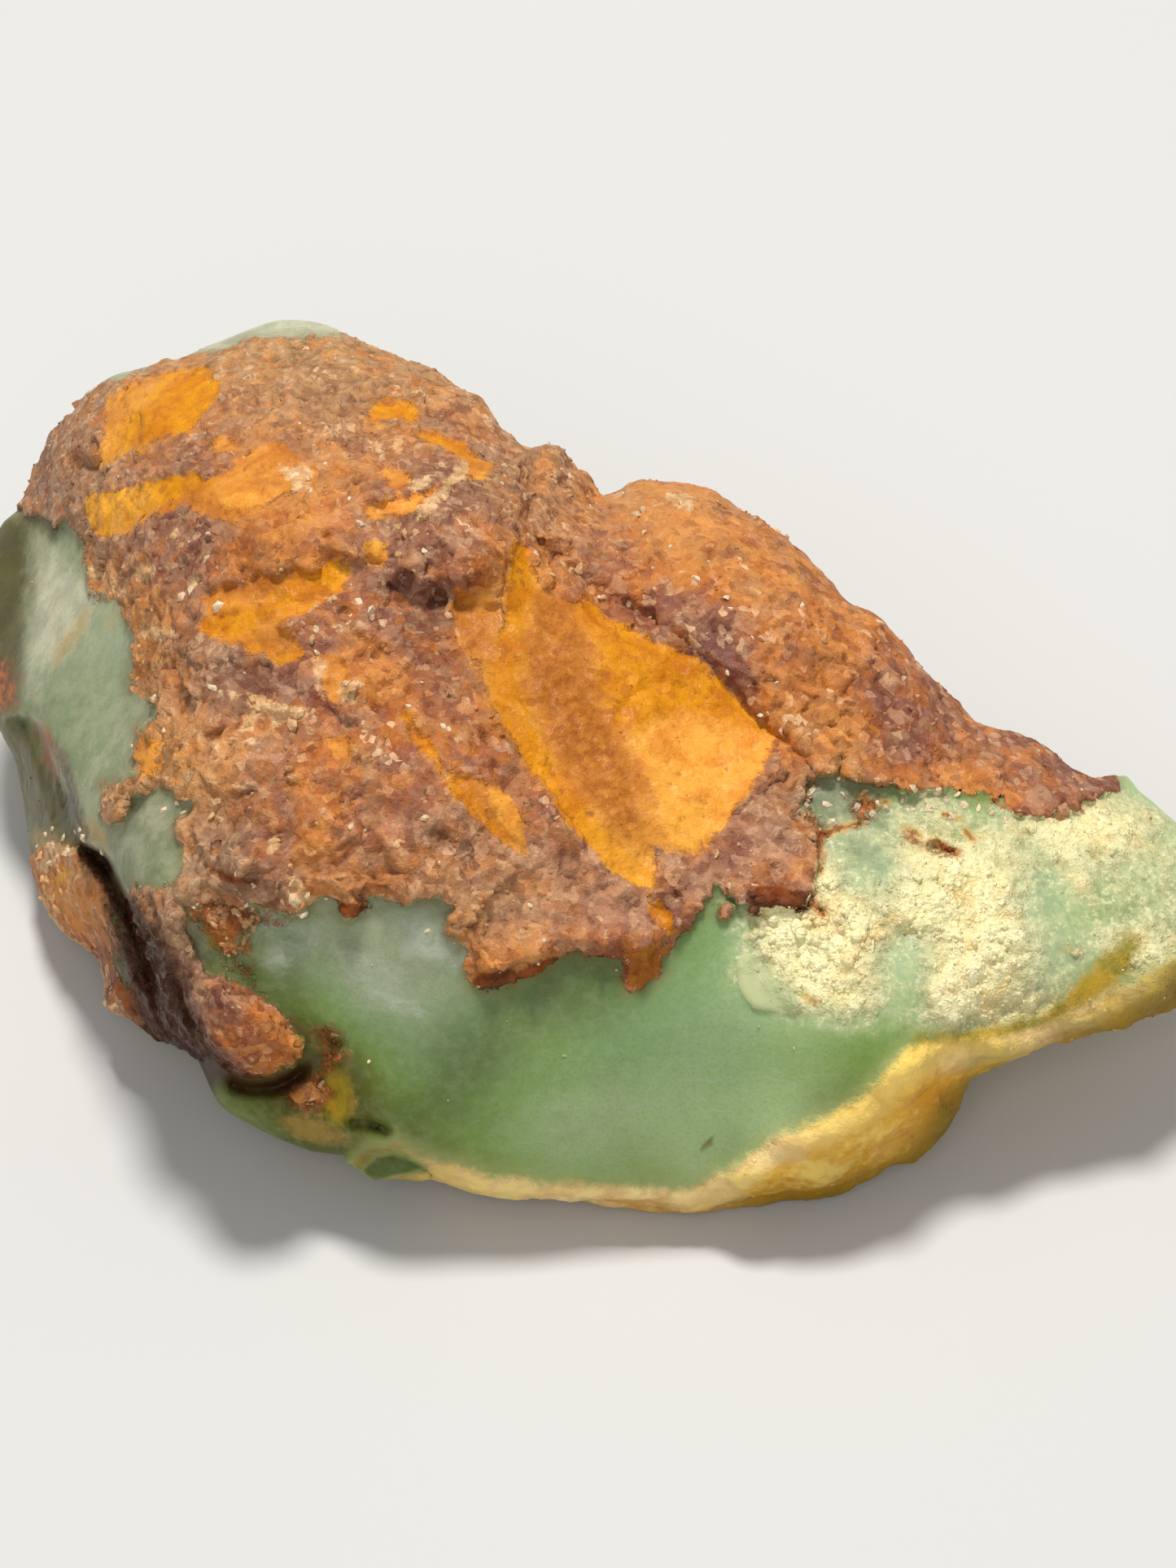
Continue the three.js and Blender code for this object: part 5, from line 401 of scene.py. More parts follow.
BUMPS = [[-16.87, -2.95, 1.39, 0.55], [-16.29, -3.8, 0.77, 0.35], [-5.11, 10.55, 1.62, 0.45], [-7.42, 11.9, 1.47, 0.4], [-8.58, 10.55, 0.93, 0.3],
    [-3.18, 13.63, 1.0, 0.25], [-10.12, 11.12, 0.69, 0.22], [-11.47, 4.38, 0.54, 0.2], [-16.29, 3.61, 0.62, 0.15], [-1.25, 10.08, 0.35, 0.3], [-0.79,
    9.93, 0.31, 0.3], [-1.72, 9.97, 0.31, 0.3], [-0.4, 10.16, 0.27, 0.3], [13.9, 7.65, 0.35, 0.25], [15.13, 5.46, 0.31, 0.2], [-4.57, -5.26, 0.31,
    0.2], [-0.02, -4.88, 0.35, 0.2], [-18.61, 6.3, 1.0, 0.2], [-19.57, 7.46, 0.77, 0.25], [-14.36, 7.46, 0.85, 0.15], [-20.92, 10.16, 0.69, 0.2],
    [-11.28, 20.19, 1.0, 0.15], [-6.27, 15.56, 0.69, 0.2], [-1.64, 15.37, 0.46, 0.25], [9.16, -1.41, 1.16, 0.2], [6.84, -4.49, 0.85, 0.2], [-13.98,
    14.4, 0.35, 0.22], [-6.88, 13.86, 0.35, 0.25], [-7.81, 12.71, 0.31, 0.25], [-14.59, 3.53, 0.46, 0.3], [-12.67, 4.92, 0.35, 0.25], [-11.2, 4.38,
    0.35, 0.25], [-20.3, 7.15, 0.39, 0.2]]
CRUMBS = [[-17.45, 8.31, 0.31, 1], [-17.76, 4.57, 0.27, 1], [-19.18, 8.81, 0.27, 0.8], [-18.8, 9.16, 0.23, 0.9], [-18.37, 9.54, 0.19, 0.7], [-19.57,
    11.7, 0.31, 0.5], [-17.95, 11.9, 0.15, 1], [-18.03, 10.74, 0.19, 0.8], [-13.4, 7.46, 0.19, 0.8], [-12.78, 7.38, 0.19, 0.8], [-13.09, 6.88, 0.19,
    0.5], [-10.89, 8.81, 0.27, 1], [-10.31, 8.23, 0.27, 0.9], [-11.28, 7.96, 0.23, 0.8], [-8.66, 11.9, 0.35, 0.5], [-9.08, 12.09, 0.23, 0.5], [-8.12,
    12.01, 0.19, 0.5], [-8.89, 10.89, 0.31, 0.5], [-7.81, 11.12, 0.23, 1], [-6.84, 2.72, 0.23, 1], [-6.54, 2.6, 0.15, 1], [-7.81, -1.6, 0.19, 0.8],
    [-11.28, -2.06, 0.15, 0.8], [-10.66, -2.18, 0.15, 0.8], [-20.15, 2.53, 0.23, 0.9], [-20.53, 4.07, 0.23, 0.9], [-20.53, 1.1, 0.23, 0.5], [-21.69,
    1.87, 0.15, 0.7], [-19.57, -1.02, 0.19, 0.9], [-20.26, -1.41, 0.23, 0.9], [-19.18, -1.41, 0.15, 0.9], [-14.17, 0.71, 0.31, 0.5], [-13.9, 0.29,
    0.23, 0.5], [-13.59, 3.22, 0.31, 0.7], [-13.98, 2.91, 0.31, 0.7], [-13.13, 3.41, 0.23, 0.7], [-14.36, 3.57, 0.23, 0.6], [-15.13, 3.99, 0.23, 0.5],
    [-15.91, 3.99, 0.27, 0.5], [-15.6, 3.57, 0.23, 0.5], [-16.1, 2.8, 0.23, 0.5], [-16.95, 2.06, 0.23, 0.5], [-13.79, -5.46, 0.31, 0.8], [-13.21,
    -5.26, 0.23, 0.8], [-12.51, -5.38, 0.19, 0.8], [-13.4, -6.23, 0.23, 1], [-13.98, -4.69, 0.27, 0.5], [-14.17, -3.91, 0.19, 0.5], [-17.64, -0.83,
    0.27, 0.5], [-17.91, -1.41, 0.23, 0.5], [-17.45, -1.79, 0.23, 0.5], [-14.83, -2.76, 0.27, 0.5], [-15.71, -4.8, 0.19, 0.8], [-16.29, 5.15, 0.15,
    0.9], [-12.82, 6.19, 0.19, 0.9], [-11.47, 4.76, 0.23, 0.8], [-13.79, 14.79, 0.27, 0.9], [-13.4, 14.4, 0.23, 0.8], [-13.98, 14.02, 0.19, 0.8],
    [-13.21, 13.94, 0.19, 0.9], [-11.28, 13.55, 0.15, 1], [-10.78, 12.28, 0.19, 0.9], [-14.36, 20.49, 0.15, 0.9], [-13.4, 20.69, 0.19, 0.9], [-12.82,
    19.61, 0.23, 0.7], [-12.05, 20.19, 0.15, 0.8], [-1.79, 16.1, 0.19, 1], [-1.25, 14.79, 0.23, 0.8], [-1.48, 14.4, 0.23, 0.8], [-0.87, 14.59, 0.19,
    0.8], [2.6, 11.9, 0.19, 1], [3.95, 11.24, 0.15, 0.9], [5.11, 9.58, 0.23, 1], [6.65, 8.81, 0.19, 1], [6.84, 8.39, 0.15, 1], [10.12, 8.43, 0.23, 1],
    [13.9, 7.65, 0.27, 1], [-1.25, 10.16, 0.31, 0.5], [-0.79, 9.89, 0.27, 0.5], [-1.72, 9.93, 0.27, 0.5], [-0.4, 10.16, 0.23, 0.5], [-2.22, 10.55,
    0.23, 0.5], [1.83, 8.54, 0.19, 1], [6.65, 5.34, 0.19, 1], [8.19, 3.22, 0.23, 1], [9.16, 2.45, 0.23, 1], [2.99, 7.85, 0.15, 0.9], [4.72, 6.69, 0.15,
    0.9], [2.22, 12.78, 0.27, 0.8], [2.6, 12.94, 0.23, 0.7], [4.72, 13.05, 0.23, 0.8], [4.34, 13.25, 0.19, 0.8], [8.97, 12.17, 0.23, 0.9], [2.99,
    10.16, 0.12, 1], [5.69, 10.55, 0.12, 0.9], [7.62, 10.16, 0.12, 0.9], [11.28, 6.88, 0.23, 0.6], [14.94, 4.95, 0.19, 0.7], [10.12, -0.17, 0.19, 0.4],
    [10.31, -0.83, 0.15, 0.95], [10.12, -1.41, 0.23, 0.3], [10.39, -1.99, 0.23, 0.3], [10.7, -2.49, 0.23, 0.3], [11.28, -2.22, 0.19, 0.0], [11.86,
    -2.1, 0.19, 0.0], [12.44, -1.95, 0.15, 0.0], [13.09, -1.79, 0.15, 0.95], [13.48, -1.41, 0.15, 0.95], [13.01, -0.44, 0.15, 0.5], [13.63, -0.87,
    0.15, 0.95], [14.17, -1.02, 0.19, 0.95], [14.75, -0.83, 0.15, 0.95], [15.33, -1.02, 0.19, 0.95], [15.91, -0.83, 0.15, 0.95], [16.48, -1.1, 0.19,
    0.95], [8.19, -5.57, 0.42, 0.0], [8.77, -6.42, 0.5, 0.0], [8.0, -7.11, 0.39, 0.0], [9.74, -6.73, 0.58, 0.0], [10.7, -7.19, 0.62, 0.0], [11.86,
    -7.58, 0.58, 0.0], [13.01, -6.61, 0.62, 0.0], [12.44, -5.65, 0.46, 0.0], [11.47, -6.42, 0.5, 0.0], [10.12, -7.81, 0.5, 0.0], [9.16, -8.43, 0.5,
    0.0], [10.7, -8.58, 0.58, 0.0], [12.24, -8.43, 0.46, 0.0], [9.16, -9.35, 0.35, 0.0], [10.31, -9.54, 0.42, 0.0], [11.28, -4.69, 0.39, 0.0], [11.09,
    -3.72, 0.35, 0.0], [16.1, -3.72, 0.46, 0.0], [16.87, -4.69, 0.46, 0.0], [17.64, -3.72, 0.39, 0.0], [18.41, -5.26, 0.54, 0.0], [16.48, -5.65, 0.46,
    0.0], [15.33, -6.42, 0.42, 0.0], [19.57, -7.19, 0.54, 0.0], [18.8, -6.42, 0.42, 0.0], [20.34, -6.03, 0.39, 0.0], [20.73, -8.35, 0.46, 0.0], [17.64,
    -7.19, 0.46, 0.0], [21.88, -1.79, 0.39, 0.0], [22.65, -1.41, 0.35, 0.0], [23.81, -1.87, 0.46, 0.0], [24.58, -1.41, 0.39, 0.0], [25.55, -1.99, 0.35,
    0.0], [23.04, -2.37, 0.35, 0.0], [21.11, -2.18, 0.35, 0.0], [26.51, -1.41, 0.31, 0.0], [-25.55, -3.72, 0.23, 0.8], [-25.16, -3.41, 0.23, 0.7],
    [-24.7, -3.26, 0.19, 0.8], [-25.62, -4.57, 0.23, 0.7], [-24.97, -4.3, 0.19, 0.5], [-25.31, -5.26, 0.23, 0.8], [-24.58, -5.07, 0.19, 0.5], [-24.2,
    -4.42, 0.23, 0.6], [-25.55, -5.96, 0.19, 0.7], [-23.81, -2.56, 0.27, 0.9], [-23.04, -3.18, 0.23, 0.8], [-24.0, -2.18, 0.19, 0.8], [-22.85, -10.35,
    0.23, 0.7], [-22.38, -10.51, 0.23, 0.7], [-22.65, -9.7, 0.19, 0.6], [-7.81, -6.92, 0.19, 1], [-10.31, -13.17, 0.15, 0.9], [-16.29, -7.58, 0.19,
    0.6], [-17.06, -7.19, 0.19, 0.5], [-17.76, -6.61, 0.19, 0.6], [-18.61, -5.73, 0.19, 0.6], [-15.91, -6.81, 0.19, 0.5], [-15.33, -5.96, 0.19, 0.6],
    [-16.68, -6.03, 0.19, 0.6], [-14.56, -5.65, 0.19, 0.6], [-12.63, -14.13, 0.19, 0.5], [23.27, -8.08, 0.19, 0.0], [8.0, -6.03, 0.31, 0.0], [8.58,
    -6.88, 0.35, 0.0], [9.47, -5.96, 0.31, 0.0], [10.31, -6.34, 0.39, 0.0], [11.01, -6.81, 0.42, 0.0], [12.05, -6.88, 0.39, 0.0], [12.71, -7.19, 0.46,
    0.0], [13.4, -7.58, 0.39, 0.0], [11.78, -8.27, 0.35, 0.0], [9.62, -7.19, 0.39, 0.0], [8.97, -7.58, 0.35, 0.0], [8.46, -7.96, 0.31, 0.0], [10.12,
    -8.97, 0.35, 0.0], [11.16, -8.97, 0.35, 0.0], [13.01, -8.97, 0.31, 0.0], [13.98, -6.03, 0.35, 0.0], [14.36, -4.88, 0.31, 0.0], [14.56, -3.72, 0.27,
    0.0], [15.71, -4.49, 0.35, 0.0], [16.48, -4.49, 0.31, 0.0], [17.06, -5.46, 0.35, 0.0], [17.83, -6.03, 0.39, 0.0], [18.99, -4.69, 0.35, 0.0],
    [19.57, -5.65, 0.35, 0.0], [20.34, -6.81, 0.35, 0.0], [19.38, -7.96, 0.35, 0.0], [18.41, -7.19, 0.35, 0.0], [17.45, -8.35, 0.31, 0.0], [16.87,
    -9.31, 0.31, 0.0], [18.41, -9.7, 0.31, 0.0], [19.95, -9.12, 0.31, 0.0], [15.71, -7.19, 0.35, 0.0], [15.02, -5.57, 0.31, 0.0], [13.79, -4.69, 0.27,
    0.0], [-25.93, -3.41, 0.23, 0.5], [-25.62, -4.11, 0.23, 0.5], [-25.85, -4.88, 0.27, 0.5], [-25.39, -5.42, 0.23, 0.5], [-25.16, -6.03, 0.23, 0.5],
    [-24.54, -4.65, 0.19, 0.5], [-24.16, -5.65, 0.19, 0.5], [-25.55, -2.95, 0.19, 0.5], [-25.24, -3.49, 0.19, 0.6], [-14.13, -11.51, 0.19, 0.5],
    [-13.52, -12.44, 0.23, 0.5], [22.96, -7.96, 0.27, 0], [26.05, -8.35, 0.27, 0], [26.51, -7.89, 0.23, 0], [23.12, -8.08, 0.23, 0.5], [14.33, 0.06,
    0.19, 0.95], [14.86, -0.4, 0.22, 0.95], [15.4, -0.17, 0.19, 0.95], [15.87, -0.64, 0.25, 0.95], [16.48, -0.33, 0.19, 0.95], [16.95, -0.79, 0.25,
    0.95], [17.56, -0.56, 0.22, 0.95], [18.03, -1.1, 0.25, 0.95], [18.64, -0.94, 0.22, 0.95], [19.18, -1.41, 0.25, 0.95], [16.25, -1.18, 0.22, 0.95],
    [17.18, -1.48, 0.25, 0.95], [15.4, -1.02, 0.22, 0.95], [19.76, -1.72, 0.22, 0.95], [10.7, -0.17, 0.22, 0.95], [11.16, -0.79, 0.25, 0.95], [12.09,
    0.21, 0.19, 0.5], [13.01, -0.33, 0.22, 0.5], [13.71, 0.13, 0.19, 0.5], [12.63, -1.18, 0.25, 0.95], [11.63, -1.56, 0.22, 0.95], [13.48, -1.48, 0.22,
    0.95], [-26.09, -3.64, 0.27, 0.6], [-25.7, -4.49, 0.27, 0.5], [-25.93, -5.42, 0.23, 0.5], [-25.16, -3.8, 0.23, 0.5], [-24.85, -5.11, 0.23, 0.5],
    [-25.47, -6.19, 0.23, 0.5], [-24.62, -6.42, 0.19, 0.4], [-24.0, -4.49, 0.19, 0.4], [8.81, -6.61, 0.35, 0.0], [10.12, -6.69, 0.39, 0.0], [11.93,
    -6.5, 0.46, 0.0], [12.82, -6.92, 0.42, 0.0], [10.97, -6.42, 0.35, 0.0], [8.7, -7.27, 0.35, 0.0], [9.54, -7.89, 0.39, 0.0], [10.74, -7.89, 0.42,
    0.0], [10.43, -8.7, 0.35, 0.0], [11.74, -8.54, 0.39, 0.0], [12.59, -8.12, 0.39, 0.0], [13.59, -6.38, 0.39, 0.0], [14.02, -7.04, 0.35, 0.0], [11.86,
    -5.73, 0.35, 0.0], [11.39, -4.84, 0.31, 0.0], [11.63, -3.72, 0.27, 0.0], [17.95, -5.07, 0.35, 0.0], [19.15, -5.49, 0.35, 0.0], [17.41, -6.81, 0.35,
    0.0], [19.99, -5.96, 0.35, 0.0], [18.26, -7.46, 0.31, 0.0], [23.93, -1.87, 0.27, 0.0], [24.58, -2.33, 0.31, 0.0], [23.27, -2.18, 0.27, 0.0],
    [25.66, -2.18, 0.27, 0.0], [25.78, -8.77, 0.27, 0.0], [26.97, -7.23, 0.27, 0.0], [12.24, -6.03, 0.39, 0.0], [11.39, -7.19, 0.42, 0.0], [10.7,
    -7.19, 0.35, 0.0], [13.21, -7.58, 0.35, 0.0], [18.8, -6.42, 0.35, 0.0], [17.26, -7.77, 0.31, 0.0], [15.94, -3.72, 0.31, 0.0], [16.87, -3.34, 0.27,
    0.0], [10.08, -0.4, 0.19, 0.85], [10.43, -1.02, 0.19, 0.85], [11.86, 0.29, 0.19, 0.85], [12.17, -0.48, 0.19, 0.85], [16.52, -1.14, 0.19, 0.85],
    [10.31, -1.56, 0.15, 0.85], [-25.78, -2.41, 0.19, 0.85], [-25.31, -2.1, 0.15, 0.85], [-24.85, -2.56, 0.19, 0.85], [-24.31, -2.26, 0.15, 0.85],
    [-23.85, -2.72, 0.19, 0.85], [-25.39, -2.95, 0.19, 0.85], [-24.62, -3.26, 0.19, 0.85], [-23.54, -3.26, 0.15, 0.85], [-25.08, -3.72, 0.15, 0.85],
    [-26.09, -2.95, 0.15, 0.85]]
PITS = [[-9.39, 9.47, 0.42, 0.6], [-8.89, 9.24, 0.35, 0.5], [-6.96, 8.89, 0.66, 0.7], [-6.03, 8.46, 0.58, 0.55], [-5.49, 8.7, 0.35, 0.3], [-10.24,
    17.14, 0.31, 0.4], [-11.55, 8.12, 0.35, 0.5], [-18.61, 9.58, 0.27, 0.4], [-23.89, 11.36, 0.23, 0.3], [-15.33, 12.47, 0.23, 0.3], [8.7, 4.88, 0.31,
    0.5], [9.7, 4.34, 0.27, 0.5], [10.78, 4.03, 0.31, 0.5], [11.63, 3.76, 0.27, 0.4], [12.17, 3.22, 0.31, 0.5], [10.24, 3.49, 0.35, 0.6], [11.36, 2.68,
    0.31, 0.5], [9.16, 3.68, 0.27, 0.5], [12.44, 2.26, 0.23, 0.4], [10.7, 4.57, 0.19, 0.3], [8.0, 4.38, 0.23, 0.4], [12.05, 1.14, 0.35, 0.6], [11.47,
    0.91, 0.31, 0.5], [11.01, -5.96, 0.35, 0.8], [10.31, -5.73, 0.31, 0.6], [9.54, -5.26, 0.23, 0.4], [10.58, -2.76, 0.27, 0.5], [11.09, -2.33, 0.23,
    0.4], [11.86, -2.26, 0.19, 0.3], [13.01, -2.33, 0.19, 0.3], [15.71, -2.49, 0.23, 0.5], [16.48, -2.87, 0.27, 0.6], [17.18, -3.18, 0.23, 0.5],
    [12.71, -1.25, 0.23, 0.4], [14.94, -1.41, 0.19, 0.3], [2.02, -1.87, 0.19, 0.3], [0.67, 5.15, 0.23, 0.3], [-0.25, 3.22, 0.23, 0.3], [6.23, 3.53,
    0.27, 0.35], [7.04, 3.14, 0.23, 0.3], [6.38, 0.33, 0.27, 0.3], [4.22, -5.26, 0.23, 0.5], [4.72, -6.42, 0.23, 0.5], [-3.95, 3.41, 0.23, 0.3],
    [-6.46, 3.99, 0.31, 0.4], [-9.74, 3.61, 0.27, 0.4], [-8.39, 4.38, 0.23, 0.3], [-10.89, 2.26, 0.23, 0.3], [-17.76, -2.95, 0.35, 0.5], [-17.06,
    -4.57, 0.27, 0.4], [-3.18, 11.9, 0.35, 0.6], [-2.41, 11.39, 0.27, 0.5], [-1.25, 14.02, 0.27, 0.4], [0.29, 13.55, 0.31, 0.6], [0.87, 12.47, 0.27,
    0.5], [-11.97, -12.2, 0.42, 0.6], [-12.44, -12.82, 0.35, 0.6], [-12.67, -13.94, 0.31, 0.4], [-10.31, -16.21, 0.42, 0.7], [-9.74, -16.37, 0.31,
    0.5], [-23.39, -3.34, 0.31, 0.6], [8.77, -17.02, 0.19, 0.2], [-25.16, -4.69, 0.23, 0.3], [-24.2, -5.65, 0.27, 0.4], [-25.55, -6.03, 0.27, 0.5],
    [-23.62, -6.81, 0.27, 0.4]]
YEL = [[-17.8, -6.4, 0.5], [-19.0, -14.1, 0.9], [-16.3, -15.7, 1], [-9.5, -13.2, 0.5], [-12.4, -10.7, 0.3], [-10.5, -9.1, -0.6], [-7.8, -8.3, -0.7],
    [-12.4, -7.6, -0.3], [-2.8, -13.4, 0.25], [-0.9, -9.7, 0.25], [1.4, -14.1, 0], [10.7, -10.7, 0.3], [6.8, -11.0, -0.1], [-0.9, -16.8, 0.1], [-4.7,
    -18.0, 0.5], [5.7, -17.2, 0.3], [-4.7, -9.1, 0.2], [5.3, -7.6, 0.1], [-24.2, 5.5, -0.5], [-25.2, 8.6, -0.4], [-24.4, 10.5, 0.1], [-27.1, 7.8, 0.4],
    [-27.5, 4.0, 0.6], [-26.7, -1.4, 0.8], [-25.5, 0.1, 0.6], [-25.5, -1.4, 0.7], [-20.9, -2.9, -0.2], [-22.8, 1.3, -0.3], [-22.1, 4.0, -0.2], [-22.5,
    -9.1, 0.8], [-20.1, -13.0, 0.8], [-16.3, 21.7, -1], [-12.4, 21.9, -1], [-8.6, 20.6, -1], [-22.5, 19.4, -0.9], [26.1, -0.6, 0.5], [26.9, -8.3, 1],
    [22.3, -11.0, 1], [18.4, -11.8, 0.9], [11.9, -0.6, 0.1], [13.0, -4.1, -0.4], [14.9, -9.1, -0.1], [16.5, -1.0, 0.2], [19.6, -2.6, 0.2], [23.4, -6.4,
    0.4], [27.7, -3.7, 0.4], [8.8, -1.8, 0.0], [25.0, -9.9, 1], [8.4, -9.5, 0.1], [10.7, -16.4, 0.6], [30.0, -5.3, 0.6], [3.0, -18.4, 0.5], [-15.1,
    -9.1, 0.2], [-6.3, -13.0, 0.0], [-9.4, -13.0, 0.1], [-18.2, -13.9, 1], [-16.3, -15.0, 1], [-15.1, -16.3, 1], [-13.2, -16.8, 1], [-17.1, -14.5, 1],
    [-11.3, -14.5, 0.9], [-11.9, -13.0, 0.8], [-12.4, -15.4, 1], [-9.7, -16.3, 0.6], [27.7, -9.6, 1], [26.1, -10.4, 0.8], [18.4, -13.8, 1], [20.3,
    -13.2, 0.8], [23.4, -12.4, 0.5], [21.5, -11.8, 0.2], [16.5, -12.6, 0.2], [23.8, -8.2, -0.4], [22.3, -9.5, -0.3], [21.1, -5.6, -0.5], [-10.1, -16.8,
    0.9], [-10.9, -17.0, 1], [-8.6, -17.4, 0.7], [-10.1, -18.3, 0.7], [-11.7, -14.3, 1], [-12.0, -13.4, 0.9], [13.0, -12.2, 0.4], [14.9, -11.4, 0.55],
    [26.1, -5.3, 0.6], [22.3, -11.6, 0.9], [20.7, -12.4, 0.8], [23.8, -10.9, 0.9], [-11.7, -16.8, 1.0], [13.0, -12.2, 0.35]]
# the green lighter and darker: partly its own tone, partly painted light and shade, such as a glow along its thin top
# edge and shade at the lower left
GREEN_TONE_AND_PAINTED_LIGHT = [[-15.1, -9.1, -0.6], [-17.8, -6.4, -0.4], [-0.9, -9.7, -0.9], [1.4, -14.1, 0.35], [-0.9, -12.6, -0.1], [-0.9, -16.8, 0.8], [3.0, -16.8, 0.8],
    [6.8, -11.0, 0.4], [5.3, -7.6, 0.1], [6.8, -14.1, 0.45], [9.9, -13.0, 0.4], [-24.2, 5.5, 0.2], [-25.5, 8.6, 1.0], [-24.4, 10.5, 0.5], [-27.1, 7.8,
    -0.5], [-27.6, 4.4, -0.7], [-26.3, -1.4, -0.9], [-20.9, -2.9, 0.2], [-22.8, 1.3, 0.45], [-22.1, 4.0, 0.1], [-16.3, 21.7, 1.4], [-12.4, 21.9, 1.4],
    [-8.6, 20.6, 1.2], [-22.5, 19.4, 1.2], [26.1, -0.6, 0.9], [26.9, -8.3, 0.2], [22.3, -11.0, -0.1], [13.0, -4.1, 0.5], [14.9, -9.1, 1.1], [19.6,
    -2.6, 0.5], [23.4, -6.4, 0.8], [27.7, -3.7, 0.7], [-22.5, -9.1, -0.3], [-19.0, -14.5, -0.4], [-16.3, -16.4, -0.6], [-10.9, -16.8, -0.2], [8.4,
    -9.5, 0.9], [30.0, -5.3, 0.5], [-9.4, -13.7, -0.45], [-4.0, -11.0, -0.6], [-3.2, -13.7, -0.3], [-16.3, -15.1, -0.5], [-14.4, -16.5, -0.8], [-18.2,
    -13.9, -0.9], [-12.4, -16.6, -0.9], [23.0, -8.3, 0.6], [21.1, -5.6, 0.5], [23.8, -6.4, 0.3], [22.3, -9.3, 0.5], [3.0, -17.8, 0.5], [6.8, -16.8,
    0.55], [10.7, -15.0, 0.5], [-0.9, -17.8, 0.4], [-4.0, -17.2, 0.3], [12.2, -14.1, 0.4], [20.0, -10.5, 0.6], [21.9, -10.1, 0.6], [-24.2, 5.5, -0.1],
    [-20.9, -2.9, -0.1], [-14.6, -6.0, 0.3], [-14.7, -7.8, -0.3], [-13.2, -8.7, -0.2], [-11.7, -9.7, -0.1], [-9.7, -10.5, -0.1], [-7.0, -10.7, -0.3],
    [-11.7, -11.4, -0.2], [-0.9, -9.7, -0.95], [-13.2, -6.6, 0.3], [-11.7, -7.3, 0.3], [-10.1, -8.3, 0.4], [-8.6, -8.9, 0.3], [-7.2, -9.5, 0.1], [-8.6,
    -7.6, 0.3], [11.9, -0.6, -0.6], [3.8, -16.1, 1.0], [-0.1, -15.7, 0.9], [-4.0, -16.4, 0.6], [6.8, -15.3, 0.9], [9.9, -14.5, 0.8], [1.4, -14.5, 0.6],
    [-10.1, -18.3, -1.2], [-9.0, -18.0, -0.9], [-11.7, -14.3, -0.9], [-12.4, -14.9, -0.8], [-0.9, -17.6, 0.9], [4.9, -17.6, 1.1], [8.4, -16.4, 1.1],
    [13.0, -12.2, 0.8], [14.6, -11.5, 0.5], [-6.3, -13.0, -1.0], [-4.7, -14.1, -0.6], [-11.7, -16.8, -1.0], [13.0, -12.4, -0.35], [-27.4, 10.2, -0.5],
    [-27.5, 7.1, -0.5]]

AXIS = np.array([0, math.cos(TILT), -math.sin(TILT)])
UP = np.array([0, math.sin(TILT), math.cos(TILT)])
EYE = -STATION * AXIS

# ------------------------------------------------------------------ numbers
def smooth(a, b, x):
    q = np.clip((x - a) / (b - a), 0, 1)
    return q * q * (3 - 2 * q)


def smin(a, b, k):
    h = np.maximum(k - np.abs(a - b), 0) / k
    return np.minimum(a, b) - h * h * k / 4


def _u(r2):
    return 0.5 * r2 * np.log(np.maximum(r2, 1e-12))


def sheet(points, ease):
    """A smooth sheet through its points, as a function of s and t."""
    p = np.array(points, float)
    n = len(p)
    a = np.zeros((n + 3, n + 3))
    a[:n, :n] = _u(((p[:, None, :2] - p[None, :, :2]) ** 2).sum(2))
    a[np.arange(n), np.arange(n)] += ease
    a[:n, n], a[:n, n + 1:] = 1, p[:, :2]
    a[n, :n], a[n + 1:, :n] = 1, p[:, :2].T
    b = np.zeros(n + 3)
    b[:n] = p[:, 2]
    w = np.linalg.solve(a, b)

    def value(s, t):
        out = w[n] + w[n + 1] * s + w[n + 2] * t
        for j in range(n):
            out += w[j] * _u((s - p[j, 0]) ** 2 + (t - p[j, 1]) ** 2)
        return out
    return value


def _segments(line, closed):
    a = np.array(line, float)
    b = np.roll(a, -1, 0)
    return (a, b) if closed else (a[:-1], b[:-1])


def line_distance(line, s, t, closed=False):
    best = np.full(s.shape, 1e9)
    for (ax, ay), (bx, by) in zip(*_segments(line, closed)):
        dx, dy = bx - ax, by - ay
        q = np.clip(((s - ax) * dx + (t - ay) * dy) / (dx * dx + dy * dy + 1e-12), 0, 1)
        best = np.minimum(best, (s - ax - q * dx) ** 2 + (t - ay - q * dy) ** 2)
    return np.sqrt(best)


def side_distance(line, s, t):
    """Distance to an open line, and which side of it: positive to its right."""
    best, side = np.full(s.shape, 1e9), np.zeros(s.shape)
    for (ax, ay), (bx, by) in zip(*_segments(line, False)):
        dx, dy = bx - ax, by - ay
        q = np.clip(((s - ax) * dx + (t - ay) * dy) / (dx * dx + dy * dy + 1e-12), 0, 1)
        d = (s - ax - q * dx) ** 2 + (t - ay - q * dy) ** 2
        c = (s - ax) * dy - (t - ay) * dx
        near = d < best
        best, side = np.where(near, d, best), np.where(near, np.sign(c), side)
    return np.sqrt(best), side


def inside(poly, s, t):
    """Signed distance to an outline, positive inside."""
    odd = np.zeros(s.shape, bool)
    for (ax, ay), (bx, by) in zip(*_segments(poly, True)):
        if ay == by:
            continue
        odd ^= ((ay > t) != (by > t)) & (s < (bx - ax) * (t - ay) / (by - ay) + ax)
    return np.where(odd, 1.0, -1.0) * line_distance(poly, s, t, True)


def _hash(i, j, k, seed):
    h = (i.astype(np.uint32) * np.uint32(374761393) + j.astype(np.uint32) * np.uint32(668265263)
         + k.astype(np.uint32) * np.uint32(2147483647 - 18923) + np.uint32(seed * 974711 + 17))
    h = (h ^ (h >> np.uint32(13))) * np.uint32(1274126177)
    h = (h ^ (h >> np.uint32(16))) * np.uint32(2246822519)
    return h ^ (h >> np.uint32(15))


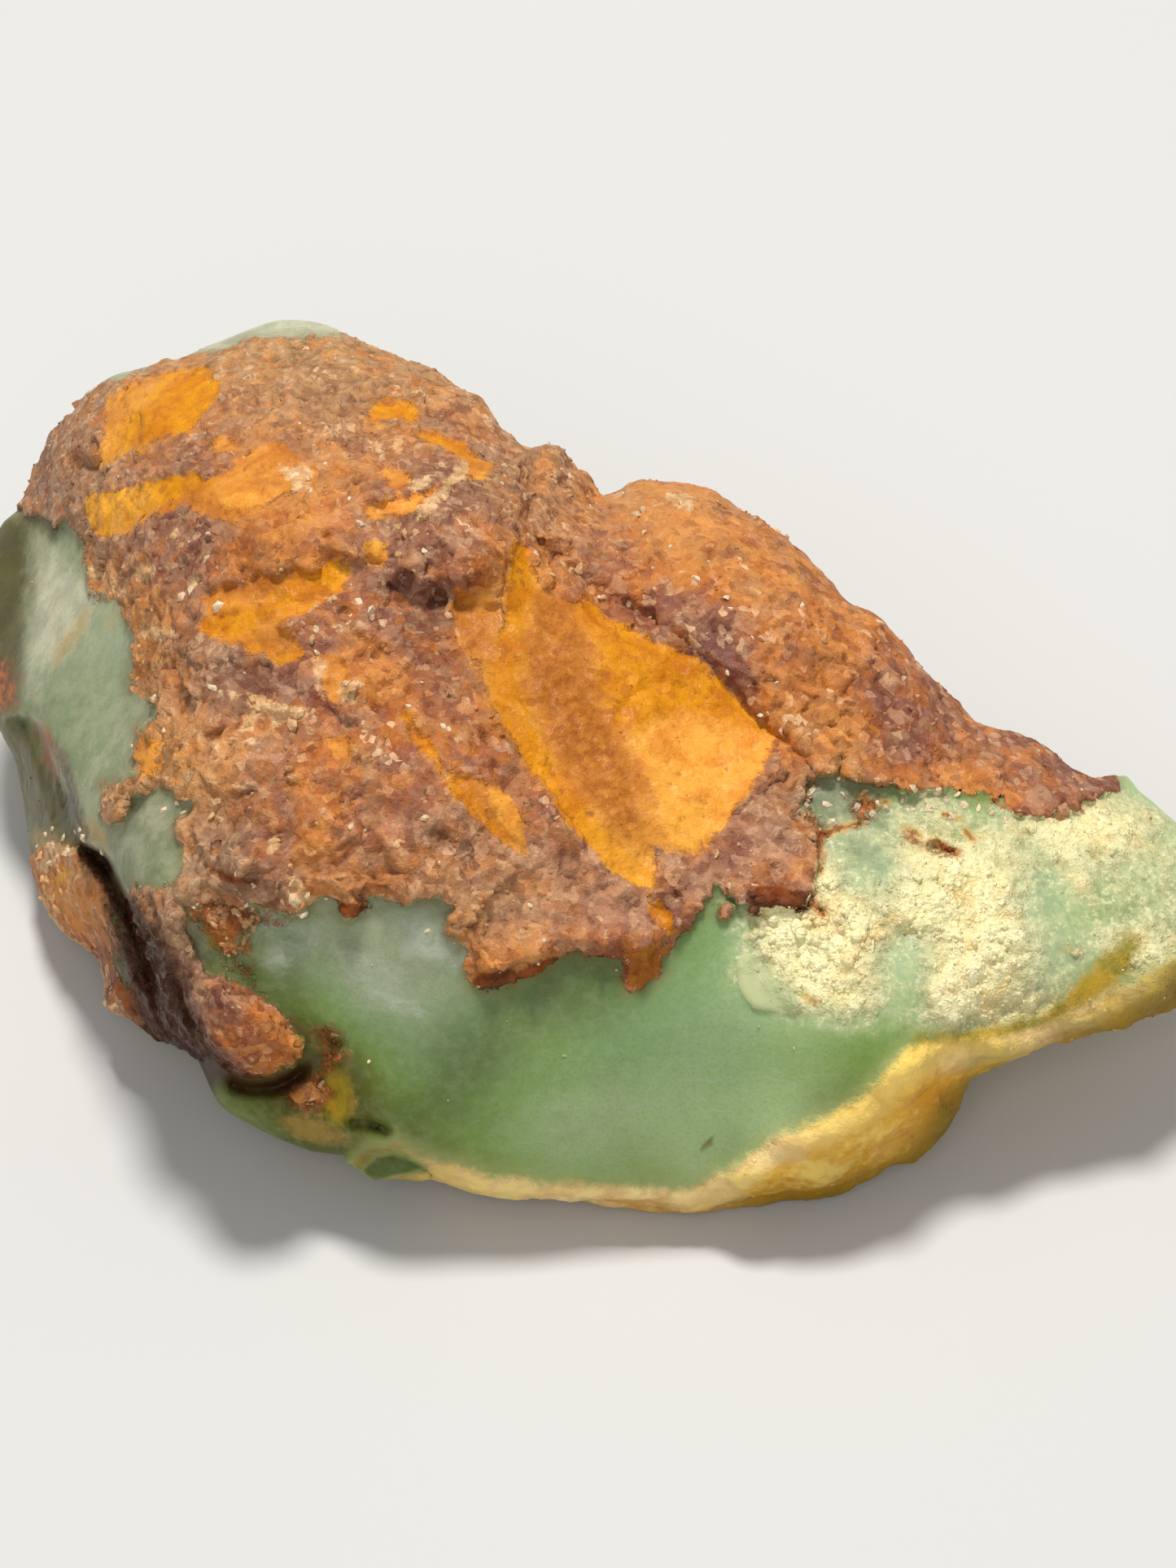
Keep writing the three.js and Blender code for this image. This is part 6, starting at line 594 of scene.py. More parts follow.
def noise(p, scale, seed):
    """Smooth noise from about -1 to 1, with features 1 / scale mm apart."""
    q = p * scale + 1000.37 + seed * 7.31
    f = np.floor(q)
    u = (q - f).astype(np.float32)
    i = f.astype(np.int64)
    w = u * u * u * (u * (u * 6 - 15) + 10)
    out = 0
    for a in (0, 1):
        for b in (0, 1):
            for c in (0, 1):
                h = _hash(i[:, 0] + a, i[:, 1] + b, i[:, 2] + c, seed)
                gx = (h & np.uint32(1023)).astype(np.float32) / 511.5 - 1
                gy = ((h >> np.uint32(10)) & np.uint32(1023)).astype(np.float32) / 511.5 - 1
                gz = ((h >> np.uint32(20)) & np.uint32(1023)).astype(np.float32) / 511.5 - 1
                g = gx * (u[:, 0] - a) + gy * (u[:, 1] - b) + gz * (u[:, 2] - c)
                g *= (w[:, 0] if a else 1 - w[:, 0]) * (w[:, 1] if b else 1 - w[:, 1]) * (w[:, 2] if c else 1 - w[:, 2])
                out = out + g
    return out * 1.45


def cells(p, scale, seed):
    """Scattered points 1 / scale mm apart: distance to the nearest, to the next, and a tilt that is the nearest one's own."""
    q = p * scale + 500.77 + seed * 3.17
    f = np.floor(q)
    i = f.astype(np.int64)
    u = (q - f).astype(np.float32)
    d1 = np.full(len(p), 9, np.float32)
    d2 = np.full(len(p), 9, np.float32)
    tilt = np.zeros(len(p), np.float32)
    shade = np.zeros(len(p), np.float32)
    for a in (-1, 0, 1):
        for b in (-1, 0, 1):
            for c in (-1, 0, 1):
                h = _hash(i[:, 0] + a, i[:, 1] + b, i[:, 2] + c, seed)
                h2 = _hash(i[:, 0] + a, i[:, 1] + b, i[:, 2] + c, seed + 71)
                r = [((g >> np.uint32(s)) & np.uint32(1023)).astype(np.float32) / 1023 for g in (h, h2) for s in (0, 10, 20)]
                v = [a + r[0] - u[:, 0], b + r[1] - u[:, 1], c + r[2] - u[:, 2]]
                d = np.sqrt(v[0] ** 2 + v[1] ** 2 + v[2] ** 2)
                near = d < d1
                d2 = np.where(near, d1, np.minimum(d2, d))
                tilt = np.where(near, -(v[0] * (r[3] * 2 - 1) + v[1] * (r[4] * 2 - 1) + v[2] * (r[5] * 2 - 1)), tilt)
                shade = np.where(near, r[3], shade)
                d1 = np.where(near, d, d1)
    return d1, d2, tilt, shade


# ------------------------------------------------------------------ the plate
S0, S1, T0, T1 = -32.0, 34.0, -24.0, 25.0
GS = np.arange(S0, S1 + 1e-6, PITCH)
GT = np.arange(T0, T1 + 1e-6, PITCH)
NS, NT = len(GS), len(GT)
SS, TT = np.meshgrid(GS, GT)          # rows are t


def cubic_rows(fine, coarse):
    """Matrix that reads a coarse row at fine places, smoothly."""
    step = coarse[1] - coarse[0]
    x = (fine - coarse[0]) / step
    i = np.clip(np.floor(x).astype(int), 1, len(coarse) - 3)
    u = x - i
    m = np.zeros((len(fine), len(coarse)))
    w = [-0.5 * u ** 3 + u ** 2 - 0.5 * u, 1.5 * u ** 3 - 2.5 * u ** 2 + 1, -1.5 * u ** 3 + 2 * u ** 2 + 0.5 * u, 0.5 * u ** 3 - 0.5 * u ** 2]
    for k in range(4):
        m[np.arange(len(fine)), i + k - 1] += w[k]
    return m


CS, CT = np.arange(S0 - 1, S1 + 2, 0.6), np.arange(T0 - 1, T1 + 2, 0.6)
MS, MT = cubic_rows(GS, CS), cubic_rows(GT, CT)


def spread(fn):
    s, t = np.meshgrid(CS, CT)
    return MT @ fn(s, t) @ MS.T


def read(grid, s, t):
    x = np.clip((s - S0) / PITCH, 0, NS - 1.001)
    y = np.clip((t - T0) / PITCH, 0, NT - 1.001)
    i, j = x.astype(np.int32), y.astype(np.int32)
    u, v = (x - i).astype(np.float32), (y - j).astype(np.float32)
    g = grid.ravel()
    q = j * NS + i
    return (g[q] * (1 - u) + g[q + 1] * u) * (1 - v) + (g[q + NS] * (1 - u) + g[q + NS + 1] * u) * v


def on_plate(p):
    """s, t, height and scale of points in the stone's own frame."""
    r = p - EYE
    w = r @ AXIS
    return STATION * r[:, 0] / w, STATION * (r @ UP) / w, STATION - w, w / STATION


def off_plate(s, t, h):
    k = (STATION - h) / STATION
    return EYE + (np.stack([s, s * 0, s * 0], -1) + t[..., None] * UP + STATION * AXIS) * k[..., None]


EDGE = inside([o[:2] for o in OUTLINE], SS, TT)
BODY = EDGE > -1.5
f0 = spread(sheet(FRONT + OUTLINE, 0.6))
ledge = spread(sheet(LEDGE_TOP, 0.3))
back0 = spread(sheet(BACK + [[s, t, h - 1.4] for s, t, h in OUTLINE], 0.6))
PF = off_plate(SS, TT, f0)[BODY]      # points on the plain front sheet
bs, bt = SS[BODY], TT[BODY]


n_a, n_b, n_c, n_d = noise(PF, 0.35, 1), noise(PF, 0.9, 2), noise(PF, 2.1, 3), noise(PF, 4.3, 4)
ragged = 0.26 * n_a + 0.28 * n_b + 0.2 * n_c + 0.1 * n_d


def area(poly, wobble=1.0):
    return inside(poly, bs, bt) + wobble * ragged


def areas(polys, wobble=1.0):
    return np.max([inside(p, bs, bt) for p in polys], 0) + wobble * ragged


def bell(x, width):
    return np.exp(-(x / width) ** 2)


rind = np.maximum(area(RIND, 1.25), areas(ISLANDS, 0.7))
rind = np.minimum(rind, -areas(GREENS, 0.9))
clump = area(CLUMP, 1.3)
rind = np.maximum(rind, clump)
brk = areas(BREAKS, 0.35)
# broken faces and rust, and dark paint for shade along the crack and under the lump
rusts_and_shade = np.maximum(areas(BREAKS[:1] + BREAKS[2:], 0.35), areas(RUSTS_AND_SHADES, 0.9))
ochre = areas(OCHRE, 0.6)
ledge_in = inside(LEDGE, bs, bt) + 0.14 * n_b
cream = area(CREAM, 0.7)
near_break = bell(np.maximum(-brk, 0), 1.0)

h = f0[BODY]
# sum of the shade that is painted dark into creases, hollows, gaps, cracks and pits
painted_recess_shade = np.zeros(len(bs))
thick = 0.42 + 0.55 * near_break
wide = 0.2 + 1.0 * near_break
islet = smooth(0.0, -0.35, area(RIND, 1.25)) * smooth(0.0, -0.3, clump)      # thin where it stands apart
h = h + thick * (1 - 0.65 * islet) * smooth(-0.05, 1, rind / wide)
h = h + (0.25 + 1.15 * smooth(-20.5, -15.8, bs)) * smooth(-0.03, 0.9, clump)
# broken flat faces: a little lower than the rind round them
flat = smooth(-0.05, 0.3, ochre)
h = h - 0.26 * flat * smooth(0.1, 0.5, rind)
lights = areas(LIGHTS, 0.45)
h = h + 0.16 * smooth(-0.05, 0.12, lights)
# crease between the lobes: sharp on both sides, steeper under the right lobe; the shade in it is also painted dark
d, side = side_distance(CREASE, bs, bt)
d = np.abs(d + 0.35 * n_b * np.minimum(d, 1))
c = 0.95 * np.where(side > 0, np.exp(-d / 0.8), np.exp(-d / 0.4))
h, painted_recess_shade = h - c, painted_recess_shade + 0.45 * c * smooth(0.35, 0.05, d)
# hollow under the left lobe's lip, with its shade painted dark
d, side = side_distance(HOLLOW, bs, bt)
d = np.abs(d + 0.3 * n_b * np.minimum(d, 1))
c = np.where(side > 0, 0.5 * bell(d, 1.7), 0.5 * bell(d, 0.7))
h, painted_recess_shade = h - c, painted_recess_shade + 0.3 * c
# gap under the lump's nose, with its shade painted dark
d = line_distance(CAVE, bs, bt)
c = 1.1 * bell(d, 0.34) * smooth(0.25, -0.1, clump)
h, painted_recess_shade = h - c, painted_recess_shade + 0.6 * c
# a pit in the rim, its shade painted dark
d = line_distance(RIMPIT, bs, bt)
c = 0.8 * bell(d, 0.3)
h, painted_recess_shade = h - c, painted_recess_shade + 0.5 * c
# ledge outside the lip, the crack behind it and the hole at its head; the shade in the crack and the hole is painted
# dark too
out = smooth(-0.12, 0.12, ledge_in)
h = h + (np.minimum(ledge[BODY] + 0.25 * n_b + 0.12 * n_c, h) - h) * out
d = line_distance(GROOVE, bs, bt) + 0.12 * n_b
c = 0.8 * bell(d, 0.26) * (1 + 0.5 * n_b) * (0.3 + 0.7 * smooth(-8.5, -4.0, bt))
h, painted_recess_shade = h - c, painted_recess_shade + 0.3 * c + 0.5 * bell(d, 0.3)
d = line_distance(HOLE, bs, bt) + 0.12 * n_b
c = 1.2 * bell(d, 0.32)
h, painted_recess_shade = h - c, painted_recess_shade + 0.5 * c
# pits, each with its shade painted dark
for ps, pt, pr, pd in PITS:
    d = np.sqrt(((bs - ps) * (1 + 0.3 * n_a)) ** 2 + ((bt - pt) * 1.25) ** 2) + 0.12 * n_c
    c = 0.8 * pd * bell(d, pr * 0.7) * (1 + n_c)
    h, painted_recess_shade = h - c, painted_recess_shade + 1.0 * c
for ps, pt, pr, pd in BUMPS:
    d = np.sqrt((bs - ps) ** 2 + (bt - pt) ** 2) * (1 + 0.35 * n_b)
    h = h + pd * smooth(1.25, 0.15, d / pr)
# a sharp ridge along the lip, with a highlight painted along its crest
lip_highlight = line_distance(LIPLINE, bs, bt) + 0.05 * n_c
h = h + 0.07 * bell(lip_highlight, 0.16)
# the skin along the rim swells out and then rolls under
h = h + 0.42 * bell(cream - 0.9, 0.75) * (1 + 0.5 * n_a) * smooth(-9.0, -4.0, bs) * (1 - 0.45 * smooth(15.0, 18.0, bs))
# translucent chip standing on the green face
chip = area(CHIP, 0.12)
h = h + 0.2 * smooth(-0.04, 0.1, chip)


def grid_of(values, empty=-9.0):
    g = np.full(SS.shape, empty, np.float32)
    g[BODY] = values
    return g


def blobs(points, ease, lo=-1.0, hi=1.0):
    return grid_of(np.clip(spread(sheet(points, ease))[BODY], lo, hi), lo)


FRONT_H, BACK_H = grid_of(h, 0), grid_of(back0[BODY], 0)
EDGE_G = EDGE.astype(np.float32)
G = {"rind": grid_of(rind), "clump": grid_of(clump), "brk": grid_of(rusts_and_shade), "olive_and_shade": grid_of(areas(OLIVES_AND_SHADE, 0.9)), "ochre": grid_of(ochre), "ledge": grid_of(ledge_in),
     "chip": grid_of(chip), "light": grid_of(lights), "yellow": grid_of(areas(YELLOW, 0.45)), "brown": grid_of(areas(BROWNS, 0.6)),
     "cream": grid_of(cream), "band": grid_of(areas(BANDS, 0.6)), "stain": grid_of(areas(STAINS, 1.2)), "streak": grid_of(areas(STREAKS, 0.25)),
     "tan": grid_of(areas(TANS, 0.4)), "white_and_highlight": grid_of(areas(WHITES_AND_HIGHLIGHTS, 0.5)), "wash": grid_of(areas(OCHSTREAK, 0.4)), "recess_shade": grid_of(np.clip(painted_recess_shade, 0, 2), 0), "lip_highlight": grid_of(bell(lip_highlight, 0.12) * smooth(-0.5, 0.4, n_b + 0.3), 0),
     "painted_shade": grid_of(areas(SHADES, 0.8)), "painted_sheen": grid_of(areas(PAINTED_SHEENS, 0.5)), "rust": grid_of(areas(RUSTWASH, 1.0)), "crack": grid_of(np.max([bell(line_distance(q, bs, bt) + 0.1 * n_c, 0.18) for q in CRACKS], 0) * smooth(-0.9, 0.1, n_c + 0.4 * n_b), 0), "pale": blobs(PALE, 1.0, 0, 1), "dens": blobs(DENS, 2.0, -1, 1.3), "warm": blobs(WARM, 2.0), "tone_and_painted_light": blobs(TONE_AND_PAINTED_LIGHT, 2.0), "yel": blobs(YEL, 1.0), "green_tone_and_painted_light": blobs(GREEN_TONE_AND_PAINTED_LIGHT, 1.0)}


def slope_of(g):
    gt, gs = np.gradient(g, PITCH)
    k = 3                                    # eased over a few cells
    for _ in range(k):
        gt = (gt + np.roll(gt, 1, 0) + np.roll(gt, -1, 0) + np.roll(gt, 1, 1) + np.roll(gt, -1, 1)) / 5
        gs = (gs + np.roll(gs, 1, 0) + np.roll(gs, -1, 0) + np.roll(gs, 1, 1) + np.roll(gs, -1, 1)) / 5
    return np.sqrt(1 + gt * gt + gs * gs).astype(np.float32)


FLAKE_G = inside(FLAKE, SS, TT).astype(np.float32)
FLAKE_H = min(OUTLINE, key=lambda o: (o[0] - FLAKE[0][0]) ** 2 + (o[1] - FLAKE[0][1]) ** 2)[2]
FRONT_SLOPE, BACK_SLOPE = slope_of(FRONT_H), slope_of(BACK_H)
print("plate %.1f s" % (time.time() - T_START))


def field(p):
    s, t, h, k = on_plate(p)
    e = read(EDGE_G, s, t) * k + 0.32
    a = (read(FRONT_H, s, t) - h) / read(FRONT_SLOPE, s, t)
    b = (h - read(BACK_H, s, t)) / read(BACK_SLOPE, s, t)
    f = np.where(e < -1.0, e, smin(smin(a, b, 1.3), e, 1.5))
    g = read(FLAKE_G, s, t) * k
    near = g > -1.0
    g[near] = smin(g[near] + 0.1, 0.42 - np.abs(h[near] - FLAKE_H - 0.3 + 0.12 * (s[near] + 10)), 0.4)
    return np.minimum(np.maximum(f, np.minimum(g, 1.0)), p[:, 2])


# ------------------------------------------------------------------ the fine surface
def surface(lo, hi, cell):
    n = np.ceil((np.array(hi) - lo) / cell).astype(int)
    n = (n + 3) // 4 * 4
    c = 4 * cell
    axes = [lo[k] + c * np.arange(n[k] // 4 + 1) for k in range(3)]
    grid = np.stack(np.meshgrid(*axes, indexing="ij"), -1)
    fc = field(grid.reshape(-1, 3)).reshape(grid.shape[:3])
    corner = [fc[a:fc.shape[0] - 1 + a, b:fc.shape[1] - 1 + b, d:fc.shape[2] - 1 + d] for a in (0, 1) for b in (0, 1) for d in (0, 1)]
    low, high = np.min(corner, 0), np.max(corner, 0)
    near = (low < 1.3) & (high > -1.3)
    v = np.repeat(np.repeat(np.repeat(low * 0 + np.mean(corner, 0), 4, 0), 4, 1), 4, 2).astype(np.float32)
    v = v.reshape(near.shape[0], 4, near.shape[1], 4, near.shape[2], 4)
    idx = np.argwhere(near)
    off = np.stack(np.meshgrid(*[np.arange(4)] * 3, indexing="ij"), -1).reshape(-1, 3)
    for part in np.array_split(np.arange(len(idx)), max(1, len(idx) // 8000)):
        p = (idx[part, None, :] * 4 + off[None]).reshape(-1, 3) * cell + lo
        v[idx[part, 0], :, idx[part, 1], :, idx[part, 2], :] = field(p).reshape(-1, 4, 4, 4).astype(np.float32)
    v = v.reshape(near.shape[0] * 4, near.shape[1] * 4, near.shape[2] * 4)
    cy, cz = v.shape[1], v.shape[2]
    ids, pos, quads = [], [], []
    for ax in range(3):
        a = v[tuple(slice(0, -1) if k == ax else slice(None) for k in range(3))]
        b = v[tuple(slice(1, None) if k == ax else slice(None) for k in range(3))]
        m = (a > 0) != (b > 0)
        e = np.argwhere(m)
        av, bv = a[m], b[m]
        p = e.astype(np.float64)
        p[:, ax] += av / (av - bv)
        u_ax, w_ax = (ax + 1) % 3, (ax + 2) % 3
        four = []
        for du, dw in ((-1, -1), (0, -1), (0, 0), (-1, 0)):
            q = e.copy()
            q[:, u_ax] += du
            q[:, w_ax] += dw
            four.append((q[:, 0] * cy + q[:, 1]) * cz + q[:, 2])
        four = np.stack(four, 1)
        ids.append(four.ravel())
        pos.append(np.repeat(p, 4, 0))
        quads.append(np.where((av > 0)[:, None], four, four[:, ::-1]))
    ids, pos = np.concatenate(ids), np.concatenate(pos)
    cells_used, inv = np.unique(ids, return_inverse=True)
    count = np.bincount(inv)
    verts = np.stack([np.bincount(inv, pos[:, k]) for k in range(3)], 1) / count[:, None] * cell + lo
    faces = np.searchsorted(cells_used, np.concatenate(quads))
    return verts, faces


LOW = np.array([-31.0, -31.0, -0.733])
verts, faces = surface(LOW, [31.0, 18.5, 24.0], CELL)
print("surface %.1f s, %d vertices, %d quads" % (time.time() - T_START, len(verts), len(faces)))


def gradient(p, e=0.06):
    g = np.empty_like(p)
    for k in range(3):
        d = np.zeros(3)
        d[k] = e
        g[:, k] = (field(p + d) - field(p - d)) / (2 * e)
    return g


flat_v = verts[:, 2] < 0.02
first = verts.copy()
for _ in range(2):
    g = gradient(verts)
    gg = np.maximum((g * g).sum(1), 0.25)
    verts = verts - (field(verts) / gg)[:, None] * g
    verts = np.clip(verts, first - 0.4 * CELL, first + 0.4 * CELL)
verts[flat_v, 2] = 0


def vertex_normals(v, f):
    a, b, c, d = (v[f[:, k]] for k in range(4))
    n = np.cross(c - a, d - b)
    out = np.zeros_like(v)
    for k in range(4):
        for x in range(3):
            out[:, x] += np.bincount(f[:, k], n[:, x], len(v))
    return out / (np.linalg.norm(out, axis=1)[:, None] + 1e-12)


# ------------------------------------------------------------------ what covers each spot
def cover(p):
    """The areas at points of the surface, in mm inside each area's edge, on the sides that the tables don't reach too."""
    s, t, h, _ = on_plate(p)
    a = {k: read(g, s, t) for k, g in G.items()}
    depth = (read(FRONT_H, s, t) - h) / read(FRONT_SLOPE, s, t)
    rear = smooth(1.0, 3.6, depth)
    x, y, z = p.T
    w1, w2, w3 = noise(p, 0.11, 11), noise(p, 0.33, 12), noise(p, 0.95, 13)
    wob = 1.6 * w1 + 0.8 * w2 + 0.35 * w3
    window = 6.2 - np.sqrt(((x + 12.5) / 1.75) ** 2 + ((y - 12.5) / 1.4) ** 2 + ((z - 13.5) / 1.0) ** 2) + wob
    left = 4.2 - np.sqrt(((x + 27) / 1.2) ** 2 + ((y - 2) / 1.9) ** 2 + ((z - 9.5) / 1.3) ** 2) + 0.6 * wob
    window = np.maximum(window, left)
    skin = np.maximum(4.6 - z, (x - 19.5) * 0.9) + 1.3 * wob
    a["rind_b"] = -np.maximum(window, skin)
    for name, other in (("rind", a["rind_b"]), ("cream", np.minimum(skin, 3.0))):
        a[name] = a[name] * (1 - rear) + other * rear
    for name in ("painted_shade", "rust", "band", "olive_and_shade", "tan", "white_and_highlight", "wash", "ochre", "brk", "stain", "light", "yellow", "brown", "streak", "chip", "clump", "ledge"):
        a[name] = a[name] * (1 - rear) - 3.0 * rear
    patches = noise(p, 0.16, 15) * 3.0 - 1.5 + 0.6 * w3
    a["ochre"] = np.maximum(a["ochre"], patches * rear - 3 * (1 - rear))
    for name in ("recess_shade", "lip_highlight", "crack"):
        a[name] = a[name] * (1 - rear)
    a["dens"] = a["dens"] * (1 - rear) + rear * (-0.2 + 1.1 * w2)
    a["warm"] = a["warm"] * (1 - rear) + rear * np.clip(w2 * 1.3 + 0.1, -1, 1)
    a["tone_and_painted_light"] = a["tone_and_painted_light"] * (1 - rear) + rear * np.clip(w1 * 1.3, -1, 1)
    a["yel"] = a["yel"] * (1 - rear) + rear * np.clip(0.2 - window * 0.15 + w2, -1, 1)
    a["pale"] = a["pale"] * (1 - rear) + rear * np.clip(0.3 + w2, 0, 1)
    a["green_tone_and_painted_light"] = a["green_tone_and_painted_light"] * (1 - rear) + rear * np.clip(w2 * 1.2, -1, 1)
    a["rear"] = rear
    return a


NAMES = ("painted_sheen", "painted_shade", "rust", "crack", "pale", "band", "olive_and_shade", "tan", "white_and_highlight", "wash", "rind", "ochre", "cream", "brk", "dens", "warm", "tone_and_painted_light", "light", "yellow", "brown", "stain", "streak", "chip", "clump", "ledge", "rear", "recess_shade", "lip_highlight", "yel", "green_tone_and_painted_light")


def weights(a):
    w = {}
    w["rind"] = smooth(-0.05, 0.25, a["rind"])
    w["ochre"] = smooth(-0.05, 0.25, a["ochre"]) * w["rind"]
    crust = smooth(0.0, 0.5, a["dens"]) * (1 - w["rind"])
    w["cream"] = smooth(-0.4, 0.6, a["cream"]) * (1 - w["rind"])
    w["crust"] = crust * (1 - 0.6 * w["cream"]) * (1 - 0.8 * smooth(-0.4, 0.2, a["band"]))
    return w


def warped(p, amount, scale, seed):
    return p + amount * np.stack([noise(p, scale, seed + k) for k in range(3)], 1)


normals = vertex_normals(verts, faces)
a = cover(verts)
w = weights(a)
P = verts
Q = warped(P, 0.4, 0.7, 61)
s, t, h, _ = on_plate(P)
outer = smooth(2.4, 0.3, read(EDGE_G, s, t))             # worn smoother towards its outline
lobe = smooth(-1.0, 1.0, read(grid_of(np.max([inside(q, bs, bt) for q in CALM], 0)), s, t)) * (1 - a["rear"])
big = 0.22 * noise(P, 0.24, 21) + 0.16 * noise(P, 0.55, 22)
d1, d2, tilt, shade = cells(warped(P, 0.9, 0.35, 67), 0.21, 39)
big = big + 0.42 * tilt * (1 - 0.5 * lobe)
d1, d2, tilt, shade = cells(Q, 0.42, 31)
chips = 0.26 * tilt * (1 - 0.4 * lobe)
d1, d2, tilt, shade = cells(Q, 0.95, 32)
chips = chips + (0.17 * tilt - 0.04 * smooth(0.12, 0.0, d2 - d1)) * (1 - 0.3 * lobe)
pits = -0.09 * smooth(0.34, 0.1, d1) * (shade > 0.6)
e1, e2, tilt2, shade2 = cells(Q, 1.9, 38)
chips = chips + 0.11 * tilt2 - 0.02 * smooth(0.12, 0.0, e2 - e1)
fine = 0.05 * noise(P, 1.7, 23) + 0.03 * noise(P, 3.4, 24)
rind_relief = big * (1 - 0.35 * outer) + chips * (1 - 0.6 * outer) + fine + pits
ochre_relief = 0.3 * big + 0.22 * chips + 0.05 * noise(P, 0.9, 25) + 0.03 * noise(P, 2.6, 26)
c1, c2, ct, cs_ = cells(Q, 1.05, 33)
g1, g2, gt_, gs_ = cells(Q, 2.2, 34)
crust_relief = 0.36 * (0.45 - c1) + 0.12 * ct + 0.12 * (0.45 - g1) + 0.05 * gt_ + 0.28 * noise(P, 0.45, 27)
flow = np.stack([(P[:, 0] - 0.5 * P[:, 1]) * 0.4, P[:, 1] + 0.3 * P[:, 0], P[:, 2]], 1)
cream_relief = 0.5 * noise(flow, 0.34, 28) + 0.26 * noise(flow, 0.75, 29) + 0.1 * noise(flow, 1.6, 40) + 0.05 * noise(P, 1.7, 30) + 0.025 * noise(P, 3.6, 36) + 0.06 * gt_
green_relief = 0.05 * noise(P, 0.17, 35) + 0.012 * noise(P, 0.7, 37)
ledge_w = smooth(0.0, 0.4, a["ledge"]) * (1 - w["rind"])
stain_w = smooth(-0.2, 0.4, a["stain"]) * (1 - w["rind"])
relief = green_relief * (1 - w["rind"]) * (1 - w["cream"]) * (1 - w["crust"])
relief += cream_relief * w["cream"]
relief += crust_relief * w["crust"] * (1 - w["cream"] * 0.4)
relief += (rind_relief * (1 - 0.85 * w["ochre"]) + ochre_relief * 0.85 * w["ochre"]) * w["rind"]
relief += ledge_w * (0.2 * chips + 0.1 * noise(P, 0.6, 39)) + stain_w * (0.5 * chips + 0.6 * crust_relief)
relief *= 1 - 0.5 * smooth(0.0, 0.5, a["ledge"])
relief += 0.35 * w["rind"] * a["rear"]
relief *= smooth(-0.1, 0.6, P[:, 2])
# relief left after the broad swell; the material paints shade into its hollows and highlights onto its high points
cavity = (relief - 0.85 * big * w["rind"]).astype(np.float32)
verts = verts + normals * relief[:, None]
verts[:, 2] = np.maximum(verts[:, 2], 0)
verts[flat_v, 2] = 0
print("relief %.1f s" % (time.time() - T_START))

# ------------------------------------------------------------------ the mesh
def new_mesh(name, v, f):
    me = bpy.data.meshes.new(name)
    me.vertices.add(len(v))
    me.vertices.foreach_set("co", np.ascontiguousarray(v, np.float32).ravel())
    k = f.shape[1]
    me.loops.add(f.size)
    me.loops.foreach_set("vertex_index", np.ascontiguousarray(f, np.int32).ravel())
    me.polygons.add(len(f))
    me.polygons.foreach_set("loop_start", np.arange(0, f.size, k, dtype=np.int32))
    me.polygons.foreach_set("loop_total", np.full(len(f), k, np.int32))
    me.polygons.foreach_set("use_smooth", np.ones(len(f), bool))
    me.update()
    me.validate()
    return me


def put(me, name, values):
    at = me.attributes.get(name) or me.attributes.new(name, "FLOAT", "POINT")
    at.data.foreach_set("value", np.ascontiguousarray(values, np.float32))


SHIFT = np.array([ORIGIN[0], ORIGIN[1], 0.0])
me = new_mesh("chrysoprase", (verts - SHIFT) / 1000.0, faces)
put(me, "cavity", cavity)
stone = bpy.data.objects.new("chrysoprase", me)
bpy.context.scene.collection.objects.link(stone)
tris = 2 * len(faces)
if tris > MAX_TRIS:
    mod = stone.modifiers.new("thin_glow", "DECIMATE")
    mod.ratio = MAX_TRIS / tris
    mod.use_collapse_triangulate = True
    dg = bpy.context.evaluated_depsgraph_get()
    me = bpy.data.meshes.new_from_object(stone.evaluated_get(dg), preserve_all_data_layers=True, depsgraph=dg)
    stone.modifiers.clear()
    stone.data = me
    me.name = "chrysoprase"
print("mesh %.1f s, %d vertices, %d faces" % (time.time() - T_START, len(me.vertices), len(me.polygons)))



def corners(m):
    out = np.zeros(len(m.vertices) * 3, np.float32)
    m.vertices.foreach_get("co", out)
    return out.reshape(-1, 3).astype(np.float64) * 1000 + SHIFT


def dress(m, p, more=None):
    """Gives a mesh what its material asks at each corner."""
    a = cover(p)
    s, t, h, _ = on_plate(p)
    flaky = smooth(-0.5, 0.45, read(FLAKE_G, s, t) + 0.3 * noise(p, 1.1, 19)) * smooth(0.2, 0.9, a["cream"])
    a["cream"] = a["cream"] * (1 - flaky) - 1.3 * flaky
    for name in NAMES:
        put(m, "c_" + name, a[name])
    put(m, "c_thin", np.clip(read(FRONT_H, s, t) - read(BACK_H, s, t), 0, 12))
    for name, values in (more or {}).items():
        put(m, name, values)


P = corners(me)
P[:, 2] = np.maximum(P[:, 2], 0)
me.vertices.foreach_set("co", np.ascontiguousarray((P - SHIFT) / 1000, np.float32).ravel())
me.update()
dress(me, P)
print("attributes %.1f s" % (time.time() - T_START))

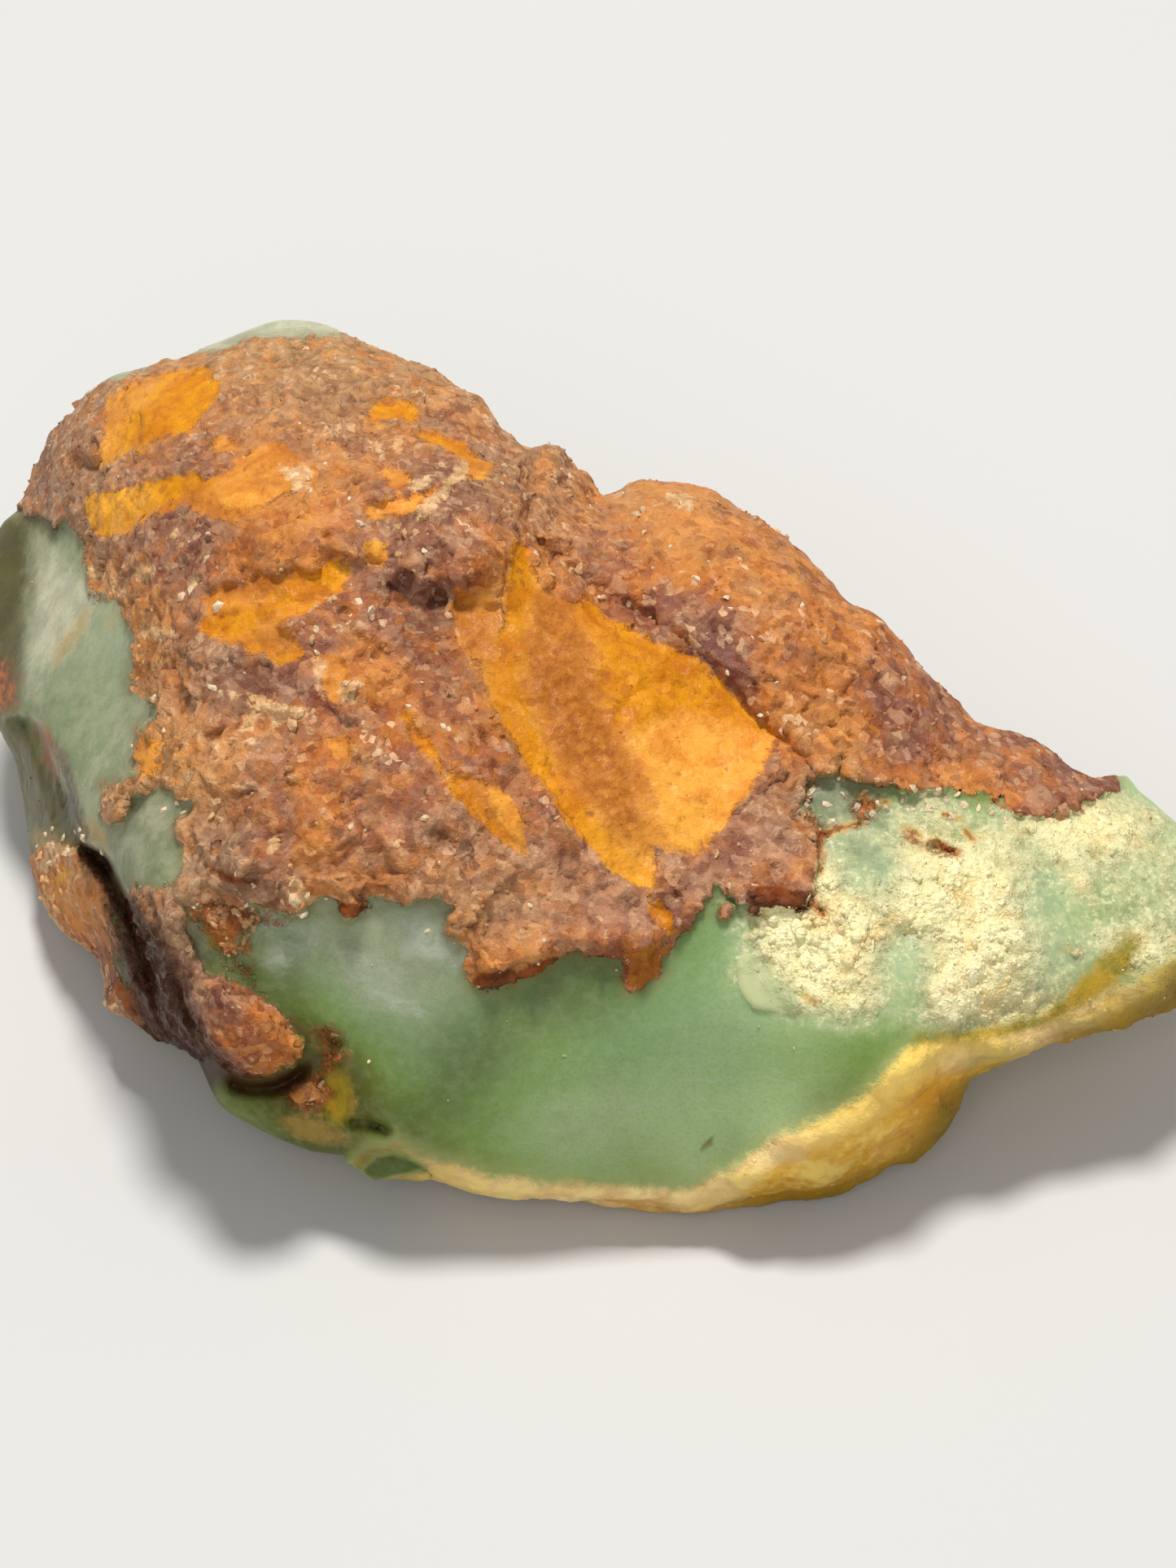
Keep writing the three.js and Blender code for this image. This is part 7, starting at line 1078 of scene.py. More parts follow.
# ------------------------------------------------------------------ crumbs and small crystals set in the surface
rng = np.random.default_rng(11)
me.calc_loop_triangles()
tri = np.zeros(len(me.loop_triangles) * 3, np.int32)
me.loop_triangles.foreach_get("vertices", tri)
tri = tri.reshape(-1, 3)
ab, ac = P[tri[:, 1]] - P[tri[:, 0]], P[tri[:, 2]] - P[tri[:, 0]]
nrm = np.cross(ab, ac)
size2 = np.linalg.norm(nrm, axis=1)
pick = rng.choice(len(tri), 90000, p=size2 / size2.sum())
u, v = rng.random(len(pick)), rng.random(len(pick))
u, v = np.where(u + v > 1, 1 - u, u), np.where(u + v > 1, 1 - v, v)
X = P[tri[pick, 0]] + u[:, None] * ab[pick] + v[:, None] * ac[pick]
N = nrm[pick] / (size2[pick][:, None] + 1e-12)
a = cover(X)
w = weights(a)
flock = smooth(-0.25, 0.6, noise(X, 0.55, 81) + 0.5 * noise(X, 1.4, 82))
edge = bell(a["rind"], 0.4) * (1 - a["rear"])
stain_w = smooth(-0.2, 0.3, a["stain"]) * (1 - w["rind"])
p_rind = w["rind"] * (1 - 0.9 * w["ochre"]) * (0.006 + 0.06 * flock)
p_crust = w["crust"] * (1 - w["rind"]) * (0.15 + 0.5 * smooth(0.3, 1.0, a["dens"]))
p_edge = 0.14 * edge * flock
p_stain = 0.35 * stain_w
p_rest = 0.004 + 0.012 * w["ochre"] + 0.02 * w["cream"]
chance = (p_rind + p_crust + p_edge + p_stain + p_rest) * (X[:, 2] > 0.8) * (1 - 0.5 * a["rear"]) * (1 - smooth(-1.0, 0.0, a["painted_shade"]))
keep = rng.random(len(X)) < chance
X, N, w, edge, stain_w = X[keep], N[keep], {k: q[keep] for k, q in w.items()}, edge[keep], stain_w[keep]
a = {k: q[keep] for k, q in a.items()}
r = 0.07 + 0.09 * rng.random(len(X)) ** 2 + 0.08 * w["crust"] * rng.random(len(X)) * smooth(0.4, 1.1, a["dens"])
r = r * (1 - 0.45 * w["ochre"]) * np.where(w["rind"] + w["crust"] + stain_w < 0.3, 0.6, 1)
luck = rng.random(len(X))
tone = np.where(luck > 0.94, 1.0, np.where(luck > 0.80 - 0.4 * edge - 0.2 * stain_w, 0.55, 0.0)) * np.where(w["crust"] > 0.4, 0.0, 1)
s, t, h, _ = on_plate(P)
front = read(FRONT_H, s, t) - h < 1.5
fs, ft, fh, fi = s[front], t[front], h[front], np.flatnonzero(front)
vn = np.zeros_like(P)
for c in range(3):
    for x in range(3):
        vn[:, x] += np.bincount(tri[:, c], nrm[:, x], len(P))
vn /= np.linalg.norm(vn, axis=1)[:, None] + 1e-12
set_x, set_n, set_r, set_tone = [], [], [], []
for ps, pt, pr, tn in CRUMBS:
    d = (fs - ps) ** 2 + (ft - pt) ** 2
    j = fi[np.argmin(d)]
    set_x.append(P[j])
    set_n.append(vn[j])
    set_r.append(pr)
    set_tone.append(tn)
more = cover(np.array(set_x))
X, N = np.concatenate([X, set_x]), np.concatenate([N, set_n])
r, tone = np.concatenate([r, np.array(set_r) * 0.95]), np.concatenate([tone, set_tone])
soft = smooth(0.2, 0.5, np.concatenate([w["crust"], weights(more)["crust"]]))
r = r * (1 - 0.3 * soft)
mother = np.repeat(np.flatnonzero((soft > 0.5) & (r > 0.13)), 2)      # grains of the crust stand in clusters
step = rng.normal(size=(len(mother), 3))
step -= (step * N[mother]).sum(1)[:, None] * N[mother]
step /= np.linalg.norm(step, axis=1)[:, None] + 1e-9
X = np.concatenate([X, X[mother] + step * (r[mother] * (0.7 + 0.5 * rng.random(len(mother))))[:, None] - N[mother] * (0.15 * r[mother])[:, None]])
N, tone, soft = np.concatenate([N, N[mother]]), np.concatenate([tone, tone[mother]]), np.concatenate([soft, soft[mother]])
r = np.concatenate([r, r[mother] * (0.5 + 0.35 * rng.random(len(mother)))])
gold = (1 + 5 ** 0.5) / 2
ico = np.array([(-1, gold, 0), (1, gold, 0), (-1, -gold, 0), (1, -gold, 0), (0, -1, gold), (0, 1, gold), (0, -1, -gold), (0, 1, -gold),
                (gold, 0, -1), (gold, 0, 1), (-gold, 0, -1), (-gold, 0, 1)]) / math.hypot(1, gold)
ico_f = np.array([(0, 11, 5), (0, 5, 1), (0, 1, 7), (0, 7, 10), (0, 10, 11), (1, 5, 9), (5, 11, 4), (11, 10, 2), (10, 7, 6), (7, 1, 8),
                  (3, 9, 4), (3, 4, 2), (3, 2, 6), (3, 6, 8), (3, 8, 9), (4, 9, 5), (2, 4, 11), (6, 2, 10), (8, 6, 7), (9, 8, 1)])
n = len(X)
qt = rng.normal(size=(n, 4))
qt /= np.linalg.norm(qt, axis=1)[:, None]
qw, qx, qy, qz = qt.T
R = np.stack([np.stack([1 - 2 * (qy * qy + qz * qz), 2 * (qx * qy - qz * qw), 2 * (qx * qz + qy * qw)], -1),
              np.stack([2 * (qx * qy + qz * qw), 1 - 2 * (qx * qx + qz * qz), 2 * (qy * qz - qx * qw)], -1),
              np.stack([2 * (qx * qz - qy * qw), 2 * (qy * qz + qx * qw), 1 - 2 * (qx * qx + qy * qy)], -1)], 1)
soft = soft[:, None, None]
rand = rng.random((n, 12, 1))
shape = ico[None] * ((0.72 + 0.55 * rand) * (1 - soft) + (0.7 + 0.6 * rand) * soft)
shape = shape * (np.array([1.25, 0.9, 0.65]) * (1 - soft) + np.array([1.12, 0.95, 0.8]) * soft) * (0.8 + 0.4 * rng.random((n, 1, 3)))
shape = np.einsum("nij,nkj->nki", R, shape) * r[:, None, None]
C = X - N * (r * (0.25 + 0.2 * soft[:, 0, 0]))[:, None]
cv = (C[:, None] + shape).reshape(-1, 3)
cf = (ico_f[None] + 12 * np.arange(n)[:, None, None]).reshape(-1, 3)
cm = new_mesh("crumbs", (cv - SHIFT) / 1000.0, cf)
cm.polygons.foreach_set("use_smooth", np.repeat(soft[:, 0, 0] > 0.5, 20))
# the crumbs get a fixed raised cavity, so the material paints them with its highlight for high points
dress(cm, np.repeat(X, 12, 0), {"tone": np.repeat(tone, 12), "shade": np.repeat(rng.random(n) * 2 - 1, 12), "cavity": np.full(len(cv), 0.12), "loose": np.ones(len(cv))})
crumbs = bpy.data.objects.new("crumbs", cm)
bpy.context.scene.collection.objects.link(crumbs)
print("crumbs %.1f s, %d of them" % (time.time() - T_START, n))

# ------------------------------------------------------------------ materials
def rgb(r, g, b):
    return tuple(((v / 255 + 0.055) / 1.055) ** 2.4 if v > 10.3 else v / 255 / 12.92 for v in (r, g, b)) + (1.0,)


class Nodes:
    """Short hands for building one node tree."""

    def __init__(self, name):
        self.mat = bpy.data.materials.new(name)
        self.mat.use_nodes = True
        self.nt = self.mat.node_tree
        self.nt.nodes.clear()
        self.out = self.nt.nodes.new("ShaderNodeOutputMaterial")
        self.bsdf = self.nt.nodes.new("ShaderNodeBsdfPrincipled")
        self.nt.links.new(self.bsdf.outputs[0], self.out.inputs[0])
        tc = self.nt.nodes.new("ShaderNodeTexCoord")
        sc = self.nt.nodes.new("ShaderNodeVectorMath")
        sc.operation = "SCALE"
        sc.inputs["Scale"].default_value = 1000.0
        self.nt.links.new(tc.outputs["Object"], sc.inputs[0])
        self.mm = sc.outputs[0]
        self.cache = {}

    def _in(self, socket, v):
        if isinstance(v, bpy.types.NodeSocket):
            self.nt.links.new(v, socket)
        else:
            socket.default_value = v

    def attr(self, name):
        if name not in self.cache:
            n = self.nt.nodes.new("ShaderNodeAttribute")
            n.attribute_name = name
            self.cache[name] = n.outputs["Fac"]
        return self.cache[name]

    def math(self, op, x, y=0.0, z=0.0, clamp=False):
        n = self.nt.nodes.new("ShaderNodeMath")
        n.operation, n.use_clamp = op, clamp
        for k, v in enumerate((x, y, z)):
            self._in(n.inputs[k], v)
        return n.outputs[0]

    def add(self, x, y):
        return self.math("ADD", x, y)

    def sub(self, x, y):
        return self.math("SUBTRACT", x, y)

    def mul(self, x, y):
        return self.math("MULTIPLY", x, y)

    def mad(self, x, y, z):
        return self.math("MULTIPLY_ADD", x, y, z)

    def step(self, x, lo, hi, a=0.0, b=1.0):
        n = self.nt.nodes.new("ShaderNodeMapRange")
        n.interpolation_type = "SMOOTHSTEP"
        self._in(n.inputs["Value"], x)
        for k, v in zip(("From Min", "From Max", "To Min", "To Max"), (lo, hi, a, b)):
            self._in(n.inputs[k], v)
        return n.outputs[0]

    def noise(self, scale, detail=2.0, rough=0.5, warp=0.0, at=None, colour=False):
        n = self.nt.nodes.new("ShaderNodeTexNoise")
        self._in(n.inputs["Vector"], at if at is not None else self.mm)
        for k, v in zip(("Scale", "Detail", "Roughness", "Distortion"), (scale, detail, rough, warp)):
            n.inputs[k].default_value = v
        return n.outputs["Color" if colour else "Fac"]

    def cell(self, scale, feature="F1", out="Distance", at=None, randomness=1.0):
        n = self.nt.nodes.new("ShaderNodeTexVoronoi")
        n.feature = feature
        self._in(n.inputs["Vector"], at if at is not None else self.mm)
        n.inputs["Scale"].default_value = scale
        n.inputs["Randomness"].default_value = randomness
        return n.outputs[out]

    def moved(self, x=0.0, y=0.0, z=0.0, sx=1.0, sy=1.0, sz=1.0, rz=0.0, rx=0.0):
        n = self.nt.nodes.new("ShaderNodeMapping")
        self._in(n.inputs["Vector"], self.mm)
        n.inputs["Location"].default_value = (x, y, z)
        n.inputs["Scale"].default_value = (sx, sy, sz)
        n.inputs["Rotation"].default_value = (rx, 0.0, rz)
        return n.outputs[0]

    def along(self, turn, long):
        """Coordinates drawn out along a direction in plan."""
        n = self.nt.nodes.new("ShaderNodeMapping")
        n.vector_type = "TEXTURE"
        self._in(n.inputs["Vector"], self.mm)
        n.inputs["Rotation"].default_value = (0.0, 0.0, turn)
        n.inputs["Scale"].default_value = (long, 1.0, 1.0)
        return n.outputs[0]

    def mix(self, fac, x, y, blend="MIX"):
        n = self.nt.nodes.new("ShaderNodeMix")
        n.data_type, n.blend_type = "RGBA", blend
        n.clamp_factor = True
        self._in(n.inputs[0], fac)
        self._in(n.inputs[6], x)
        self._in(n.inputs[7], y)
        return n.outputs[2]

    def blend(self, fac, x, y):
        n = self.nt.nodes.new("ShaderNodeMix")
        n.data_type = "FLOAT"
        n.clamp_factor = True
        self._in(n.inputs[0], fac)
        self._in(n.inputs[2], x)
        self._in(n.inputs[3], y)
        return n.outputs[0]

    def ramp(self, x, stops):
        n = self.nt.nodes.new("ShaderNodeValToRGB")
        self._in(n.inputs[0], x)
        e = n.color_ramp.elements
        while len(e) < len(stops):
            e.new(0.5)
        for el, (pos, col) in zip(e, stops):
            el.position, el.color = pos, col
        return n.outputs[0]

    def bump(self, height, distance, strength=1.0, normal=None):
        n = self.nt.nodes.new("ShaderNodeBump")
        n.inputs["Strength"].default_value = strength
        n.inputs["Distance"].default_value = distance
        self._in(n.inputs["Height"], height)
        if normal is not None:
            self._in(n.inputs["Normal"], normal)
        return n.outputs[0]


def stone_material():
    k = Nodes("chrysoprase")
    A = k.attr
    fine = k.noise(2.2, 4.0, 0.62)                        # about 0.5 mm and smaller
    mid = k.noise(0.7, 3.0, 0.6, 0.4)
    tiny = k.noise(7.0, 2.0, 0.7)
    rag = k.add(k.mad(fine, 0.6, -0.3), k.mad(tiny, 0.3, -0.15))
    cav, tone, own = A("cavity"), A("tone"), A("shade")

    is_rind = k.step(k.add(A("c_rind"), rag), 0.0, 0.12)
    is_ochre = k.step(k.add(A("c_ochre"), k.mul(rag, 1.8)), -0.06, 0.24)
    is_yellow = k.step(k.add(A("c_yellow"), k.mul(rag, 2.0)), -0.5, 0.25)
    is_light = k.step(k.add(A("c_light"), k.mul(rag, 1.6)), -0.15, 0.45)
    is_brown = k.step(k.add(A("c_brown"), k.mul(rag, 2.0)), -0.3, 0.5)
    is_cream = k.step(k.add(A("c_cream"), k.mul(rag, 1.2)), -0.25, 0.45)
    is_break_and_shade = k.step(k.add(A("c_brk"), rag), -0.05, 0.2)
    is_stain = k.mul(k.step(k.add(A("c_stain"), k.mul(rag, 2.5)), -0.2, 0.5), k.sub(1.0, is_rind))
    is_chip = k.step(A("c_chip"), 0.0, 0.06)
    recess_shade = k.step(A("c_recess_shade"), 0.2, 1.1, 0.0, 0.62)

    # chips: each has its own shade and its own tilt
    warp = k.noise(1.1, 1.0, 0.5, colour=True)
    vm = k.nt.nodes.new("ShaderNodeVectorMath")
    vm.operation = "MULTIPLY_ADD"
    k._in(vm.inputs[0], warp)
    vm.inputs[1].default_value = (0.45, 0.45, 0.45)
    k._in(vm.inputs[2], k.mm)

    def chips(scale):
        v = k.nt.nodes.new("ShaderNodeTexVoronoi")
        v.inputs["Scale"].default_value = scale
        k._in(v.inputs["Vector"], vm.outputs[0])
        d = k.nt.nodes.new("ShaderNodeVectorMath")
        d.operation = "SUBTRACT"
        k._in(d.inputs[0], vm.outputs[0])
        k._in(d.inputs[1], v.outputs["Position"])
        c = k.nt.nodes.new("ShaderNodeVectorMath")
        c.operation = "SUBTRACT"
        k._in(c.inputs[0], v.outputs["Color"])
        c.inputs[1].default_value = (0.5, 0.5, 0.5)
        t = k.nt.nodes.new("ShaderNodeVectorMath")
        t.operation = "DOT_PRODUCT"
        k._in(t.inputs[0], d.outputs[0])
        k._in(t.inputs[1], c.outputs[0])
        sp = k.nt.nodes.new("ShaderNodeSeparateColor")
        k._in(sp.inputs[0], v.outputs["Color"])
        return v.outputs["Distance"], t.outputs["Value"], sp.outputs[0], sp.outputs[1]

    da, ta, ra, ha = chips(1.3)
    db, tb, rb, hb = chips(2.9)

    # ---- green chalcedony
    yel = k.add(A("c_yel"), k.mad(k.noise(0.4, 3.0, 0.6), 0.3, -0.15))
    green = k.ramp(k.step(yel, -1.0, 1.0), [(0.0, rgb(150, 158, 128)), (0.5, rgb(124, 152, 98)), (0.8, rgb(122, 150, 70)), (1.0, rgb(100, 98, 14))])
    # painted glow: the green lighter where the stone is thin and light shines through
    thin_glow = k.step(A("c_thin"), 8.0, 1.0)
    green = k.mix(k.mul(thin_glow, 0.5), green, rgb(140, 172, 88))
    # the green painted lighter where it glows and darker where it is in shade, over its own tone
    green_tone_and_painted_light = k.add(A("c_green_tone_and_painted_light"), k.mad(k.noise(0.5, 4.0, 0.6), 0.3, -0.15))
    green = k.mix(k.step(green_tone_and_painted_light, 0.0, 1.2, 0.0, 0.62), green, rgb(192, 214, 158))
    green = k.mix(k.step(green_tone_and_painted_light, 0.1, -1.1, 0.0, 0.75), green, k.mix(k.step(yel, 0.4, 0.9), rgb(70, 84, 38), rgb(66, 62, 6)))
    # painted sheen: pale streaks on the green face where it is lighter
    sheen_at = k.moved(sx=0.16, sy=1.0, sz=1.3, rz=0.25)
    painted_sheen = k.noise(2.2, 4.0, 0.7, 0.2, at=sheen_at)
    green = k.mix(k.mul(k.step(painted_sheen, 0.5, 0.78), k.step(A("c_green_tone_and_painted_light"), 0.15, 0.8, 0.0, 0.4)), green, rgb(190, 198, 178))
    green = k.mix(k.mul(k.step(k.add(A("c_pale"), k.mad(k.noise(0.6, 4.0, 0.6, 0.4), 0.6, -0.3)), 0.0, 1.0), 0.78), green, k.mix(k.step(k.noise(0.9, 4.0, 0.65, 0.3), 0.36, 0.64), rgb(124, 124, 98), rgb(164, 158, 132)))
    green = k.mix(k.step(fine, 0.35, 0.75, 0.0, 0.16), green, rgb(180, 190, 150))
    # more painted sheen, in the listed streaks
    green = k.mix(k.mul(k.step(k.add(A("c_painted_sheen"), k.mad(k.noise(1.6, 4.0, 0.65, 0.2, at=k.along(-0.35, 3.0)), 1.6, -0.8)), -0.5, 0.6), 0.6), green, rgb(190, 196, 178))
    creep = k.step(k.add(A("c_rind"), k.mul(rag, 1.6)), -0.55, 0.1, 0.0, 0.5)
    green = k.mix(creep, green, rgb(122, 104, 58))
    green = k.mix(k.step(A("c_streak"), -0.1, 0.12, 0.0, 0.75), green, rgb(118, 104, 34))
    # dark olive, partly painted shade
    olive_and_shade = k.mix(k.step(mid, 0.36, 0.64), rgb(66, 60, 22), rgb(94, 82, 38))
    # pale band at the top, and painted highlights on the left facet
    green = k.mix(k.step(k.add(A("c_white_and_highlight"), k.mul(rag, 1.5)), -0.5, 0.7, 0.0, 0.7), green, k.mix(k.step(mid, 0.35, 0.65), rgb(178, 174, 146), rgb(210, 206, 176)))
    green = k.mix(k.step(k.add(A("c_wash"), rag), -0.2, 0.35, 0.0, 0.5), green, rgb(190, 146, 66))
    # painted highlight along the lip's crest
    green = k.mix(k.mul(A("c_lip_highlight"), 0.6), green, rgb(206, 202, 172))
    green = k.mix(k.step(k.add(A("c_olive_and_shade"), k.mul(rag, 1.5)), -0.4, 0.6, 0.0, 0.85), green, olive_and_shade)
    green = k.mix(k.step(tiny, 0.56, 0.34, 0.0, 0.14), green, rgb(84, 92, 60))

    # ---- crust of pale grains
    dens = k.add(A("c_dens"), k.add(k.mul(rag, 0.7), k.mad(k.noise(0.45, 3.0, 0.6), 1.3, -0.65)))
    frost = k.step(k.add(dens, k.mul(cav, 0.5)), -0.25, 0.5)
    base = k.mix(k.mul(frost, 0.85), green, k.mix(k.step(fine, 0.35, 0.65), rgb(172, 180, 136), rgb(206, 206, 156)))
    # lift rises with the relief, so the crust comes out paler on high points, partly as painted light
    lift = k.add(dens, k.mul(cav, 0.9))
    crust = k.ramp(k.step(lift, 0.3, 1.35), [(0.0, rgb(210, 208, 156)), (0.45, rgb(234, 226, 170)), (1.0, rgb(252, 242, 184))])
    crust = k.mix(k.step(mid, 0.52, 0.32, 0.0, 0.6), crust, rgb(234, 196, 124))
    # painted shade between the grains and painted highlight on their tops
    crust = k.mix(k.mul(k.step(cav, -0.02, -0.3), 0.55), crust, rgb(222, 176, 100))
    crust = k.mix(k.mul(k.step(cav, 0.05, 0.25), 0.5), crust, rgb(252, 244, 204))
    grit = k.noise(4.2, 2.0, 0.65, 0.4)
    base = k.mix(k.mul(frost, k.step(k.add(grit, k.mul(dens, 0.12)), 0.56, 0.68, 0.0, 0.75)), base, rgb(238, 230, 180))
    base = k.mix(k.mul(frost, k.step(grit, 0.44, 0.32, 0.0, 0.5)), base, rgb(132, 146, 108))
    crust = k.mix(k.step(grit, 0.45, 0.3, 0.0, 0.6), crust, rgb(210, 186, 118))
    crust = k.mix(k.step(grit, 0.58, 0.7, 0.0, 0.5), crust, rgb(255, 248, 206))
    is_crust = k.mul(k.step(lift, 0.1, 0.85), k.sub(1.0, k.mul(is_cream, 0.6)))
    base = k.mix(is_crust, base, crust)

    # ---- cream rim
    cream = k.mix(k.step(mid, 0.36, 0.64), rgb(220, 156, 32), rgb(240, 186, 64))
    flow = k.noise(0.9, 4.0, 0.6, 0.5, at=k.along(0.5, 3.5))
    cream = k.mix(k.step(k.noise(0.35, 3.0, 0.6, 0.8), 0.46, 0.7, 0.0, 0.8), cream, rgb(204, 142, 6))
    cream = k.mix(k.mul(k.step(flow, 0.5, 0.66, 0.0, 0.7), k.step(A("c_tone_and_painted_light"), -0.8, 0.0, 0.2, 1.0)), cream, rgb(242, 210, 142))
    cream = k.mix(k.step(flow, 0.48, 0.34, 0.0, 0.7), cream, rgb(184, 114, 14))
    inner = k.add(A("c_cream"), k.mad(mid, 1.4, -0.7))
    # a pale band along the rim's crest next to the green, and darker gold further down: partly the skin's colour,
    # partly painted highlight and shade
    cream = k.mix(k.mul(k.step(inner, -0.9, -0.1), k.step(inner, 1.9, 0.7, 0.0, 0.8)), cream, k.mix(k.step(mid, 0.4, 0.62), rgb(230, 198, 138), rgb(246, 220, 158)))
    cream = k.mix(k.step(inner, 1.4, 3.2, 0.0, 0.7), cream, rgb(190, 122, 16))
    # painted highlight on the rim's high points and painted shade in its hollows
    cream = k.mix(k.step(k.add(cav, k.mad(fine, 0.8, -0.4)), 0.05, 0.4, 0.0, 0.7), cream, rgb(250, 220, 124))
    cream = k.mix(k.step(k.add(cav, k.mad(fine, 0.8, -0.4)), -0.05, -0.4, 0.0, 0.6), cream, rgb(176, 118, 14))
    cream = k.mix(k.step(A("c_yel"), 0.55, 1.0, 0.0, 0.55), cream, k.mix(k.step(mid, 0.4, 0.6), rgb(136, 130, 18), rgb(180, 148, 34)))
    rimedge = k.mul(k.step(A("c_cream"), -0.9, 0.0), k.step(A("c_cream"), 0.9, 0.1))
    base = k.mix(k.mul(rimedge, 0.5), base, rgb(176, 178, 112))
    is_band = k.step(k.add(A("c_band"), k.mul(rag, 1.5)), -0.6, 0.25)
    base = k.mix(k.mul(is_band, 0.9), base, k.mix(k.step(mid, 0.36, 0.62), rgb(134, 122, 8), rgb(186, 146, 20)))
    # the rim painted lighter where it is lit and darker where it is in shade
    cream = k.mix(k.step(A("c_tone_and_painted_light"), 0.1, 1.1, 0.0, 0.6), cream, rgb(255, 214, 90))
    cream = k.mix(k.step(A("c_tone_and_painted_light"), -0.1, -1.0, 0.0, 0.75), cream, rgb(112, 92, 12))
    base = k.mix(is_cream, base, cream)
    crack = k.mul(A("c_crack"), k.sub(1.0, is_rind))
    base = k.mix(k.step(crack, 0.05, 0.5, 0.0, 0.55), base, rgb(216, 164, 84))
    base = k.mix(k.step(crack, 0.4, 0.85, 0.0, 0.85), base, rgb(146, 82, 26))
    base = k.mix(k.step(k.add(A("c_rust"), k.mul(rag, 2.2)), -0.35, 0.5, 0.0, 0.85), base, k.mix(k.step(fine, 0.4, 0.62), rgb(126, 62, 30), rgb(186, 112, 56)))

    # ---- rind
    warm = k.add(A("c_warm"), k.mad(mid, 2.2, -1.1))
    rind = k.ramp(k.step(warm, -1.1, 1.1), [(0.0, rgb(122, 76, 64)), (0.35, rgb(154, 92, 62)), (0.6, rgb(182, 104, 44)), (0.8, rgb(200, 126, 58)), (1.0, rgb(210, 142, 74))])
    # a pale warm tan, used for pale chips and for painted highlights
    hi = k.mix(k.step(warm, -0.6, 0.7), rgb(214, 166, 128), rgb(226, 148, 68))
    # the rind lighter or darker: partly its own tone, partly painted light and shade
    tone_and_painted_light = k.add(A("c_tone_and_painted_light"), k.mad(k.noise(0.9, 3.0, 0.65), 1.5, -0.75))
    rind = k.mix(k.step(tone_and_painted_light, 0.0, 1.1, 0.0, 0.7), rind, k.mix(0.5, hi, rgb(200, 144, 98)))
    rind = k.mix(k.step(tone_and_painted_light, -0.1, -1.1, 0.0, 0.6), rind, rgb(98, 54, 40))
    rind = k.mix(k.mul(k.step(k.add(A("c_pale"), k.mad(k.noise(0.6, 4.0, 0.6, 0.4, at=k.moved(z=5.0)), 0.8, -0.4)), 0.0, 1.0), 0.78), rind, k.mix(k.step(fine, 0.35, 0.65), rgb(150, 118, 82), rgb(184, 152, 114)))
    patch = k.noise(0.85, 3.0, 0.65, 0.3, at=k.moved(x=9.0))
    rind = k.mix(k.mul(k.step(patch, 0.5, 0.66, 0.0, 0.5), k.step(warm, 1.0, 0.0, 0.3, 1.0)), rind, rgb(166, 128, 92))
    rind = k.mix(k.step(ra, 0.6, 1.0, 0.0, 0.34), rind, hi)
    rind = k.mix(k.step(ra, 0.35, 0.0, 0.0, 0.3), rind, rgb(122, 66, 46))
    rind = k.mix(k.step(ha, 0.7, 0.95, 0.0, 0.4), rind, rgb(206, 124, 52))
    rind = k.mix(k.step(rb, 0.7, 1.0, 0.0, 0.4), rind, hi)
    rind = k.mix(k.step(rb, 0.3, 0.0, 0.0, 0.32), rind, rgb(116, 62, 44))
    rind = k.mix(k.step(fine, 0.56, 0.78, 0.0, 0.6), rind, hi)
    # pale specks on raised spots of the rind: pale grains, and painted glints
    glint_flecks = k.mul(k.step(rb, 0.86, 0.89), k.step(k.noise(0.35, 3.0, 0.6, 0.4, at=k.moved(y=7.0)), 0.5, 0.62))
    rind = k.mix(k.mul(glint_flecks, k.step(cav, -0.06, 0.1, 0.1, 0.8)), rind, rgb(228, 188, 142))
    rind = k.mix(k.step(fine, 0.42, 0.24, 0.0, 0.5), rind, rgb(104, 54, 38))
    # painted highlight on the rind's high points and painted shade in its hollows
    rind = k.mix(k.step(cav, 0.04, 0.36, 0.0, 0.5), rind, hi)
    rind = k.mix(k.step(cav, -0.05, -0.4, 0.0, 0.6), rind, rgb(92, 46, 34))
    # pale lines along the rind's small ridges, kept off its hollows: painted highlights
    highlight_vein = k.math("ABSOLUTE", k.sub(k.noise(0.75, 3.0, 0.62, 0.8, at=k.moved(x=3.0)), 0.5))
    highlight_vein = k.mul(k.step(highlight_vein, 0.035, 0.004), k.mul(k.step(cav, -0.12, 0.06), k.mul(k.step(patch, 0.46, 0.6, 0.12, 1.0), k.step(A("c_pale"), 0.1, 0.6, 0.15, 1.0))))
    rind = k.mix(k.mul(highlight_vein, 0.6), rind, rgb(230, 190, 148))
    # broken flat faces, ochre
    oc = k.mix(k.step(mid, 0.35, 0.68), rgb(196, 116, 38), rgb(222, 148, 58))
    oc = k.mix(k.mul(is_brown, 0.85), oc, k.mix(k.step(fine, 0.35, 0.6), rgb(152, 80, 16), rgb(188, 114, 34)))
    oc = k.mix(is_light, oc, k.mix(k.step(k.noise(0.8, 4.0, 0.6, 0.5), 0.38, 0.6), rgb(224, 142, 46), rgb(244, 168, 62)))
    oc = k.mix(is_yellow, oc, k.mix(k.step(mid, 0.35, 0.65), rgb(202, 118, 0), rgb(224, 146, 4)))
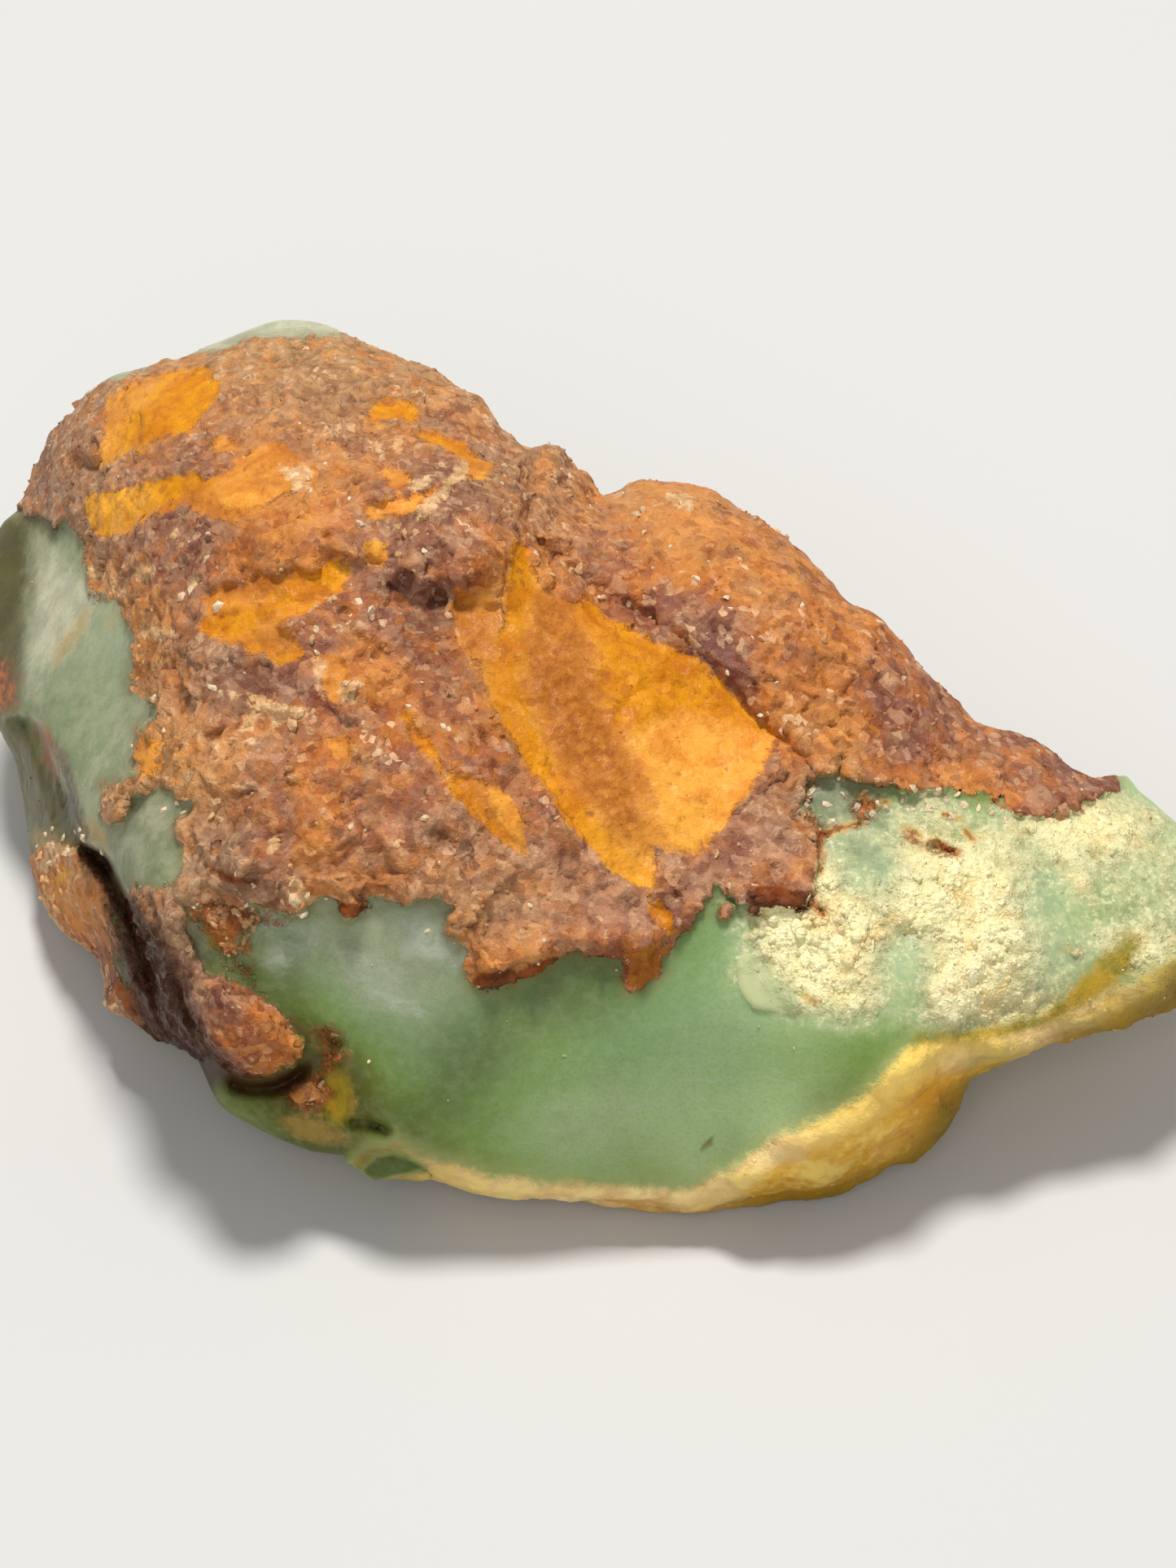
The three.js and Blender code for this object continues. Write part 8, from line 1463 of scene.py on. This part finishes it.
    # the ochre painted lighter and darker by the same light and shade
    oc = k.mix(k.step(A("c_tone_and_painted_light"), 0.2, 1.0, 0.0, 0.7), oc, rgb(252, 184, 62))
    oc = k.mix(k.step(A("c_tone_and_painted_light"), 0.0, -1.0, 0.0, 0.5), oc, rgb(150, 84, 26))
    oc = k.mix(k.step(fine, 0.44, 0.26, 0.0, 0.6), oc, rgb(166, 92, 36))
    oc = k.mix(k.step(fine, 0.6, 0.8, 0.0, 0.35), oc, rgb(250, 186, 70))
    oc = k.mix(k.mul(k.step(rb, 0.1, 0.0, 0.0, 0.5), k.sub(1.0, is_light)), oc, rgb(160, 88, 42))
    rind = k.mix(k.mul(is_ochre, 0.94), rind, oc)
    is_tan = k.step(k.add(A("c_tan"), k.mul(rag, 1.2)), -0.02, 0.2)
    rind = k.mix(k.mul(is_tan, 0.85), rind, k.mix(k.step(fine, 0.4, 0.65), rgb(198, 150, 98), rgb(230, 190, 140)))
    # dark red-brown of broken faces and rust, also painted shade along the crack and under the lump
    rind = k.mix(k.mul(is_break_and_shade, 0.9), rind, k.mix(k.step(mid, 0.38, 0.66), rgb(80, 32, 12), rgb(140, 64, 12)))
    base = k.mix(is_rind, base, rind)

    # ---- stains, painted shade in recesses and under overhangs, crumbs
    rusty = k.mix(k.step(mid, 0.38, 0.62), rgb(120, 62, 32), rgb(176, 98, 44))
    rusty = k.mix(k.step(fine, 0.52, 0.7), rusty, rgb(206, 160, 104))
    base = k.mix(k.mul(is_stain, k.step(k.add(fine, k.mul(rb, 0.3)), 0.42, 0.62)), base, rusty)
    # painted shadow, dark brown, on the ledge's outer side, round the lump and along the lip's crack
    base = k.mix(k.step(k.add(A("c_painted_shade"), k.mul(rag, 1.6)), -0.45, 0.45, 0.0, 0.9), base, rgb(56, 26, 10))
    # painted shade, dark red-brown, in creases, hollows, cracks and pits
    base = k.mix(recess_shade, base, rgb(72, 30, 18))
    base = k.mix(k.step(own, 0.0, 1.0, 0.0, 0.3), base, rgb(236, 206, 160))
    base = k.mix(k.mul(k.step(own, 0.0, -1.0, 0.0, 0.35), is_rind), base, rgb(110, 62, 42))
    base = k.mix(k.step(tone, 0.2, 0.55, 0.0, 0.75), base, rgb(216, 172, 120))
    base = k.mix(k.step(tone, 0.6, 1.0), base, rgb(232, 208, 172))
    base = k.mix(is_chip, base, rgb(186, 190, 142))

    k._in(k.bsdf.inputs["Base Color"], base)
    rough = k.blend(is_cream, k.step(fine, 0.3, 0.7, 0.34, 0.46), 0.52)
    rough = k.blend(is_crust, rough, 0.48)
    rough = k.blend(is_rind, rough, k.step(rb, 0.0, 1.0, 0.7, 0.3))
    rough = k.blend(k.step(tone, 0.3, 1.0), rough, 0.2)
    k._in(k.bsdf.inputs["Roughness"], rough)
    k.bsdf.inputs["IOR"].default_value = 1.5
    k.bsdf.inputs["Specular IOR Level"].default_value = 0.16
    k.bsdf.inputs["Subsurface Radius"].default_value = (1.0, 1.2, 0.6)
    k.bsdf.inputs["Subsurface Scale"].default_value = 0.0012
    solid = k.math("MAXIMUM", is_rind, k.mul(is_stain, 0.7))
    k._in(k.bsdf.inputs["Subsurface Weight"], k.blend(k.math("MAXIMUM", solid, A("loose")), k.blend(k.math("MAXIMUM", is_cream, is_crust), 0.45, 0.15), 0.0))
    # heights in mm
    rough_h = k.add(k.add(k.mul(ta, 0.34), k.mul(tb, 0.42)), k.add(k.mul(fine, 0.13), k.mul(tiny, 0.04)))
    flat_h = k.add(k.mul(tb, 0.16), k.add(k.mul(fine, 0.1), k.mul(tiny, 0.03)))
    rind_h = k.blend(k.mul(is_ochre, 0.85), rough_h, flat_h)
    crust_h = k.add(k.mul(tb, 0.26), k.add(k.mul(fine, 0.16), k.add(k.mul(grit, 0.15), k.mul(tiny, 0.02))))
    soft_h = k.add(k.mul(grit, 0.018), k.mul(tiny, 0.006))
    cream_h = k.add(k.mul(fine, 0.12), k.mul(tiny, 0.02))
    hgt = k.blend(is_rind, k.blend(k.math("MAXIMUM", is_crust, is_stain), k.blend(is_cream, soft_h, cream_h), crust_h), rind_h)
    k._in(k.bsdf.inputs["Normal"], k.bump(hgt, 0.001, 1.0))
    return k.mat


surface_look = stone_material()
for m in (me, cm):
    m.materials.clear()
    m.materials.append(surface_look)
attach(stone, "root")
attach(crumbs, "root")
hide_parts("chrysoprase_stone")

# ------------------------------------------------------------------ floor, light, camera
def plain(name, colour, rough):
    m = bpy.data.materials.new(name)
    m.use_nodes = True
    p = m.node_tree.nodes["Principled BSDF"]
    p.inputs["Base Color"].default_value = colour
    p.inputs["Roughness"].default_value = rough
    return m


fv = [(-1.5, -1.5, 0), (1.5, -1.5, 0), (1.5, 1.5, 0), (-1.5, 1.5, 0)]
fm = bpy.data.meshes.new("floor")
fm.from_pydata(fv, [], [(0, 1, 2, 3)])
fm.materials.append(plain("floor", rgb(206, 204, 200), 0.7))
floor = bpy.data.objects.new("floor", fm)
bpy.context.scene.collection.objects.link(floor)


def lamp(name, at, size, power, colour=(1, 1, 1), look=(0, 0, 0.008)):
    d = bpy.data.lights.new(name, "AREA")
    d.shape, d.size, d.energy, d.color = "DISK", size, power, colour
    o = bpy.data.objects.new(name, d)
    o.location = at
    v = np.array(look) - np.array(at)
    v = v / np.linalg.norm(v)
    from mathutils import Vector
    o.rotation_euler = Vector(v).to_track_quat("-Z", "Y").to_euler()
    bpy.context.scene.collection.objects.link(o)
    return o


lamp("key", (0.0, 0.15, 0.55), 0.12, 3.1, (1.0, 0.99, 0.97))
lamp("fill", (-0.05, -0.5, 0.42), 0.5, 1.3, (1.0, 1.0, 1.0))
world = bpy.data.worlds.new("studio")
world.use_nodes = True
world.node_tree.nodes["Background"].inputs[0].default_value = (0.92, 0.95, 1.0, 1)
world.node_tree.nodes["Background"].inputs[1].default_value = 0.3
bpy.context.scene.world = world
bpy.context.scene.view_settings.view_transform = "Standard"
bpy.context.scene.cycles.max_bounces = 6           # one stone on a pale floor needs few light bounces
bpy.context.scene.cycles.diffuse_bounces = 2

cam = bpy.data.cameras.new("camera")
cam.sensor_fit = "AUTO"
cam.sensor_width = 36.0
cam.lens = 18.0 / (963.5 * 0.03856 / STATION)
cam.clip_start, cam.clip_end = 0.005, 10.0
co_ = bpy.data.objects.new("camera", cam)
eye = (EYE - SHIFT) / 1000.0
co_.location = eye
co_.rotation_euler = (math.pi / 2 - TILT, 0, 0)
bpy.context.scene.collection.objects.link(co_)
bpy.context.scene.camera = co_

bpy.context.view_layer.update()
print("scene %.1f s" % (time.time() - T_START))
